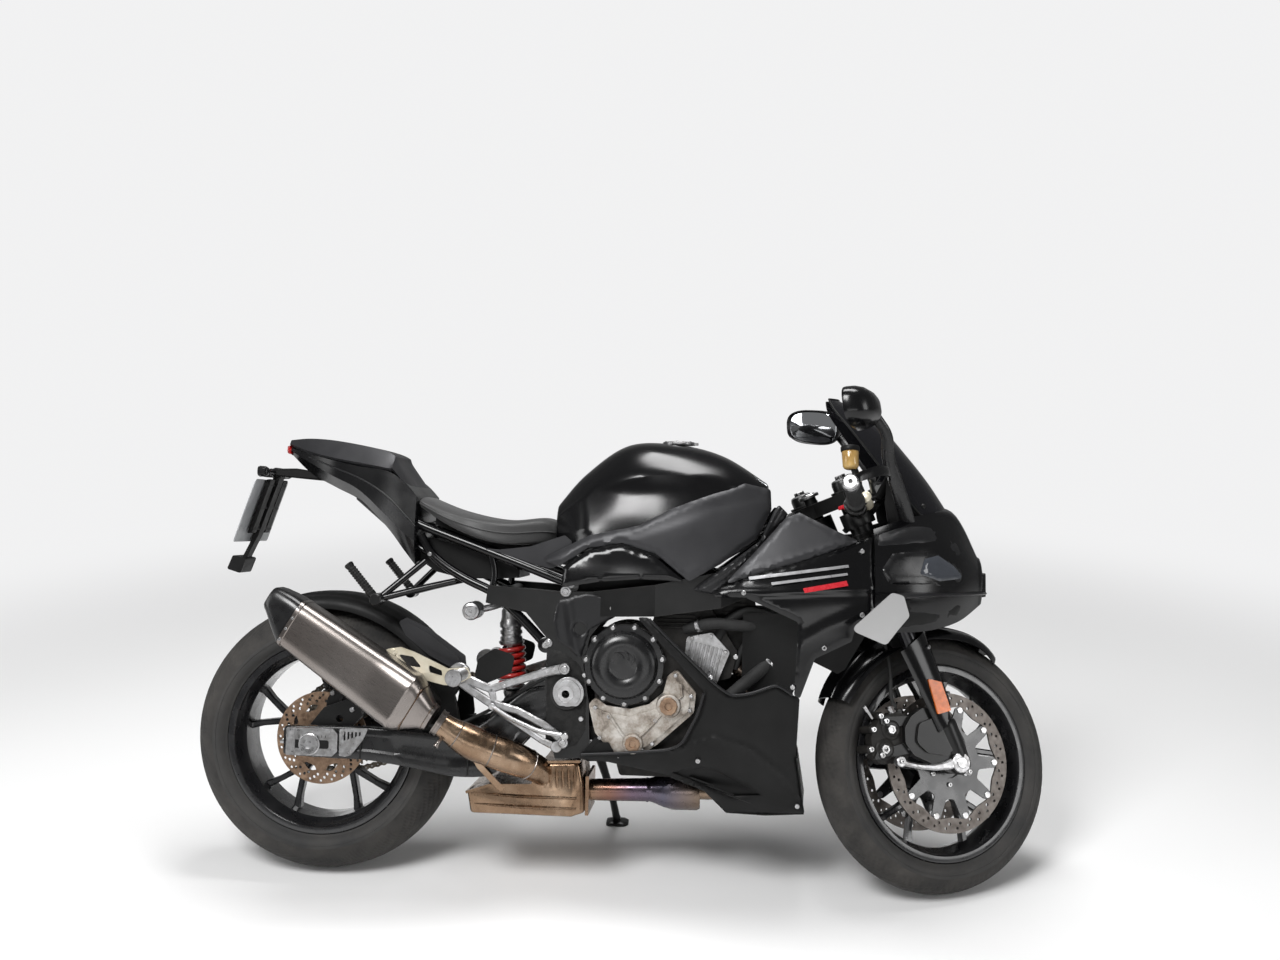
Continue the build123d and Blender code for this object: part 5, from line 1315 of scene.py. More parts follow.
def make_nose_details():
    """The lamp recesses with their glass, the strips above them and the chin panels."""
    recess = [
        (1304, 760), (1330, 796), (1388, 806), (1436, 806), (1486, 776), (1520, 740), (1504, 724), (1438, 722),
        (1322, 730),
    ]
    panel(
        "lamp_recess", recess, nose_width, "satin_black", "matte_black", mesh_size=8, corner=9, roll=4, wall=1.4,
        lift=2.2,
        creases=[([(1330, 742), (1440, 738), (1512, 734)], 7, -2.5)],
    )
    glass = [(1392, 752), (1404, 786), (1438, 794), (1478, 770), (1504, 742), (1440, 736)]
    panel("lamp_glass", glass, nose_width, "dark_lens", "lens", mesh_size=8, corner=7, roll=3, wall=2.2, lift=5.6)
    chin = [(1322, 700), (1520, 699), (1528, 684), (1486, 652), (1420, 634), (1352, 632), (1322, 650)]
    panel(
        "chin_panel", chin, nose_width, "matte_black", "gloss_panel", corner=10, roll=4, wall=1.4, lift=2.4,
        creases=[([(1330, 660), (1420, 664), (1510, 684)], 8, -3, "step")],
    )
    shoulder = [
        (1296, 812), (1300, 838), (1360, 858), (1420, 862), (1464, 848), (1500, 812), (1520, 778), (1500, 786),
        (1440, 818), (1380, 820),
    ]
    panel(
        "nose_shoulder", shoulder, nose_width, "satin_dark", "gloss_panel", mesh_size=8, corner=6, roll=3, wall=1.2,
        lift=2.0,
    )
    inner = Shape().plate(
        [(1330, 862), (1322, 910), (1326, 960), (1336, 992), (1354, 982), (1394, 920), (1412, 872)], 102, 106,
        corner=12,
    )
    inner.mirror().to("cockpit_sides", "matte_black", bevel=0.001)
    mouth = Shape()
    rows = []
    for x, wide, low, high in (
        (1566, 24, 698, 750), (1568, 25, 697, 751), (1562, 25, 697, 751), (1540, 19, 702, 746), (1500, 16, 706, 742),
    ):
        rows.append(
            [(x, p.x, p.y) for p in rounded([(-wide, low), (wide, low), (wide * 0.8, high), (-wide * 0.8, high)], 6)]
        )
    mouth.rings(rows, caps=False)
    mouth.to("air_intake", "satin_black", "gloss_panel", thick=0.002, smooth=40)


def nose_half(rows, t, steps):
    """One side's profile of the nose at a station, from its lower edge to its top edge."""
    corners = [spline([Vector((x, *half[c])) for x, *half in rows], t) for c in range(4)]
    return [spline(corners, 3 * k / steps) for k in range(steps + 1)]


def make_nose():
    steps, along = 18, 24
    arch_from = 1.0
    shell = Shape()
    stations = [3 * k / along for k in range(along + 1)]
    for way in (1, -1):
        rings = []
        for t in stations:
            if t <= arch_from + 1e-6:
                rings.append([Vector((p.x, way * p.y, p.z)) for p in nose_half(NOSE_ROWS, t, steps)])
        shell.rings(rings, closed=False, caps=False)
    rings = []
    for t in stations:
        if t >= arch_from - 1e-6:
            half = nose_half(NOSE_ROWS, t, steps)
            top = half[-1]
            over = [Vector((top.x, top.y * f, top.z + 12 * (1 - f**2))) for f in (1 - k / 5 for k in range(1, 10))]
            rings.append(half + over + [opposite(p) for p in reversed(half)])
    last = rings[-1]
    middle = sum(last, Vector()) / len(last)
    for share, push in ((0.93, 5), (0.7, 9), (0.3, 11), (0.02, 11.5)):
        rings.append([middle + (p - middle) * share + Vector((push, 0, 0)) for p in last])
    shell.rings(rings, closed=False, caps=False)
    wind_out(shell, Vector((1380, 0, 740)))
    shell.to("nose_shell", "gloss_black", "gloss_panel", replaces="nose_fairing", thick=0.003, smooth=45)


def wind_out(shape, middle):
    """Turns every face away from a middle."""
    for face in shape.faces:
        a, b, c = (shape.verts[face[i]] for i in (0, 1, 2))
        if (b - a).cross(c - a).dot((a + b + c) / 3 - middle) < 0:
            face.reverse()
    return shape


SCREEN_ROWS = (
    (884.3, 1486, 1404, 112), (960, 1436, 1336, 122), (1030, 1380, 1282, 114), (1085, 1330, 1240, 98),
    (1130, 1266, 1206, 72), (1156, 1222, 1196, 40),
)


def screen_point(t, u):
    """A point of the screen: t up its rows, u across from -1 to 1."""
    z, front, edge, half = spline([Vector(row) for row in SCREEN_ROWS], t)
    return Vector(
        (edge + (front - edge) * (1 - u * u) ** 0.9 if abs(u) < 1 else edge, half * u * (1.08 - 0.08 * u * u), z)
    )


def make_screen():
    rows, across = 30, 28
    grid = [[screen_point(5 * r / rows, 2 * k / across - 1) for k in range(across + 1)] for r in range(rows + 1)]
    skin = Shape().rings(grid, closed=False, caps=False)
    wind_out(skin, Vector((1250, 0, 960)))
    skin.to("screen_shell", "screen", replaces="windscreen", thick=0.003, smooth=60)
    rim = [grid[r][0] for r in range(rows + 1)] + grid[rows][1:-1] + [grid[r][across] for r in range(rows, -1, -1)]
    trim = Shape().tube([p + Vector((-1, 0, 0)) for p in rim], 2.6, 8)
    trim.to("screen_trim", "matte_black", smooth=60)
    base = Shape().tube([screen_point(0.05, 2 * k / 20 - 1) + Vector((2, 0, -4)) for k in range(21)], 4.2, 10)
    base.to("screen_seal", "rubber", smooth=60)
    studs = Shape()
    for t in (0.35, 1.2):
        for u in (-0.86, 0.86):
            spot = screen_point(t, u)
            ahead = (spot - Vector((1250, 0, spot.z))).normalized()
            studs.bolts([spot], ahead, 6, 3)
    studs.to("screen_studs", "black_metal")


def make_winglets():
    blades = Shape()
    plan = (
        (30, 1500, 1572), (60, 1450, 1560), (100, 1411, 1523), (150, 1366, 1477), (190, 1336, 1440),
        (240, 1326, 1396), (288, 1318, 1352),
    )
    for way in (1, -1):
        rings = []
        for k in range(25):
            y, back, front = spline([Vector(p) for p in plan], 6 * k / 24)
            ring = []
            for t in turns(16):
                share = (1 - math.cos(t)) / 2
                thick = 6.5 * math.sin(t) * (0.45 + 0.55 * share)
                ring.append((back + (front - back) * share, way * y, 708 + thick - 3 * share))
            rings.append(ring)
        blades.rings(rings)
    blades.to("winglet_blades", "satin_dark", "gloss_panel", replaces="winglets", smooth=40)
    tips = Shape()
    outline = [(1319, 714), (1344, 708), (1357, 664), (1332, 633), (1308, 600), (1231, 631)]
    tips.plate(rounded(outline, 12, 6), 288, 293).mirror()
    tips.to("winglet_ends", "satin_grey", "gloss_panel", bevel=0.0012)


# ---------------------------------------------------------------- engine
def make_engine():
    cover = Shape()
    profile = [
        (0, 88), (12, 92), (17, 92), (20, 90), (21, 78), (27, 75), (38, 71), (44, 63), (45.5, 50), (44, 34), (41, 30),
        (41.5, 8), (41.5, 0.1),
    ]
    cover.lathe((CLUTCH[0], -156, CLUTCH[1]), RIGHT, profile, 96)
    for t in turns(11, 0.3):
        cover.rod(*(around(CLUTCH[0], y, CLUTCH[1], 88, t) for y in (-157, -177)), 9.5, 18)
    cover.to("clutch_housing", "satin_black", "gloss_black", replaces="clutch_cover", smooth=32)
    flutes = Shape()
    for k in range(3):
        rings = []
        for i in range(13):
            f = i / 12
            t = math.radians(100 + 38 * k) - 1.5 * f
            r = 64 - 46 * f
            rise = 2.4 * math.sin(math.pi * min(max(f, 0.06), 0.94))
            top = -156 - (38 + 6.5 * f)
            side = Vector((math.cos(t), 0, math.sin(t))).cross(Vector(LEFT)) * (2.2 + 1.6 * f)
            at = around(CLUTCH[0], top, CLUTCH[1], r, t)
            rings.append(
                [at - side + Vector((0, 6, 0)), at - side * 0.6 - Vector((0, rise, 0)),
                at + side * 0.6 - Vector((0, rise, 0)), at + side + Vector((0, 6, 0))]
            )
        flutes.rings(rings)
    flutes.to("clutch_flutes", "satin_black", "gloss_black", smooth=40)
    bolts = Shape().bolts([around(CLUTCH[0], -177, CLUTCH[1], 88, t) for t in turns(11, 0.3)], RIGHT, 5.2, 5)
    case_spots = (
        (668, 430), (680, 362), (724, 322), (800, 352), (884, 430), (886, 462), (850, 508), (700, 410), (806, 404),
        (778, 336),
    )
    bolts.bolts(at_side(-174, case_spots), RIGHT, 4.6, 5)
    bolts.to("engine_bolts", "bright_steel", "cast_alloy", smooth=30)

    case = Shape()
    outline = [
        (652, 436), (668, 372), (722, 312), (782, 330), (812, 350), (893, 424), (897, 468), (852, 521), (832, 505),
        (822, 466), (790, 440), (748, 428), (694, 434), (668, 452),
    ]
    case.plate(outline, -168, -149, corner=12)
    inner = [
        (668, 430), (680, 378), (726, 326), (776, 340), (806, 360), (880, 428), (884, 462), (852, 500), (838, 470),
        (800, 428), (746, 412), (690, 420),
    ]
    case.plate(inner, -174, -167, corner=9)
    for line in (
        ((700, 416), (730, 372), (756, 351)), ((756, 351), (800, 396), (836, 439)),
        ((836, 439), (866, 462), (862, 490)),
    ):
        bar_between(case, at_side(-175, line), (8, 8, 8), (8, 8, 8), 0.6)
    for x, z, r in ((836, 439, 27), (756, 351, 23)):
        case.lathe((x, -166, z), RIGHT, [(0, r + 4), (12, r), (19, r - 1), (20, r - 3), (20, r - 6)], 40)
    case.lathe(
        (GENERATOR[0], 150.3, GENERATOR[1]), LEFT, [(0, 88), (14, 88), (20, 84), (22, 66), (32, 62), (38, 52),
        (38, 20), (35, 18), (35, 0.1)], 72,
    )
    for t in turns(9):
        case.rod(*(around(GENERATOR[0], y, GENERATOR[1], 84, t) for y in (151, 171)), 8, 16)
    case.to("engine_case", "cast_alloy", replaces="engine_covers", bevel=0.0015, smooth=30)
    caps = Shape()
    for x, z, r in ((836, 439, 20), (756, 351, 17)):
        caps.lathe(
            (x, -184, z), RIGHT, [(0, r), (4, r), (5.5, r - 2), (5.5, r * 0.45), (2.5, r * 0.4), (2.5, 0.1)], 36,
        )
        for t in turns(10):
            a = around(x, -184, z, r - 1, t)
            caps.rod(a, a + Vector((0, -4.4, 0)), 2.2, 8)
    caps.to("engine_caps", "rear_disc_steel", "cast_alloy", smooth=30)

    foot = Shape().plate(
        [(636, 318), (668, 360), (706, 362), (734, 317), (720, 308), (650, 306)], -166, -148, corner=8,
    )
    foot.plate([(656, 326), (676, 350), (700, 351), (716, 326)], -170, -165, corner=5)
    foot.to("engine_lower_cover", "matte_black", "cast_alloy", bevel=0.0015)

    top = Shape()
    cover_line = [(872, 592), (930, 604), (972, 560), (942, 484), (912, 474), (868, 540)]
    top.plate(cover_line, -136, -122, corner=9)
    for k in range(8):
        f = (k + 0.5) / 8
        a, b = Vector((880, -136, 584)).lerp(
            Vector((958, -136, 566)), f,
        ), Vector((872, -136, 542)).lerp(Vector((940, -136, 492)), f)
        bar_between(top, [a, b], (4.5, 4.5), (9, 9), 0.5)
    top.to("cylinder_cover", "bright_alloy", "cast_alloy", bevel=0.001)
    studs = Shape().bolts(
        at_side(-136, ((884, 590), (928, 596), (962, 560), (936, 488), (914, 482), (876, 540))), RIGHT, 5, 6,
    )
    studs.to("cylinder_bolts", "bright_steel", "cast_alloy", smooth=30)

    ribs = Shape()
    for k in range(7):
        z = 612 + 9 * k
        ribs.plate([(800 + 3 * k, z), (905 - 5 * k, z), (905 - 5 * k, z + 3.4), (800 + 3 * k, z + 3.4)], -130, 130)
    ribs.to("cylinder_ribs", "engine_dark", "cast_alloy", bevel=0.0008)
    hoses = Shape().tube(
        [(900, -140, 420), (938, -168, 430), (980, -166, 470), (1040, -150, 520), (1080, -120, 560)], 15, 20, 26,
    )
    hoses.tube([(868, -120, 610), (930, -150, 628), (1000, -150, 622), (1086, -110, 618)], 13, 20, 26)
    hoses.to("coolant_pipes", "rubber", smooth=60)
    clamps = Shape()
    for a, b in (
        ((916, -156, 424), (925, -163, 427)), ((1056, -140, 535), (1062, -136, 540)),
        ((896, -134, 620), (905, -139, 622)),
    ):
        clamps.rod(a, b, 16.5, 24)
    clamps.to("hose_clamps", "bright_steel", smooth=40)


def make_frame_details():
    flat = surface(((540, 157, 157), (740, 157, 157)), (520, 700))
    casting = [
        (572, 672), (640, 690), (704, 682), (720, 642), (652, 604), (632, 534), (604, 556), (571, 578), (563, 624),
    ]
    panel(
        "frame_casting", casting, flat, "satin_dark", "black_metal", corner=12, roll=5, wall=4,
        holes=[circle(626, 606, 13, 20)], creases=[([(600, 660), (610, 600), (620, 550)], 16, 3)], mesh_size=6,
    )
    rough = [
        (566, 560), (600, 548), (632, 522), (648, 455), (646, 372), (628, 340), (588, 322), (553, 343), (549, 530),
    ]
    lower = surface(((540, 156, 156), (740, 156, 156)), (300, 600))
    panel(
        "frame_plate_guard", rough, lower, "frame_rough", "black_metal", corner=10, roll=3, wall=1.6,
        holes=[circle(605, 460, 34, 36)], mesh_size=8,
    )
    ring = Shape().plate(
        [(605 + 36 * math.cos(t), 460 + max(36 * math.sin(t), -30)) for t in turns(48)], -170, -154.5,
        [circle(*SWING_AXLE, 15.2, 40)],
    )
    ring.plate(
        [(604 + 30 * math.cos(t), 459 + 30 * math.sin(t)) for t in turns(48)], -173, -169,
        [circle(*SWING_AXLE, 18, 40)],
    )
    ring.mirror().to("pivot_ring", "bright_alloy", "bright_steel", bevel=0.001)
    bolts = Shape()
    for way in (1, -1):
        bolts.rod((592, way * 136, 691), (592, way * 161, 691), 12.5, 30)
        bolts.bolts([(592, way * 161, 691)], (0, way, 0), 8, 4)
        bolts.rod((554, way * 130, 571), (554, way * 158, 571), 9.5, 24)
        bolts.bolts([(554, way * 158, 571)], (0, way, 0), 6.5, 4)
        for x, z in ((700, 655), (585, 345), (572, 372), (634, 400), (640, 500)):
            bolts.bolts([(x, way * (157 if z > 500 else 156), z)], (0, way, 0), 6, 4)
    bolts.to("frame_bolts", "bright_steel", smooth=30)


# ---------------------------------------------------------------- exhaust
SILENCER_UP = Vector((0.513, 0, 0.858)).normalized()


def silencer_ring(s, low, high, half, corner, steps=7):
    """A rounded rectangle across the silencer, s along it."""
    outline = rounded([(half, low), (half, high), (-half, high), (-half, low)], corner, steps)
    start = SILENCER_FROM + SILENCER_WAY * s
    return [start + Vector((0, p.x, 0)) + SILENCER_UP * p.y for p in outline]


def make_exhaust():
    body = Shape().rings([silencer_ring(*row) for row in (
        (24, -30, 30, 30, 29), (40, -36, 34, 34, 33), (70, -58, 54, 45, 42), (86, -69, 63, 50.5, 43),
        (96, -72, 67, 52, 42), (98, -73, 68, 53, 41), (104, -73, 68, 53, 41), (106, -72, 67, 52, 40),
        (200, -64, 68, 51, 38), (320, -54, 69, 49.5, 36),
        (402, -46.5, 69, 48, 34), (404, -48, 70.5, 49.5, 34), (412, -47, 70, 49, 34), (413, -45, 68, 47, 34),
    )])
    body.to("silencer_body", "titanium", replaces="silencer")
    seams = Shape()
    bead = ((-1.6, -1), (0, 1.2), (1.6, -1))
    for s, low, high, half, corner in ((33, -33, 32, 32, 29), (72, -60, 55, 46.5, 30)):
        seams.rings([silencer_ring(s + d, low - r, high + r, half + r, corner) for d, r in bead])
    seams.to("silencer_seams", "hot_pipe", "titanium", smooth=50)
    cap = Shape().rings([silencer_ring(*row) for row in (
        (412, -44, 66, 46, 33), (413.5, -46, 69, 48, 33), (424, -38, 69.5, 47, 32), (446, -22, 68, 44, 30),
        (470, -3, 64.5, 39.5, 26), (482, 5, 61, 37, 24), (486, 9, 58, 34, 21), (486, 14, 54, 30, 18),
        (474, 12, 52, 27, 16), (440, 10, 48, 24, 14),
    )])
    cap.to("silencer_end", "satin_black", "matte_black", replaces="silencer_cap", smooth=40)
    rivets = Shape()
    for k in range(4):
        at = SILENCER_FROM + SILENCER_WAY * 408 + SILENCER_UP * (-28 + 28 * k)
        for way in (1, -1):
            rivets.bolts([at + Vector((0, way * 49.2, 0))], (0, way, 0), 3.4, 1.6)
    rivets.to("silencer_rivets", "bright_steel", "titanium", smooth=40)

    path = (
        (322, -214, 387), (345, -211, 372), (368, -206, 358), (395, -200, 343), (425, -193, 330), (459, -183, 317),
        (490, -168, 304), (515, -150, 290), (536, -128, 274), (548, -112, 258),
    )
    path = [Vector(p) for p in path]
    sizes = [27, 30, 35, 38.5, 36.5, 37.5, 37, 34, 31, 29]
    line = [spline(path, k / 54 * (len(path) - 1)) for k in range(55)]
    pipe = Shape().tube(line, lambda f: spline(sizes, f * (len(sizes) - 1)), 36)
    pipe.to("tail_pipe", "hot_pipe", replaces="exhaust_pipes", smooth=60)
    welds = Shape()
    for t in (1.6, 4.25, 6.9):
        at, ahead = spline(path, t), (spline(path, t + 0.1) - spline(path, t)).normalized()
        r = spline(sizes, t)
        welds.lathe(at - ahead * 2, ahead, [(0, r - 1), (1, r + 1), (2, r + 1.6), (3, r + 1), (4, r - 1)], 40)
    at = Vector((322, -214, 387))
    ahead = (path[1] - path[0]).normalized()
    welds.lathe(
        at - ahead * 12, ahead, [(0, 28), (0, 31.5), (3, 31.5), (4, 30), (10, 30), (11, 31.5), (14, 31.5), (14, 28)],
        40,
    )
    welds.rod(at + Vector((4, -8, -30)), at + Vector((-4, -22, -44)), 4.5, 12)
    welds.bolts([at + Vector((-4, -22, -44))], (-0.3, -0.6, -0.6), 6, 6)
    welds.to("pipe_welds", "titanium", "hot_pipe", smooth=50)
    bracket = Shape()
    bar_between(
        bracket, [Vector((392, -176, 312)), Vector((404, -166, 286)), Vector((444, -138, 236)),
        Vector((462, -130, 222))], (16, 15, 15, 18), (5, 5, 5, 5), 0.3,
    )
    bracket.to("pipe_bracket", "hot_pipe")

    box = Shape()
    outline = rounded(
        [(368, 224), (378, 171), (614, 170), (644, 181), (640, 250), (631, 296), (545, 292), (520, 240), (420, 236)],
        9, 4,
    )
    rings, middle = [], Vector((520, 215))
    for y, inset in ((-136, 9), (-133, 3), (-127, 0), (-80, -1), (25, 0), (31, 3), (34, 9)):
        rings.append(
            [Vector((p.x, y, p.y)) + Vector((middle.x - p.x, 0, middle.y - p.y)) * (inset / 130) for p in outline]
        )
    box.rings(rings)
    for k in range(6):
        x = 550 + 14 * k
        bar_between(
            box, [Vector((x, -135, 284)), Vector((x + 1, -137, 262)), Vector((x + 2, -136, 236))], (6, 7, 6),
            (5, 7, 5), 0.9,
        )
    for z in (190, 214):
        bar_between(
            box, [Vector((388, -134, z + 4)), Vector((500, -137, z)), Vector((626, -136, z))], (6, 8, 6), (5, 8, 5),
            0.9,
        )
    box.to("catalyst_box", "hot_pipe", smooth=42)
    flange = Shape().plate(rounded([(644, 172), (652, 172), (652, 262), (644, 262)], 2), -120, 20)
    flange.plate(
        rounded([(366, 222), (420, 240), (520, 244), (545, 298), (633, 302), (633, 296), (549, 292), (524, 238),
        (420, 234), (368, 216)], 2), -139, 36,
    )
    flange.to("catalyst_flange", "hot_pipe", bevel=0.001)

    front = Shape().lathe(
        (906, -46, 226), (-1, -0.07, -0.02), [(0, 44), (6, 47), (60, 46), (84, 40), (110, 29), (118, 27), (122, 29),
        (126, 27), (256, 25)], 40,
    )
    for port, low in ((-96, -84), (-32, -58), (32, -34), (96, -10)):
        route = [
            (966, port, 540), (1022, port, 500), (1018, (port + low) / 2, 330), (965, low, 232),
            (880, low * 0.5 - 24, 226),
        ]
        front.tube(route, 19, 20, 26)
        front.rod((952, port, 548), (968, port, 538), 26, 24)
    front.to("header_pipes", "hot_pipe", smooth=60)


def make_hanger():
    """The slotted plate between the footrest bracket and the silencer."""
    plate = Shape()
    outline = [
        (176, 548), (214, 554), (248, 543), (326, 508), (372, 512), (382, 490), (344, 470), (318, 470), (256, 484),
        (200, 524),
    ]
    hole = rounded([(208, 538), (244, 533), (266, 508), (232, 511)], 4)
    plate.plate(outline, -178, -172, [hole, rounded([(280, 516), (312, 503), (314, 490), (284, 498)], 4)], corner=6)
    plate.lathe((196, -171, 541), RIGHT, [(0, 9), (9, 9), (10, 8), (10, 0.1)], 28)
    plate.to("hanger_plate", "champagne", "bright_alloy", replaces="silencer_hanger", bevel=0.0015, smooth=40)


# ---------------------------------------------------------------- foot controls, shock
def make_rearsets():
    arms, details, pegs = Shape(), Shape(), Shape()
    upper = [(340, 498), (366, 484), (424, 462), (488, 484), (556, 506), (594, 514)]
    middle = [(346, 486), (372, 462), (424, 430), (488, 414), (550, 384), (596, 348)]
    low = [(430, 424), (462, 400), (504, 374), (546, 348), (580, 334)]
    hook = [(424, 462), (430, 444), (430, 424)]
    for line, widths in (
        (upper, (30, 21, 19, 18, 20, 24)), (middle, (28, 19, 20, 17, 17, 22)), (low, (16, 15, 14, 14, 18)),
        (hook, (16, 14, 16)),
    ):
        bar_between(arms, at_side(-160.5, line), widths, [11.0] * len(line), 0.55)
    arms.lathe((350, -154, 496), RIGHT, [(0, 20), (0, 24), (2, 25), (12, 25), (14, 23)], 40)
    for x, z in ((594, 514), (594, 346), (580, 336)):
        arms.lathe((x, -154.5, z), RIGHT, [(0, 12), (2, 13.5), (12, 13.5), (14, 12)], 28)
    arms.mirror().to("rearset_arms", "bright_alloy", replaces="footrests", smooth=40)
    details.bolts([(594, -168.5, 514), (594, -168.5, 346)], RIGHT, 8, 5)
    details.bolts([(430, -166, 424), (456, -166, 470)], RIGHT, 5, 4)
    details.tube([(430, -172, 424), (470, -176, 400), (540, -180, 372), (600, -184, 366)], 5.5, 14, 20)
    details.rod((600, -178, 366), (604, -206, 366), 8, 20)
    details.rod((430, -166, 424), (430, -177, 424), 8, 20)
    details.mirror().to("foot_levers", "bright_steel", "bright_alloy", smooth=40)
    profile = [(0, 15), (4, 17), (8, 13), *ribs(13, 10, 6, 13.6, 12.2, 3, (0.6, 2.4))]
    profile += [(90, 14), (92, 19), (96, 20), (99, 18.5), (99, 0.1)]
    for way in (1, -1):
        pegs.lathe((362, way * 168, 497), (-0.04, way, 0), profile, 36)
        for k in range(3):
            spot = around(358, way * 267.2, 497, 10, 2 * math.pi * k / 3 + 0.5)
            pegs.rod(spot, spot + Vector((0, way * 1.2, 0)), 2.4, 10)
    pegs.to("foot_pegs", "bright_alloy")
    guards = Shape().plate(
        [(404, 470), (470, 500), (478, 540), (430, 556), (392, 530), (384, 490)], -158, -155.5, corner=14,
    ).mirror()
    guards.to("heel_guards", "matte_black", bevel=0.001)


def make_shock():
    foot, top = Vector((448, 0, 420)), Vector((436, 0, 680))
    way = (top - foot).normalized()
    profile = [
        (0, 16), (6, 20), (14, 22), (20, 22), (24, 12), (60, 11), (128, 11), (130, 27), (136, 31), (139, 31),
        (141, 27), (150, 27), (151, 24), (156, 24), (157, 27), (165, 27), (166, 24), (172, 24), (173, 27.5),
        (184, 27.5), (188, 25), (196, 23), (214, 22), (220, 18), (246, 16), (252, 14), (260, 12),
    ]
    body = Shape().lathe(foot, way, profile, 48)
    body.lathe(foot + way * 24, way, [(0, 31), (3, 34), (7, 34), (9, 30)], 48)
    body.rod(foot + Vector((0, -26, 0)), foot + Vector((0, 26, 0)), 13, 28)
    body.rod(top + Vector((0, -28, 0)), top + Vector((0, 28, 0)), 12, 28)
    body.lathe(
        (359, -28, 635), RIGHT, [(0, 18), (4, 21), (50, 21), (53, 19.5), (56, 21.5), (64, 21.5), (69, 19), (70.5, 14),
        (69, 12), (69, 4), (71, 3), (71, 0.1)], 44,
    )
    body.tube([(440, -12, 640), (420, -20, 650), (398, -34, 642), (372, -40, 636)], 8, 16, 14)
    body.to("shock_body", "bright_alloy", replaces="shock_absorber")
    coil, coils = [], 6.2
    side = way.orthogonal().normalized()
    other = way.cross(side)
    steps = 190
    for k in range(steps + 1):
        f = k / steps
        t = 2 * math.pi * coils * f
        coil.append(foot + way * (32 + 96 * f) + (side * math.cos(t) + other * math.sin(t)) * 28.5)
    spring = Shape().tube(coil, 6.0, 12)
    spring.to("shock_coil", "spring_red", replaces="shock_spring", smooth=60)


# ---------------------------------------------------------------- fork, front brake, mudguard
BAR_TIP = Vector((1081, 335, 882))
BAR_FROM = head(920, LEG_OUT, LEG_SPACING + 10)
BAR_WAY = (BAR_TIP - BAR_FROM).normalized()


def leg(height, out=0.0, side=0.0):
    """A point beside the left fork leg, straight ahead."""
    return head(height, LEG_OUT + out, LEG_SPACING + side)


def make_fork():
    outer = Shape()
    steps = [(0, 23), (3, 26), (12, 27.5), (18, 27.5), (19, 26), (23, 26), (24, 27)]
    steps += [
        (232, 27), (233, 28.2), (243, 28.2), (244, 27), (340, 27), (341, 26), (345, 26), (346, 27), (370, 27),
        (372, 26),
    ]
    outer.lathe(leg(640), HEAD_UP, steps + [(376, 25), (379, 22), (380, 14), (382, 13), (386, 12), (386, 0.1)], 56)
    outer.mirror().to("fork_outer", "black_metal", body="steering", replaces="fork_outer_tubes", smooth=30)
    caps = Shape().lathe(leg(1012), HEAD_UP, [(-1, 24.5), (5, 24.5), (7, 22), (8, 17), (8, 0.1)], 48)
    caps.lathe(leg(1020), HEAD_UP, [(0, 13), (7, 13), (8, 12), (8, 5), (5, 4.6), (5, 0.1)], 6)
    caps.mirror().to("fork_caps", "bright_alloy", body="steering", smooth=30)
    inner = Shape().lathe(leg(392), HEAD_UP, [(0, 21.5), (262, 21.5)], 56)
    inner.mirror().to("fork_inner", "fork_black", "slider_chrome", "steering", replaces="fork_inner_tubes", smooth=40)

    foot = Shape()
    profile = [(-22, 15), (-20, 19), (-14, 22), (20, 25), (60, 27), (84, 27.5), (90, 27.5), (95, 25.5), (96, 22)]
    foot.lathe(leg(315), HEAD_UP, profile, 48)
    foot.lathe(
        (FRONT_AXLE.x, 81, FRONT_AXLE.z), LEFT, bored(13, (0, 22), (2, 25), (30, 27), (41, 27), (44, 25.5), (46, 22)),
        48,
    )
    web = [
        (1336, 404), (1368, 424), (1412, 420), (1450, 396), (1474, 352), (1481, 316), (1470, 282), (1442, 274),
        (1408, 286), (1376, 302), (1340, 316), (1318, 344), (1318, 378),
    ]
    foot.plate(web, 90, 118, corner=16)
    foot.plate(
        [(1352, 388), (1398, 402), (1438, 382), (1450, 340), (1424, 316), (1372, 322), (1344, 346)], 88, 124,
        corner=18,
    )
    foot.plate([(1262, 402), (1340, 404), (1352, 386), (1290, 380), (1262, 386)], 96, 108, corner=5)
    foot.plate([(1240, 306), (1340, 322), (1352, 338), (1330, 346), (1252, 326)], 96, 108, corner=5)
    foot.mirror().to("fork_castings", "black_metal", body="steering", replaces="fork_feet", bevel=0.005, smooth=40)

    lugs = Shape()
    line = [(1300, 303), (1322, 297), (1352, 292), (1388, 290), (1420, 294), (1444, 300)]
    points = at_side(121, line)
    bar_between(lugs, points, (13, 12, 12, 14, 19, 26), (14, 13, 12, 12, 13, 13), 0.6)
    lugs.lathe((1300, 113, 303), LEFT, [(0, 7), (0, 10.5), (1, 12), (14, 12), (15.5, 10.5), (15.5, 5), (0, 5)], 32)
    lugs.lathe((FRONT_AXLE.x, 118, FRONT_AXLE.z), LEFT, bored(13, (0, 22), (1, 23), (9, 23), (11, 21)), 48)
    tail = [Vector((1462, 121, 290)), Vector((1474, 121, 282)), Vector((1484, 121, 276))]
    bar_between(lugs, tail, (24, 18, 12), (11, 11, 9), 0.6)
    lugs.mirror().to("axle_lugs", "bright_alloy", body="steering", smooth=40)

    bits = Shape().bolts([(1300, 128, 303), (1478, 125, 280)], LEFT, 5, 5)
    bits.bolts([(1344, 108, 394), (1276, 107, 393), (1262, 107, 317), (1334, 108, 333)], LEFT, 6.5, 6)
    bits.mirror().to("fork_bolts", "bright_steel", "bright_alloy", "steering", smooth=40)

    axle = Shape()
    profile = [
        (-131, 9.4), (-131, 11.5), (-130, 12.5), (-62, 12.5), (62, 12.5), (122, 12.5), (123, 18), (131, 18),
        (132, 16.5), (132, 9.4), (-131, 9.4),
    ]
    axle.lathe(FRONT_AXLE, LEFT, profile, 44)
    axle.to("front_spindle", "bright_steel", body="steering", replaces="front_axle")


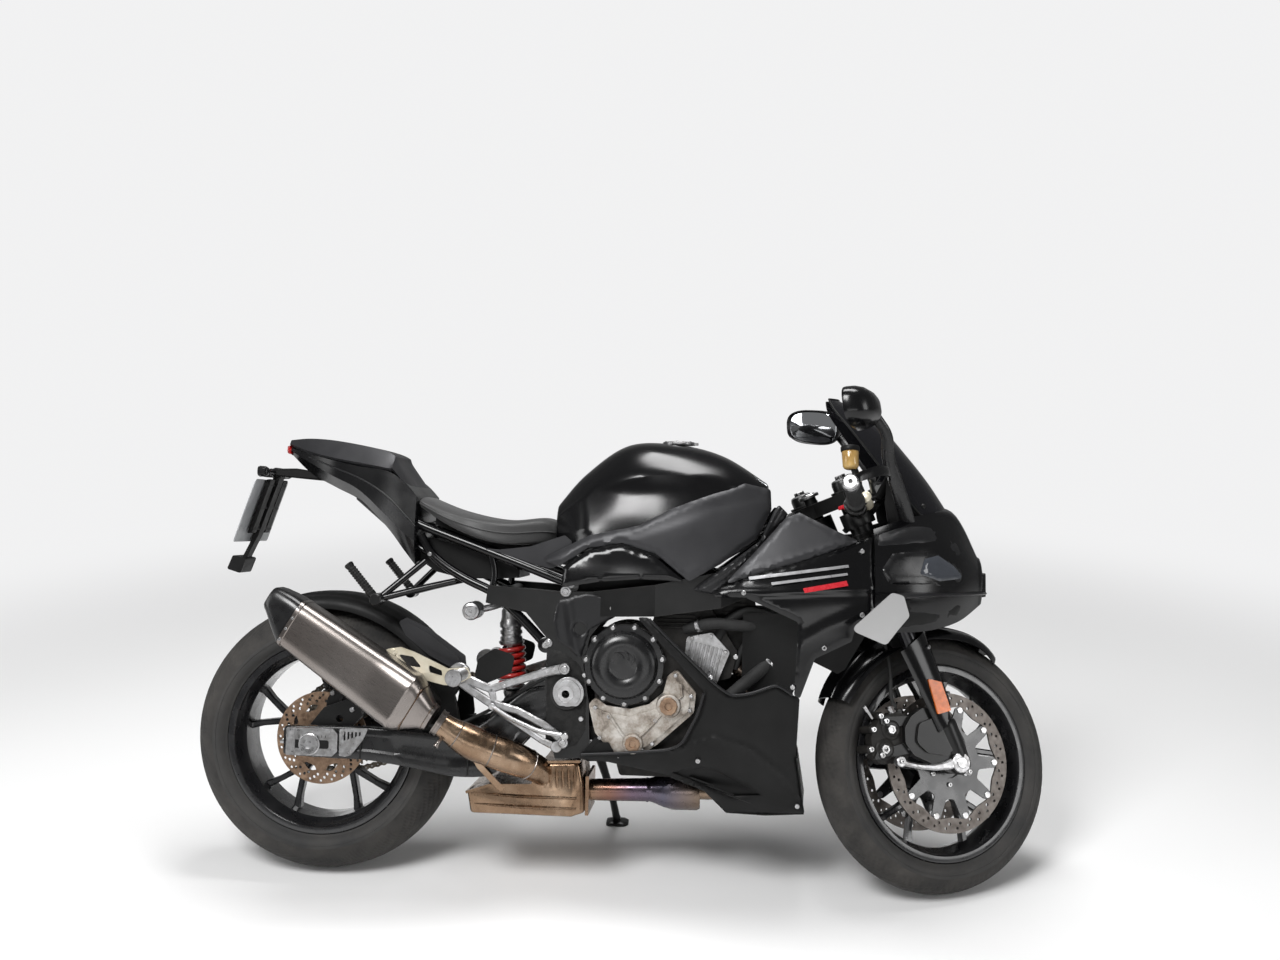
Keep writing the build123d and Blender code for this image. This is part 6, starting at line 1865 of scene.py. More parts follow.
def make_calipers():
    """Four-piston calipers behind the fork legs, their lines and the reflectors."""
    body, bits, lines, reflectors = Shape(), Shape(), Shape(), Shape()
    outline = [
        (1240, 312), (1262, 296), (1326, 304), (1348, 330), (1362, 372), (1348, 404), (1306, 414), (1262, 400),
        (1238, 358),
    ]
    body.plate(outline, ROTOR_AT + 6, 104, corner=16)
    body.plate(
        [(1246, 318), (1264, 303), (1318, 310), (1340, 340), (1350, 376), (1336, 396), (1300, 404), (1266, 390)], 54,
        ROTOR_AT - 6, corner=14,
    )
    for x, z in ((1272, 330), (1290, 374)):
        body.lathe((x, 100, z), LEFT, [(0, 24), (5, 24), (8, 21), (9, 17), (7, 15), (7, 0.1)], 40)
    for x, z in ((1236, 330), (1244, 374), (1264, 404)):
        body.rod((x, 54, z), (x, 104, z), 9, 20)
    body.mirror().to(
        "caliper_bodies", "engine_dark", "black_metal", "steering", replaces="front_calipers", bevel=0.003, smooth=40,
    )
    bits.bolts(at_side(104, ((1236, 330), (1244, 374), (1264, 404), (1306, 306))), LEFT, 6.5, 6)
    for x, z in ((1272, 330), (1290, 374)):
        bits.lathe((x, 106, z), LEFT, [(0, 11), (3, 11), (4, 10), (4, 6), (2, 5.6), (2, 0.1)], 6)
    bits.rod((1250, 92, 398), (1236, 92, 418), 3.2, 14)
    bits.rod((1238, 92, 414), (1230, 92, 426), 4.6, 14)
    bits.lathe(
        (1300, 96, 412), HEAD_UP, [(0, 9), (3, 9), (3, 7), (9, 7), (9, 9), (12, 9), (12, 6), (16, 6), (16, 0.1)], 6,
    )
    bits.plate([(1256, 340), (1268, 350), (1262, 366), (1250, 358)], ROTOR_AT - 5, ROTOR_AT + 5)
    bits.tube([(1236, 80, 316), (1262, 80, 348), (1300, 80, 392)], 2.4, 10, 8)
    bits.mirror().to("caliper_fittings", "bright_steel", "bright_alloy", "steering", smooth=40)
    run = [(1306, 96, 424), (1300, 92, 450), (1312, 78, 520), (1298, 66, 600), (1272, 56, 680), (1252, 40, 742)]
    lines.tube(run, 4.4, 14, 40)
    lines.rod((1306, 96, 420), (1305, 95, 434), 6.4, 16)
    lines.mirror()
    lines.tube([(1254, -42, 740), (1250, -20, 752), (1250, 20, 752), (1254, 42, 740)], 4.4, 14, 14)
    lines.to("brake_lines", "rubber", body="steering", smooth=60)
    reflectors.plate([(1372, 488), (1407, 481), (1429, 417), (1394, 408)], 134.5, 139, corner=3)
    reflectors.mirror().to("fork_reflectors", "lamp_amber", body="steering", bevel=0.001)


def make_mudguard():
    """An arched skin with a raised spine, and a guard wrapped round the front of each leg."""
    centre = FRONT_AXLE
    section = (
        (81, 286), (80, 292), (76, 300), (66, 308), (52, 313.5), (40, 316.5), (37, 320), (20, 321), (0, 321.5),
        (-20, 321), (-37, 320), (-40, 316.5), (-52, 313.5), (-66, 308), (-76, 300), (-80, 292), (-81, 286),
    )
    rings = []
    for k in range(49):
        t = math.radians(56 + 96 * k / 48)
        front, back = max(0, 1 - k / 9), max(0, 1 - (48 - k) / 10)
        narrow = 1 - 0.34 * front**1.6 - 0.2 * back**1.6
        lift = -8 * front**2 - 4 * back**2
        rings.append([around(centre.x, y * narrow, centre.z, r + lift, t) for y, r in section])
    skin = Shape().rings(rings, closed=False)
    skin.to("front_guard", "gloss_black", body="steering", replaces="front_mudguard", thick=-0.003, smooth=38)
    wrap = (
        (4, -34), (20, -33), (33, -28), (38, -16), (39, 0), (36, 14), (26, 24), (10, 29), (-12, 30), (-30, 28),
        (-40, 22),
    )
    guards = Shape()
    rings = []
    for k in range(13):
        f = k / 12
        height = 436 + 176 * f
        wide = 0.84 + 0.28 * f
        slant = -26 * (1 - f) ** 2
        rings.append([leg(height + slant * (out < 0) + 0.28 * out, out * wide, side) for out, side in wrap])
    guards.rings(rings, closed=False).mirror()
    guards.to("leg_guards", "gloss_black", body="steering", thick=0.0028, smooth=40)
    ties = Shape().plate([(1392, 452), (1424, 452), (1406, 540), (1368, 540)], 72, 84, corner=6)
    ties.plate([(1318, 560), (1392, 574), (1384, 604), (1300, 600)], 66, 84, corner=8)
    ties.mirror().to("guard_stays", "matte_black", body="steering", bevel=0.001)
    bolts = Shape().bolts([leg(470, 26, 24.5), leg(584, 26, 25)], (0.4, 1, 0), 5, 4)
    bolts.mirror().to("guard_bolts", "bright_steel", "bright_alloy", "steering", smooth=40)


# ---------------------------------------------------------------- bars, controls, mirrors, display
def make_clamps():
    nut, bolts = Shape(), Shape()
    nut.lathe(head(1004), HEAD_UP, bored(19, (0, 24), (2, 25), (6, 25), (8, 23)), 40)
    nut.lathe(head(1010), HEAD_UP, bored(9.6, (-3, 17), (3, 17), (4, 16)), 6)
    nut.to("stem_nut", "bright_alloy", body="steering", smooth=30)
    for side in (1, -1):
        for height in (964, 980):
            bolts.bolts([head(height, 78, side * 92)], HEAD_OUT, 6, 6)
        bolts.bolts([head(788, 78, side * 92), head(802, 78, side * 92)], HEAD_OUT, 6, 6)
        bolts.bolts([head(919, LEG_OUT + 36, side * 105)], HEAD_OUT, 5.5, 5)
    bolts.to("clamp_bolts", "bright_steel", "bright_alloy", "steering", smooth=40)
    rims = Shape()
    for height, profile in (
        (988, bored(28, (0, 34), (1.5, 35.5), (5, 35.5), (6, 34))),
        (900, bored(28, (0, 37), (2, 38), (36, 38), (38, 37))),
    ):
        for side in (1, -1):
            rims.lathe(head(height, LEG_OUT, side * LEG_SPACING), HEAD_UP, profile, 48)
    rims.to("clamp_rims", "black_metal", body="steering")


def make_bars():
    """Grips with rings of ribs, levers, switch blocks, the fluid pot and the lever guard."""
    grips = Shape()
    profile = [(0, 21), (3, 22), (6, 20), (8, 16.8), *ribs(20, 10, 5.2, 17.2, 15.8, 2.6, (0.4, 2.2))]
    profile += [(116, 17), (119, 18.5), (122, 17)]
    grips.lathe(BAR_TIP - BAR_WAY * 126, BAR_WAY, profile, 36)
    grips.mirror().to("grip_rubbers", "rubber", body="steering", replaces="grips", smooth=30)
    ends = Shape().lathe(
        BAR_TIP, BAR_WAY, [(-2, 12), (-2, 17), (0, 18.5), (12, 18.5), (13, 16), (15, 16), (16, 18), (22, 18),
        (26, 14), (26, 5), (22, 4.6), (22, 0.1)], 40,
    )
    ends.mirror().to("bar_ends", "bright_steel", "bright_alloy", "steering", smooth=32)

    ahead, up = Vector(HEAD_OUT), BAR_WAY.cross(Vector(HEAD_OUT)).normalized()
    up = up if up.z > 0 else -up
    perch = BAR_TIP - BAR_WAY * 146
    clamps, levers, pots = Shape(), Shape(), Shape()
    clamps.lathe(perch - BAR_WAY * 14, BAR_WAY, bored(12, (0, 18), (2, 20), (22, 20), (24, 18)), 36)
    arm = [perch + ahead * 14, perch + ahead * 30 + BAR_WAY * 4, perch + ahead * 44 + BAR_WAY * 12]
    clamps.tube(arm, lambda t: 13 - 3 * t, 18)
    clamps.lathe(perch + ahead * 42 + BAR_WAY * 12 - up * 11, up, [(0, 8), (1, 12), (21, 12), (22, 8), (22, 0.1)], 28)
    clamps.lathe(perch - BAR_WAY * 46, BAR_WAY, bored(12, (0, 19), (2, 22), (24, 22), (27, 19)), 32)
    section = (
        (24, 10), (20, 20), (6, 25), (-12, 24), (-25, 16), (-28, 2), (-24, -14), (-10, -23), (8, -22), (21, -12),
    )
    rings = []
    for along, share in ((-50, 0.72), (-46, 0.95), (-34, 1.0), (-20, 0.96), (-16, 0.76)):
        middle = perch + BAR_WAY * along - ahead * 4 + up * 2
        rings.append([middle + (ahead * a + up * b) * share for a, b in section])
    clamps.rings(rings)
    clamps.mirror().to("control_perches", "black_metal", body="steering", replaces="hand_controls", bevel=0.0015)
    blade = [
        perch + ahead * 44 + BAR_WAY * 10, perch + ahead * 52 + BAR_WAY * 24, perch + ahead * 50 + BAR_WAY * 60,
        perch + ahead * 50 + BAR_WAY * 110, BAR_TIP + ahead * 56 - BAR_WAY * 22, BAR_TIP + ahead * 52 + BAR_WAY * 4,
    ]
    levers.tube(blade, lambda t: 8.6 - 3.6 * math.sin(math.pi * min(t * 1.15, 1)) ** 0.7, 18, 26)
    levers.lathe(blade[-1], BAR_WAY, [(-8, 4), (-6, 6.5), (-2, 8.4), (2, 8.6), (6, 7), (9, 3), (9, 0.1)], 24)
    levers.mirror().to("hand_levers", "black_metal", body="steering", smooth=60)

    guard = [
        BAR_TIP + BAR_WAY * 20, BAR_TIP + BAR_WAY * 30 + ahead * 22, BAR_TIP + BAR_WAY * 20 + ahead * 74,
        BAR_TIP - BAR_WAY * 14 + ahead * 102, BAR_TIP - BAR_WAY * 64 + ahead * 100,
    ]
    path = smooth_path([opposite(p) for p in guard], 34, 8)
    rings, last = [], len(path) - 1
    rise = Vector((-0.09, 0, 1.0)).normalized()
    section = ((1, 0.55), (0.6, 1), (-0.6, 1), (-1, 0.55), (-1, -0.55), (-0.6, -1), (0.6, -1), (1, -0.55))
    for k, (point, way) in enumerate(travel(path)):
        across = way.cross(rise).normalized()
        tall = 7 + 4.5 * math.sin(math.pi * k / last)
        rings.append([point + rise * (tall * b) + across * (3.6 * a) for a, b in section])
    Shape().rings(rings).to("lever_guard", "gloss_black", "black_metal", "steering", smooth=40)

    pot = Vector((1158, -200, 950))
    pots.lathe(pot, UP, [(0, 11), (2, 15), (6, 18), (40, 19.5), (42, 18.5)], 40)
    pots.to("fluid_pot", "fluid", "lens", "steering", smooth=40)
    lid = Shape().lathe(
        pot + Vector((0, 0, 41)), UP, [(0, 20.5), (2, 21.5), (10, 21.5), (12, 20), (13, 14), (12, 12), (12, 0.1)], 40,
    )
    lid.tube([opposite(perch) + ahead * 30, Vector((1180, -204, 900)), pot + Vector((4, 0, 6))], 5.5, 16, 18)
    lid.tube(
        [pot + Vector((14, 4, 4)), Vector((1186, -190, 930)), Vector((1196, -170, 884)), Vector((1214, -150, 866))],
        5, 14, 18,
    )
    lid.to("pot_lid", "matte_black", "rubber", "steering", smooth=40)
    cylinder = Shape().lathe(
        opposite(perch) + ahead * 30, opposite(BAR_WAY) * -1,
        [(-22, 8), (-20, 12), (0, 14), (44, 14), (46, 11), (58, 10), (60, 7), (60, 0.1)], 32,
    )
    cylinder.to("master_cylinder", "champagne", "cast_alloy", "steering")

    switches = Shape()
    for side in (1, -1):
        spot = perch - BAR_WAY * 36 + up * 25 - ahead * 4
        switches.lathe(
            (spot.x, spot.y * side, spot.z), (up.x, up.y * side, up.z), [(0, 7), (3, 7), (4, 6), (4, 0.1)], 20,
        )
    red = Shape()
    spot = perch - BAR_WAY * 34 + up * 12 - ahead * 27
    red.plate(
        [(spot.x - 10, spot.z - 6), (spot.x + 10, spot.z - 2), (spot.x + 10, spot.z + 7), (spot.x - 10, spot.z + 3)],
        -spot.y - 12, -spot.y + 12, corner=2,
    )
    red.to("stop_switch", "stripe_red", "lamp_red", "steering", bevel=0.0015)
    switches.to("switch_buttons", "bright_steel", "bright_alloy", "steering")
    hoses, right = Shape(), opposite(perch)
    for radius, bend, *line in (
        (
            4.6, 40, perch + ahead * 42 - BAR_WAY * 8, perch + ahead * 56 - BAR_WAY * 50, (1252, 96, 880),
            (1262, 62, 820),
        ),
        (4.6, 40, right + ahead * 32 + Vector((24, 46, -2)), (1256, -120, 880), (1270, -62, 842), (1262, -40, 760)),
        (5.5, 24, perch - BAR_WAY * 44 - ahead * 2, (1196, 130, 866), (1208, 84, 852), (1226, 60, 838)),
        (5.5, 24, right + Vector((30, 40, -4)) - ahead * 12, (1196, -130, 866), (1208, -84, 852), (1226, -60, 838)),
    ):
        hoses.tube(line, radius, 14, bend)
    hoses.to("bar_hoses", "rubber", body="steering", smooth=60)


def make_mirrors():
    """Teardrop shells on curved arms, their glass set into the rear face, the left one turned in."""
    shell, glass, arms = Shape(), Shape(), Shape()
    face = []
    for t in turns(40):
        c, s = math.cos(t), math.sin(t)
        y = 74 * math.copysign(abs(c) ** 0.72, c)
        z = 45 * math.copysign(abs(s) ** 0.66, s)
        z *= 1 - 0.16 * (y / 74) if z < 0 else 1 + 0.1 * (y / 74)
        face.append((y, z))
    depths = (
        (-24, 0.9, 0), (-29, 0.96, 0), (-30, 1.0, 0), (-24, 1.01, 0), (-8, 0.97, 0), (8, 0.86, 1), (20, 0.66, 2),
        (27, 0.42, 3), (30, 0.14, 4),
    )
    panes = ((-24.5, 0.88), (-26, 0.88), (-26.5, 0.86))
    for way, centre, yaw in ((-1, Vector((1254, 300, 1116)), 20), (1, Vector((1190, 300, 1118)), 62)):
        turn = Matrix.Rotation(math.radians(yaw), 3, "Z") @ Matrix.Rotation(math.radians(-10), 3, "Y")

        def put(x, y, z):
            p = centre + turn @ Vector((x, y, z))
            return Vector((p.x, p.y * way, p.z))

        shell.rings([[put(x, y * share, z * share - drop) for y, z in face] for x, share, drop in depths])
        glass.rings([[put(x, y * share, z * share) for y, z in face] for x, share in panes])
        inner = centre + turn @ Vector((8, -52, -22))
        route = [(1384, 112, 836), (1346, 176, 934), (1314, 208, 1010), inner + Vector((28, -18, -36)), inner]
        path = smooth_path(route, 50, 8)
        rings, last = [], len(path) - 1
        for k, (point, ahead) in enumerate(travel(path)):
            side = ahead.cross(Vector((1, 0.2, 0.3))).normalized()
            deep = ahead.cross(side)
            wide, thin = 17 - 5 * k / last, 8.5 - 1.5 * k / last
            ring = [point + side * (thin * math.cos(a)) + deep * (wide * math.sin(a)) for a in turns(20)]
            rings.append([(p.x, p.y * way, p.z) for p in ring])
        arms.rings(rings)
        low, high = sorted((way * 92, way * 128))
        arms.plate([(1350, 826), (1420, 834), (1414, 858), (1368, 868), (1344, 850)], low, high, corner=10)
    shell.to("mirror_shells", "gloss_black", replaces="mirrors", smooth=50)
    glass.to("mirror_glass", "mirror", "bright_steel", smooth=30)
    arms.to("mirror_arms", "satin_black", "gloss_black", smooth=60)


def make_display():
    """The instrument: a wide dark glass in a bezel, facing the rider."""
    down, up = Vector((1306, 0, 920)), Vector((1342, 0, 989))
    rise = (up - down).normalized()
    out = Vector((-rise.z, 0, rise.x))
    middle = (up + down) / 2
    case, face = Shape(), Shape()

    def ring(wide, tall, deep):
        loop = rounded([(-wide, -tall), (wide, -tall), (wide, tall), (-wide, tall)], 9)
        return [middle + Vector((0, p.x, 0)) + rise * p.y + out * deep for p in loop]

    case.rings(
        [ring(62, 26, -18), ring(76, 36, -10), ring(80, 39, -2), ring(80, 39, 5), ring(78.5, 37.5, 7),
        ring(75, 34, 7), ring(74, 33, 4)]
    )
    case.to("display_case", "matte_black", replaces="display")
    face.rings([ring(74.5, 33.5, 3), ring(74.5, 33.5, 5.2), ring(74, 33, 5.6)])
    face.to("display_glass", "screen", smooth=30)
    stalk = Shape()
    for side in (-1, 1):
        stalk.tube(
            [(1240, side * 16, 842), (1262, side * 16, 866), (1300, side * 20, 884), (1318, side * 26, 912)], 6, 14,
            20,
        )
    stalk.to("display_loom", "rubber", smooth=60)


# ---------------------------------------------------------------- swingarm, rear brake, hugger
ARM_ROWS = (
    # x, inner y, outer y, lower z, upper z
    (-62, 126, 148, 300, 352), (-56, 124, 150, 292, 360), (40, 122.5, 151, 288, 362), (136, 122, 152, 286, 362),
    (240, 122, 152, 272, 358), (330, 122, 152, 257, 354), (390, 120, 149, 256, 372), (430, 116, 144, 264, 400),
    (470, 107, 136, 300, 434), (510, 98, 126, 350, 462), (560, 96, 124, 380, 471), (600, 96, 124, 404, 475),
    (626, 96, 124, 424, 474),
)


def make_swingarm():
    arms = Shape()
    for side in (1, -1):
        rings = []
        for k in range(61):
            t = k / 60 * (len(ARM_ROWS) - 1)
            x, inner, outer, low, high = (spline([row[i] for row in ARM_ROWS], t) for i in range(5))
            if side > 0 and x > 380:
                inner = max(inner, 122.6)
            tall, soft = high - low, min(6.0, (outer - inner) * 0.35)
            dish = 3.5 * min(1, max(0, (x - 74) / 20)) * min(1, (outer - inner) / 14)
            ring = [
                (outer - soft, high), (outer - soft * 0.3, high - soft * 0.3), (outer, high - soft),
                (outer, high - 0.2 * tall), (outer - dish, high - 0.27 * tall), (outer - dish, low + 0.34 * tall),
                (outer, low + 0.27 * tall), (outer, low + soft), (outer - soft * 0.3, low + soft * 0.3),
                (outer - soft, low), (inner + soft, low),
                (inner, low + soft), (inner, high - soft), (inner + soft, high),
            ]
            rings.append([(x, y * side, z) for y, z in ring])
        arms.rings(rings)
    arms.plate([(385, 330), (470, 320), (516, 360), (510, 378), (412, 378), (398, 352)], -118, 94, corner=8)
    flank = [(385, 330), (470, 320), (560, 400), (560, 480), (505, 476), (420, 400)]
    arms.plate(flank, 44, 94, corner=12)
    arms.plate(flank, -118, -44, corner=12)
    arms.lathe((SWING_AXLE[0], -96, SWING_AXLE[1]), LEFT, bored(16, (0, 29), (3, 32), (189, 32), (192, 29)), 56)
    for side in (1, -1):
        arms.lathe(
            (SWING_AXLE[0], side * 96, SWING_AXLE[1]), (0, side, 0), bored(15.4, (0, 20), (30, 20), (31.5, 18.5)), 40,
        )
    arms.rod((448, -50, 420), (448, 50, 420), 14, 28)
    arms.to("swingarm_beams", "satin_black", "black_metal", replaces="swingarm", bevel=0.0015, smooth=38)
    welds = Shape()
    for side in (1, -1):
        for x in (118, 372):
            row = place_in([row[0] for row in ARM_ROWS], x)
            inner, outer, low, high = (spline([r[i] for r in ARM_ROWS], row) for i in (1, 2, 3, 4))
            loop = [(outer + 0.4, low + 4), (outer + 0.4, high - 4), (outer - 6, high + 0.4), (inner + 6, high + 0.4)]
            welds.tube([(x + 3 * math.sin(i * 0.9), side * y, z) for i, (y, z) in enumerate(loop)], 2.2, 10, 5)
    welds.to("swingarm_welds", "black_metal", smooth=60)

    plates, slots, screws = Shape(), Shape(), Shape()
    hole = circle(0, REAR_RADIUS, 15, 32)
    plates.plate(
        [(-56, 294), (54, 294), (66, 306), (66, 346), (54, 358), (-56, 358)], 152.4, 159, [hole], corner=4,
    )
    plates.plate([(-54, 296), (-34, 296), (-34, 356), (-54, 356)], 158, 161, corner=2)
    for z in (345, 300):
        plates.plate([(-30, z), (50, z), (50, z + 7), (-30, z + 7)], 158.4, 160.4, corner=2)
    gill = [
        [
            (80 + 9 * k, 352), (84.5 + 9 * k, 352), (84.5 + 9 * k, 333 + 3 * k), (80 + 9 * k, 330 + 3 * k),
        ] for k in range(5)
    ]
    plates.plate([(70, 358), (138, 362), (126, 334), (98, 298), (84, 294), (70, 296)], 153, 157, gill, corner=4)
    plates.mirror().to("adjuster_plates", "bright_alloy", replaces="chain_adjusters", bevel=0.0008, smooth=40)
    slots.plate([(-46, 311), (46, 311), (46, 331), (-46, 331)], 158.6, 159.4, corner=6)
    for k in range(8):
        x, z = -26 + 9 * k, 337 - 4 * (k % 4 == 0)
        slots.plate([(x, 342), (x + 1.5, 342), (x + 1.5, z), (x, z)], 158.8, 159.5)
    slots.mirror().to("adjuster_marks", "black_metal")
    for way in (1, -1):
        screws.lathe((0, way * 158.6, REAR_RADIUS), (0, way, 0), bored(14.4, (0, 24), (2, 25), (3, 25), (4, 23)), 44)
        screws.lathe((0, way * 162, REAR_RADIUS), (0, way, 0), bored(10.4, (0, 21.5), (4.5, 21.5), (6, 20)), 6)
        screws.lathe(
            (-60, way * 137, REAR_RADIUS), (-1, 0, 0), [(0, 9), (6, 9), (6, 5), (16, 5), (17, 4), (17, 0.1)], 6,
        )
        screws.bolts([(78, way * 157, 350), (96, way * 157, 306)], (0, way, 0), 4.2, 3)
    screws.to("axle_nuts", "bright_steel")


def make_rear_brake():
    body, bits = Shape(), Shape()
    body.plate(
        [(14, 384), (40, 372), (106, 376), (126, 416), (110, 444), (84, 452), (36, 444), (20, 420)], -96, -75,
        corner=12,
    )
    body.plate([(20, 388), (44, 380), (100, 384), (116, 416), (98, 440), (40, 436)], -56, -44, corner=12)
    body.lathe((72, -90, 414), RIGHT, [(0, 23), (8, 23), (12, 20), (13, 16), (11, 14), (11, 0.1)], 40)
    body.rod((32, -96, 432), (32, -44, 432), 8, 20)
    body.rod((108, -96, 424), (108, -44, 424), 8, 20)
    body.plate(
        [(-29, 308), (-18, 291), (24, 291), (112, 384), (100, 430), (20, 402), (-29, 340)], -120, -97,
        [circle(0, REAR_RADIUS, 20.6, 32), circle(58, 376, 9, 20)], corner=10,
    )
    body.to("rear_caliper_body", "black_metal", replaces="rear_caliper", bevel=0.002, smooth=40)
    bits.bolts([(32, -96, 432), (108, -96, 424), (88, -120, 398)], RIGHT, 6, 5)
    bits.rod((118, -86, 440), (128, -86, 452), 4, 14)
    bits.lathe((52, -86, 447), (0.1, 0, 1), [(0, 8), (3, 8), (3, 6), (9, 6), (9, 8), (12, 8), (12, 0.1)], 6)
    bits.to("rear_caliper_fittings", "bright_steel", "bright_alloy", smooth=40)
    hose = Shape().tube(
        [(56, -88, 458), (92, -108, 470), (150, -122, 420), (240, -136, 372), (330, -138, 366), (420, -132, 410),
        (520, -122, 474), (572, -132, 500)], 4.2, 14, 40,
    )
    for x, y, z in ((180, -129, 404), (330, -137, 366)):
        hose.box((x - 5, y - 6, z - 6), (x + 5, y + 6, z + 6))
    hose.to("rear_brake_line", "rubber", smooth=50)
    ring = Shape()
    for t in turns(5, 0.5):
        ring.lathe(
            around(0, 112, REAR_RADIUS, 62, t), LEFT, [(0, 7.5), (5, 7.5), (6, 6.5), (6, 3.6), (9, 3.4), (9, 0.1)], 6,
        )
    ring.to("sprocket_nuts", "bright_steel", body="rear_wheel")


def make_hugger():
    """The rear mudguard close over the tyre, and the deflector ahead of it."""
    section = (
        (97, 311), (97, 320), (95, 328), (88, 336), (74, 341), (52, 344), (46, 347), (20, 348.5), (0, 349),
        (-20, 348.5), (-46, 347), (-52, 344), (-74, 341), (-88, 336), (-95, 328), (-97, 320), (-97, 311),
    )
    rings = []
    for k in range(49):
        t = math.radians(22 + 92 * k / 48)
        end = max(0, 1 - (48 - k) / 8)
        rings.append([around(0, y * (1 - 0.3 * end**1.7), REAR_RADIUS, r - 5 * end**2, t) for y, r in section])
    skin = Shape().rings(rings, closed=False)
    skin.to("hugger_skin", "matte_black", replaces="rear_hugger", thick=-0.003, smooth=38)
    stays = Shape().plate(
        [(236, 500), (262, 520), (318, 470), (330, 420), (338, 362), (286, 362), (296, 420), (276, 460)], 94.5, 99,
        corner=12,
    )
    stays.plate([(262, 352), (330, 350), (334, 361), (262, 364)], 95, 136, corner=3)
    stays.mirror().to("hugger_stays", "matte_black", bevel=0.001)
    wedge = Shape().plate(
        [(186, 606), (206, 616), (262, 590), (348, 530), (352, 502), (330, 494), (262, 528), (204, 574)], -97, -90,
        corner=7,
    )
    wedge.plate(
        [(198, 602), (210, 606), (262, 580), (336, 526), (336, 510), (262, 544), (208, 584)], -99, -96, corner=5,
    )
    wedge.to("spray_wedge", "matte_grey", bevel=0.0015)
    stem = Shape().tube([(330, -92, 500), (342, -94, 470), (322, -97, 440)], 7, 14, 12)
    stem.to("wedge_stay", "matte_black", smooth=50)


# ---------------------------------------------------------------- subframe, pegs, plate, lamps, stand, cap
def make_subframe():
    rails = Shape().tube(
        [(604, 140, 706), (420, 122, 772), (240, 104, 834), (150, 82, 872), (70, 60, 908)], 11, 24, 70,
    )
    rails.tube(
        [(547, 142, 566), (481, 134, 631), (414, 124, 686), (362, 118, 706), (308, 112, 734), (262, 107, 768),
        (236, 104, 812)], 11, 24, 36,
    )
    rails.tube([(262, 107, 768), (200, 92, 800), (70, 58, 900)], 8, 20, 40)
    rails.tube([(250, 108, 752), (152, 150, 662)], 8, 20)
    rails.tube([(325, 116, 706), (240, 132, 686), (152, 150, 662)], 8, 20, 60)
    rails.tube([(414, 124, 686), (420, 122, 730), (408, 121, 774)], 8, 20, 20)
    rails.lathe((152, 138, 662), LEFT, [(0, 12), (1, 14), (24, 14), (25, 12), (25, 0.1)], 32)
    for spot in ((604, 130, 706), (547, 132, 566)):
        rails.lathe(spot, LEFT, [(0, 16), (1, 18), (20, 18), (21, 16), (21, 0.1)], 32)
    rails.mirror()
    rails.rod((240, -104, 834), (240, 104, 834), 9, 20)
    rails.rod((400, -123, 779), (400, 123, 779), 9, 20)
    rails.rod((70, -59, 908), (70, 59, 908), 9, 20)
    rails.to("subframe_rails", "gloss_black", replaces="subframe", smooth=50)
    bolts = Shape().bolts([(604, 151, 706), (547, 153, 566), (152, 163, 662)], LEFT, 8, 6)
    bolts.bolts([(414, 136, 686), (262, 118, 768)], LEFT, 5, 4)
    bolts.mirror().to("subframe_bolts", "bright_steel", "bright_alloy", smooth=40)
    pegs = Shape()
    foot, way = Vector((152, 174, 662)), Vector((-68, 0, 80)).normalized()
    pegs.lathe(foot - Vector((0, 11, 0)), LEFT, [(0, 9), (0, 13), (2, 14), (20, 14), (22, 12), (22, 0.1)], 32)
    profile = [(8, 8), (12, 10), *ribs(11, 18, 7, 10.4, 9, 3.5, (0.5, 3))]
    profile += [(98, 10.4), (104, 11), (106, 9), (106, 0.1)]
    pegs.lathe(foot, way, profile, 28)
    pegs.mirror().to("passenger_peg_bars", "black_metal", "bright_alloy", replaces="passenger_pegs")


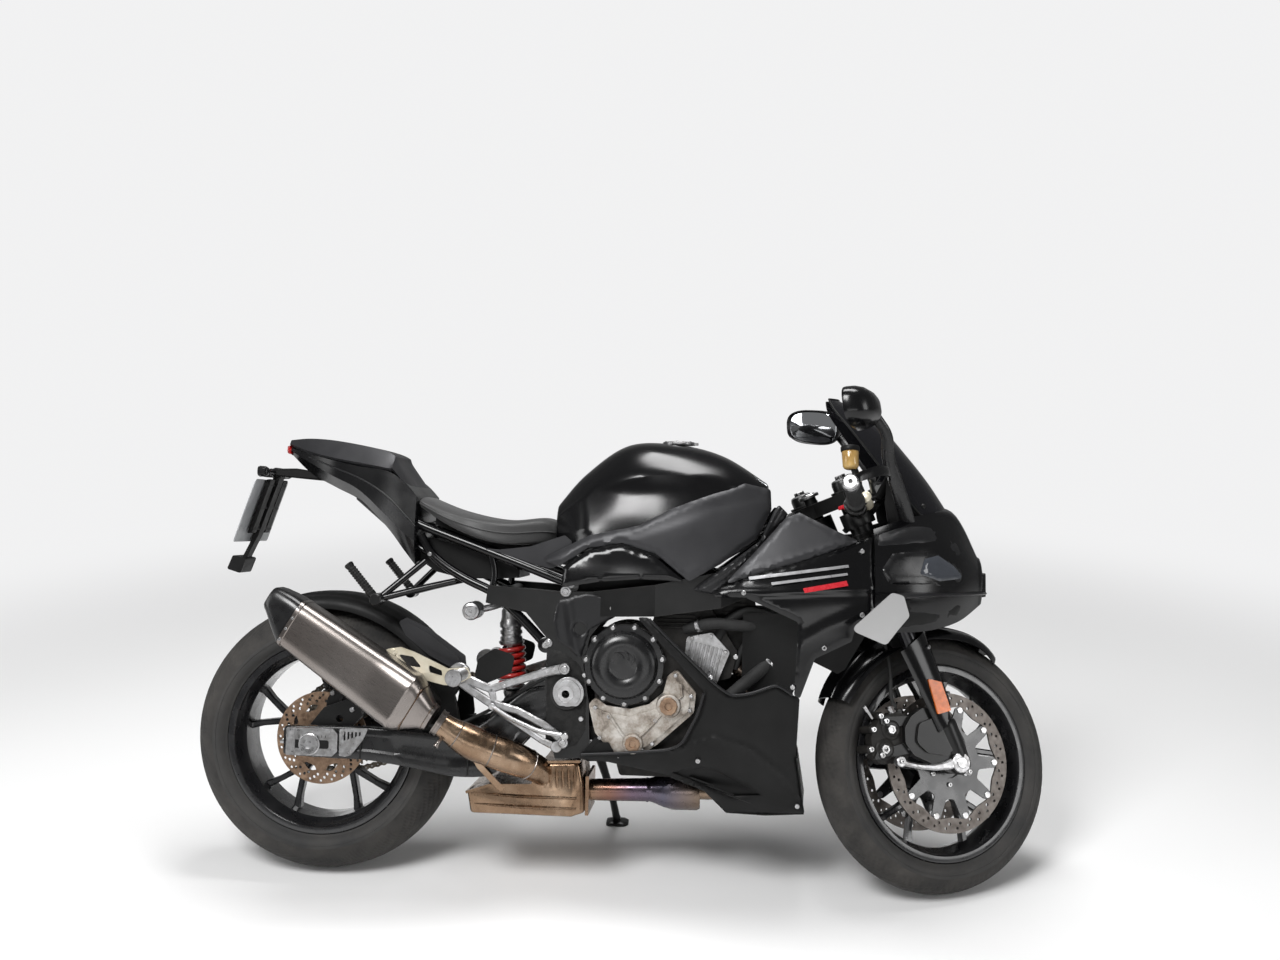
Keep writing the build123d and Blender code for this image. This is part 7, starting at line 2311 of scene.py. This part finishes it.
def make_plate_group():
    holder = Shape().plate(
        [(-62, 962), (-20, 938), (-100, 944), (-166, 950), (-176, 958), (-172, 966), (-100, 968)], -19, 19, corner=5,
    )
    holder.plate([(-60, 960), (-30, 944), (-100, 947), (-160, 952), (-162, 960), (-100, 963)], -24, 24, corner=3)
    holder.plate(
        [(-136, 962), (-156, 962), (-162, 936), (-208, 800), (-214, 782), (-246, 718), (-236, 712), (-202, 784),
        (-193, 802)], -15, 15, corner=3,
    )
    for y in (-58, 30):
        holder.plate([(-148, 940), (-160, 938), (-205, 806), (-193, 808)], y, y + 28, corner=3)
    for z, x in ((928, -158), (872, -177), (820, -194)):
        holder.box((x - 4, -60, z - 5), (x + 5, 60, z + 5))
    holder.plate([(-214, 745), (-248, 752), (-262, 718), (-228, 708)], -34, 34, corner=5)
    holder.rod((-152, -20, 957), (-152, 20, 957), 12, 24)
    holder.to("plate_bracket", "matte_black", replaces="plate_holder", bevel=0.0012)
    lamp = Shape().plate([(-168, 944), (-186, 946), (-190, 956), (-168, 962)], -26, 26, corner=3)
    lamp.to("plate_lamp", "satin_black", "matte_black", bevel=0.0012)
    reflector = Shape().plate([(-236, 748), (-249, 751), (-260, 720), (-248, 716)], -31, 31, corner=2)
    reflector.to("rear_reflector", "matte_black", bevel=0.001)

    top, foot = Vector((-166.6, 0, 938)), Vector((-218, 0, 786))
    rise = (top - foot).normalized()
    back = Vector((-rise.z, 0, rise.x))
    middle = (top + foot) / 2
    high = (top - foot).length / 2
    plate, rim = Shape(), Shape()

    def ring(wide, tall, *deeps):
        loop = rounded([(-wide, -tall), (wide, -tall), (wide, tall), (-wide, tall)], 8)
        return [[middle + Vector((0, p.x, 0)) + rise * p.y + back * deep for p in loop] for deep in deeps]

    plate.rings(ring(110, high, -0.9, 0.9))
    plate.to("plate_sheet", "plate_white", replaces="number_plate", bevel=0.0004)
    outer, inner = ring(108.5, high - 1.5, 0.8, 1.9), ring(105.5, high - 4.5, 1.9, 0.8)
    rim.rings(outer + inner, caps=False)
    rim.to("plate_rim", "plate_white", smooth=30)
    screws = Shape()
    for y in (-70, 70):
        for t in (0.32, -0.5):
            screws.lathe(
                middle + Vector((0, y, 0)) + rise * (high * t) + back * 0.6, back,
                [(0, 6), (1.5, 6), (2.6, 4.6), (2.6, 2), (1.6, 1.8), (1.6, 0.1)], 20,
            )
    screws.to("plate_screws", "bright_steel", "bright_alloy")

    stalks, lenses = Shape(), Shape()
    stalks.tube([(-158, 18, 957), (-160, 40, 958), (-162, 68, 957)], lambda t: 9 - 3 * t, 18, 8)
    stalks.lathe(
        (-146, 82, 957), (-1, 0, 0), [(0, 4), (2, 9), (8, 12.5), (22, 13.4), (22, 12), (20, 11.4), (20, 0.1)], 32,
    )
    stalks.rings(
        [[(x, y, 957 + 12.5 * s * b) for x, b in ((-150, 0.7), (-160, 1), (-168, 1), (-168, -1), (-160, -1),
        (-150, -0.7))] for y, s in ((64, 0.6), (72, 0.9), (84, 1.0), (96, 0.86), (100, 0.5))]
    )
    stalks.mirror().to("indicator_shells", "satin_black", "lamp_amber", replaces="rear_indicators", smooth=40)
    lenses.lathe((-165, 82, 957), (-1, 0, 0), [(0, 11.8), (4, 11.4), (7, 8.4), (8, 4), (8, 0.1)], 32)
    lenses.mirror().to("indicator_lenses", "smoked_lens", "lamp_amber", smooth=50)

    red, trim = Shape(), Shape()
    section = ((-7, -2), (-5, -9), (5.5, -12), (6, 3), (-1, 12), (-6, 10))
    red.rings([
        [(-118 + dx * share, y, 1013 + dz * share) for dx, dz in section]
        for y, share in ((-24, 0.5), (-22, 0.85), (-14, 1), (14, 1), (22, 0.85), (24, 0.5))
    ])
    red.to("tail_lens", "lamp_red", replaces="tail_light", smooth=40)
    for y in (-15, -9, -3, 3, 9, 15):
        trim.lathe((-123, y, 1008), (-1, 0, 0.3), [(0, 2.3), (1.6, 2.0), (2.2, 1.2), (2.2, 0.1)], 16)
    trim.to("tail_cells", "lamp_red", smooth=50)


def make_stand():
    """The side stand's tapered leg, its foot, a pivot washer and a peg for the return spring, taken from the joint's
    own place.
    """
    node = frame["nodes"]["side_stand"]
    swing = JOINT["side_stand_swing"]
    place = UPRIGHT.inverted()
    pivot = place @ Vector(swing["pos_m"])
    axis = (place.to_3x3() @ Vector(swing["axis"])).normalized()
    world = [node.matrix_world @ v.co for v in node.data.vertices]
    floor = min(p.z for p in world)
    low = [p for p in world if p.z < floor + 0.0015]
    foot_world = sum(low, Vector()) / len(low)
    foot = place @ foot_world
    down = (place.to_3x3() @ Vector((0, 0, -1))).normalized()
    heel = foot - down * 12
    way = (heel - pivot).normalized()
    side = way.cross(axis).normalized()
    length = (heel - pivot).length
    leg_shape, steel = Shape(), Shape()
    rings = []
    for f, wide, thin, bend in (
        (0.0, 15, 9, 0), (0.1, 14, 9, 0), (0.25, 11.5, 8.5, 1.5), (0.5, 10, 8, 4), (0.75, 9, 7.5, 3),
        (0.94, 10, 8, 0), (1.0, 11, 9, 0),
    ):
        at = pivot + way * (length * f) + side * bend
        rings.append([at + side * (wide * math.cos(a)) + axis * (thin * math.sin(a)) for a in turns(20)])
    leg_shape.rings(rings)
    leg_shape.lathe(pivot - axis * 10.5, axis, bored(6.2, (0, 16), (1.5, 17.2), (19.5, 17.2), (21, 16)), 36)
    ahead = (place.to_3x3() @ Vector((1, 0, 0))).normalized()
    across = down.cross(ahead).normalized()
    outline = rounded([(-28, -20), (20, -22), (30, -12), (30, 12), (20, 22), (-28, 20)], 8)
    sole = [
        [foot - down * up + ahead * (p.x * grow) + across * (p.y * grow) for p in outline]
        for up, grow in ((0.4, 0.94), (1.6, 1.0), (5.4, 1.0), (7, 0.93), (11, 0.5))
    ]
    leg_shape.rings(sole)
    leg_shape.to("stand_leg", "black_metal", body="side_stand", replaces="side_stand", smooth=40)
    steel.lathe(pivot + axis * 8, axis, [(0, 6.4), (2, 12), (3.5, 12), (4.4, 10), (4.4, 6.4), (0, 6.4)], 32)
    steel.rod(pivot + way * 40 + side * 10 - axis * 4, pivot + way * 40 + side * 22 - axis * 4, 3.2, 14)
    steel.to("stand_fittings", "bright_steel", "black_metal", "side_stand", smooth=40)


def make_cap():
    """The filler cap: a bolted ring on the tank and a hinged lid with its lock cover."""
    lid, steel = Shape(), Shape()
    at, high = Vector((840, 0, 0)), 1051
    base = Vector((at.x, 0, high - 8.7))
    lid.lathe(
        base, UP, [(0, 37), (0.6, 39.5), (5.4, 40), (7, 39), (8, 36), (7.6, 33), (7.2, 31), (7.4, 28), (8.2, 26),
        (8.7, 18), (8.7, 0.1)], 64,
    )
    lid.box((at.x + 32, -13, high - 7.5), (at.x + 46, 13, high - 1.8))
    lid.to("cap_lid", "bright_alloy", body="fuel_cap", replaces="fuel_cap", bevel=0.0006)
    steel.bolts(
        [base + Vector((34.5 * math.cos(t), 34.5 * math.sin(t), 7.2))
        for t in (math.pi / 3 * k + 0.4 for k in range(6))], UP, 2.8, 1.8,
    )
    steel.plate(
        [(at.x - 14, high - 0.4), (at.x + 12, high - 0.4), (at.x + 12, high + 1.6), (at.x - 14, high + 1.6)], -6.5,
        6.5,
    )
    steel.to("cap_screws", "black_metal", "bright_alloy", "fuel_cap", bevel=0.0006, smooth=40)


# ---------------------------------------------------------------- carried-over nodes, floor, light, camera
FINISH = {
    "black_metal": (
        "frame swingarm fork_clamps fork_outer_tubes clip_ons "
        "hand_controls front_calipers rear_caliper side_stand front_stay"
    ),
    "gloss_black": (
        "subframe front_mudguard mirrors nose_fairing fairing_sides "
        "belly_pan clutch_cover tank knee_panels tail_fairing"
    ),
    "engine_dark": "engine", "cast_alloy": "engine_covers",
    "core": "radiator", "fork_black": "fork_inner_tubes",
    "bright_alloy": "fork_feet shock_absorber footrests passenger_pegs chain_adjusters fuel_cap",
    "rubber": "grips", "bright_steel": "front_axle rear_axle swingarm_pivot",
    "titanium": "silencer", "matte_black": "silencer_cap seat_tray plate_holder display rear_hugger",
    "champagne": "silencer_hanger", "hot_pipe": "exhaust_pipes",
    "spring_red": "shock_spring", "chain_steel": "rear_sprocket chain",
    "plate_white": "number_plate", "lens": "headlight_lenses",
    "screen": "windscreen", "matte_grey": "winglets tank_side_covers passenger_cowl",
    "lamp_red": "tail_light", "lamp_amber": "rear_indicators",
    "seat_cover": "rider_seat", "disc_steel": "front_discs",
    "rear_disc_steel": "rear_disc", "wheel_black": "front_rim rear_rim",
    "tyre": "front_tyre rear_tyre",
}


def dress_nodes():
    """Finishes the CAD's nodes that carry over."""
    for material, names in FINISH.items():
        for name in names.split():
            for slot in frame["nodes"][name].material_slots:
                slot.material = MATERIALS[material]


def make_stage():
    """A pale floor that keeps the shadows and turns into a plain pale backdrop further off."""
    floor = Shade("floor", (0.86, 0.86, 0.87), 0.7)
    floor.colour(floor.noise(0.6, 2), (0.2, 0.84), (0.8, 0.88))
    away = floor.node("ShaderNodeVectorMath")
    away.operation = "LENGTH"
    floor.link(floor.place, away.inputs[0])
    far = floor.node("ShaderNodeMapRange")
    far.interpolation_type = "SMOOTHERSTEP"
    far.inputs["From Min"].default_value, far.inputs["From Max"].default_value = 1.5, 4.2
    floor.link(away.outputs["Value"], far.inputs["Value"])
    path = floor.node("ShaderNodeLightPath")
    seen = floor.node("ShaderNodeMath")
    seen.operation = "MULTIPLY"
    floor.link(far.outputs["Result"], seen.inputs[0])
    floor.link(path.outputs["Is Camera Ray"], seen.inputs[1])
    glow, mixed = floor.node("ShaderNodeEmission"), floor.node("ShaderNodeMixShader")
    glow.inputs["Color"].default_value, glow.inputs["Strength"].default_value = (0.95, 0.95, 0.955, 1), 0.93
    floor.link(seen.outputs[0], mixed.inputs[0])
    floor.link(floor.base.outputs[0], mixed.inputs[1])
    floor.link(glow.outputs[0], mixed.inputs[2])
    floor.link(mixed.outputs[0], floor.tree.nodes["Material Output"].inputs["Surface"])
    mesh = bpy.data.meshes.new("floor")
    reach, back, bend = 14.0, 9.0, 3.0
    profile = [(-reach, 0.0), (back, 0.0)]
    profile += [
        (back + bend * math.sin(t), bend * (1 - math.cos(t))) for t in (math.pi / 2 * k / 12 for k in range(1, 13))
    ]
    profile.append((back + bend, 12.0))
    verts = [(x, y, z) for y, z in profile for x in (-18, 18)]
    mesh.from_pydata(verts, [], [(2 * i, 2 * i + 1, 2 * i + 3, 2 * i + 2) for i in range(len(profile) - 1)])
    mesh.materials.append(MATERIALS["floor"])
    made = show(bpy.data.objects.new("floor", mesh))
    mesh.shade_smooth()


SENSOR_WIDTH, FOCAL_LENGTH = 36, 35.73
CAMERA_AT, CAMERA_DOWN, CAMERA_TURN = (0.2722, -3.0298, 1.5158), 10.936, 4.339


LIGHTS = (  # name, place, what it looks at, size and power, and its height if it is not square
    ("key", (-1.4, -2.8, 3.9), (0, -0.1, 0.5), 1.6, 165, None),
    ("over", (0.3, 0.5, 4.2), (0, 0, 0.5), 2.4, 110, 1.2),
    ("front", (4.4, -2.2, 1.8), (0.2, 0, 0.5), 1.6, 45, 2.2),
    ("rear", (-4.2, -1.6, 1.6), (-0.2, 0, 0.5), 1.2, 30, 2.2),
    ("low", (0.4, -4.6, 0.9), (0, 0, 0.4), 3.4, 20, 1.0),
)


def area(name, at, towards, size, power, tall):
    """An area light at a place, turned towards a point."""
    light = bpy.data.lights.new(name, "AREA")
    light.energy, light.size = power, size
    if tall:
        light.shape, light.size_y = "RECTANGLE", tall
    made = show(bpy.data.objects.new(name, light))
    made.location = at
    made.rotation_euler = (Vector(towards) - Vector(at)).to_track_quat("-Z", "Y").to_euler()


def make_lights():
    world = bpy.data.worlds.new("studio")
    bpy.context.scene.world = world
    world.use_nodes = True
    tree = world.node_tree
    plain = tree.nodes["Background"]
    plain.inputs["Color"].default_value, plain.inputs["Strength"].default_value = (1, 1, 1, 1), 0.16
    pale = tree.nodes.new("ShaderNodeBackground")
    pale.inputs["Color"].default_value, pale.inputs["Strength"].default_value = (0.95, 0.95, 0.96, 1), 0.95
    path, mix = tree.nodes.new("ShaderNodeLightPath"), tree.nodes.new("ShaderNodeMixShader")
    tree.links.new(path.outputs["Is Camera Ray"], mix.inputs[0])
    tree.links.new(plain.outputs[0], mix.inputs[1])
    tree.links.new(pale.outputs[0], mix.inputs[2])
    tree.links.new(mix.outputs[0], tree.nodes["World Output"].inputs["Surface"])
    for light in LIGHTS:
        area(*light)


def make_camera():
    lens = bpy.data.cameras.new("camera")
    lens.sensor_width, lens.lens = SENSOR_WIDTH, FOCAL_LENGTH
    made = show(bpy.data.objects.new("camera", lens))
    made.location = CAMERA_AT
    made.rotation_euler = (math.radians(90 - CAMERA_DOWN), 0, math.radians(CAMERA_TURN))
    bpy.context.scene.camera = made


make_materials()
dress_nodes()
make_wheels()
make_chain()
make_tank()
make_seat()
make_tail()
make_fairing()
make_nose()
make_fairing_lips()
make_nose_details()
make_screen()
make_winglets()
make_engine()
make_frame_details()
make_exhaust()
make_hanger()
make_rearsets()
make_shock()
make_fork()
make_calipers()
make_mudguard()
make_clamps()
make_bars()
make_mirrors()
make_display()
make_swingarm()
make_rear_brake()
make_hugger()
make_subframe()
make_plate_group()
make_stand()
make_cap()
make_stage()
make_lights()
make_camera()
bpy.context.scene.view_settings.view_transform = "Standard"
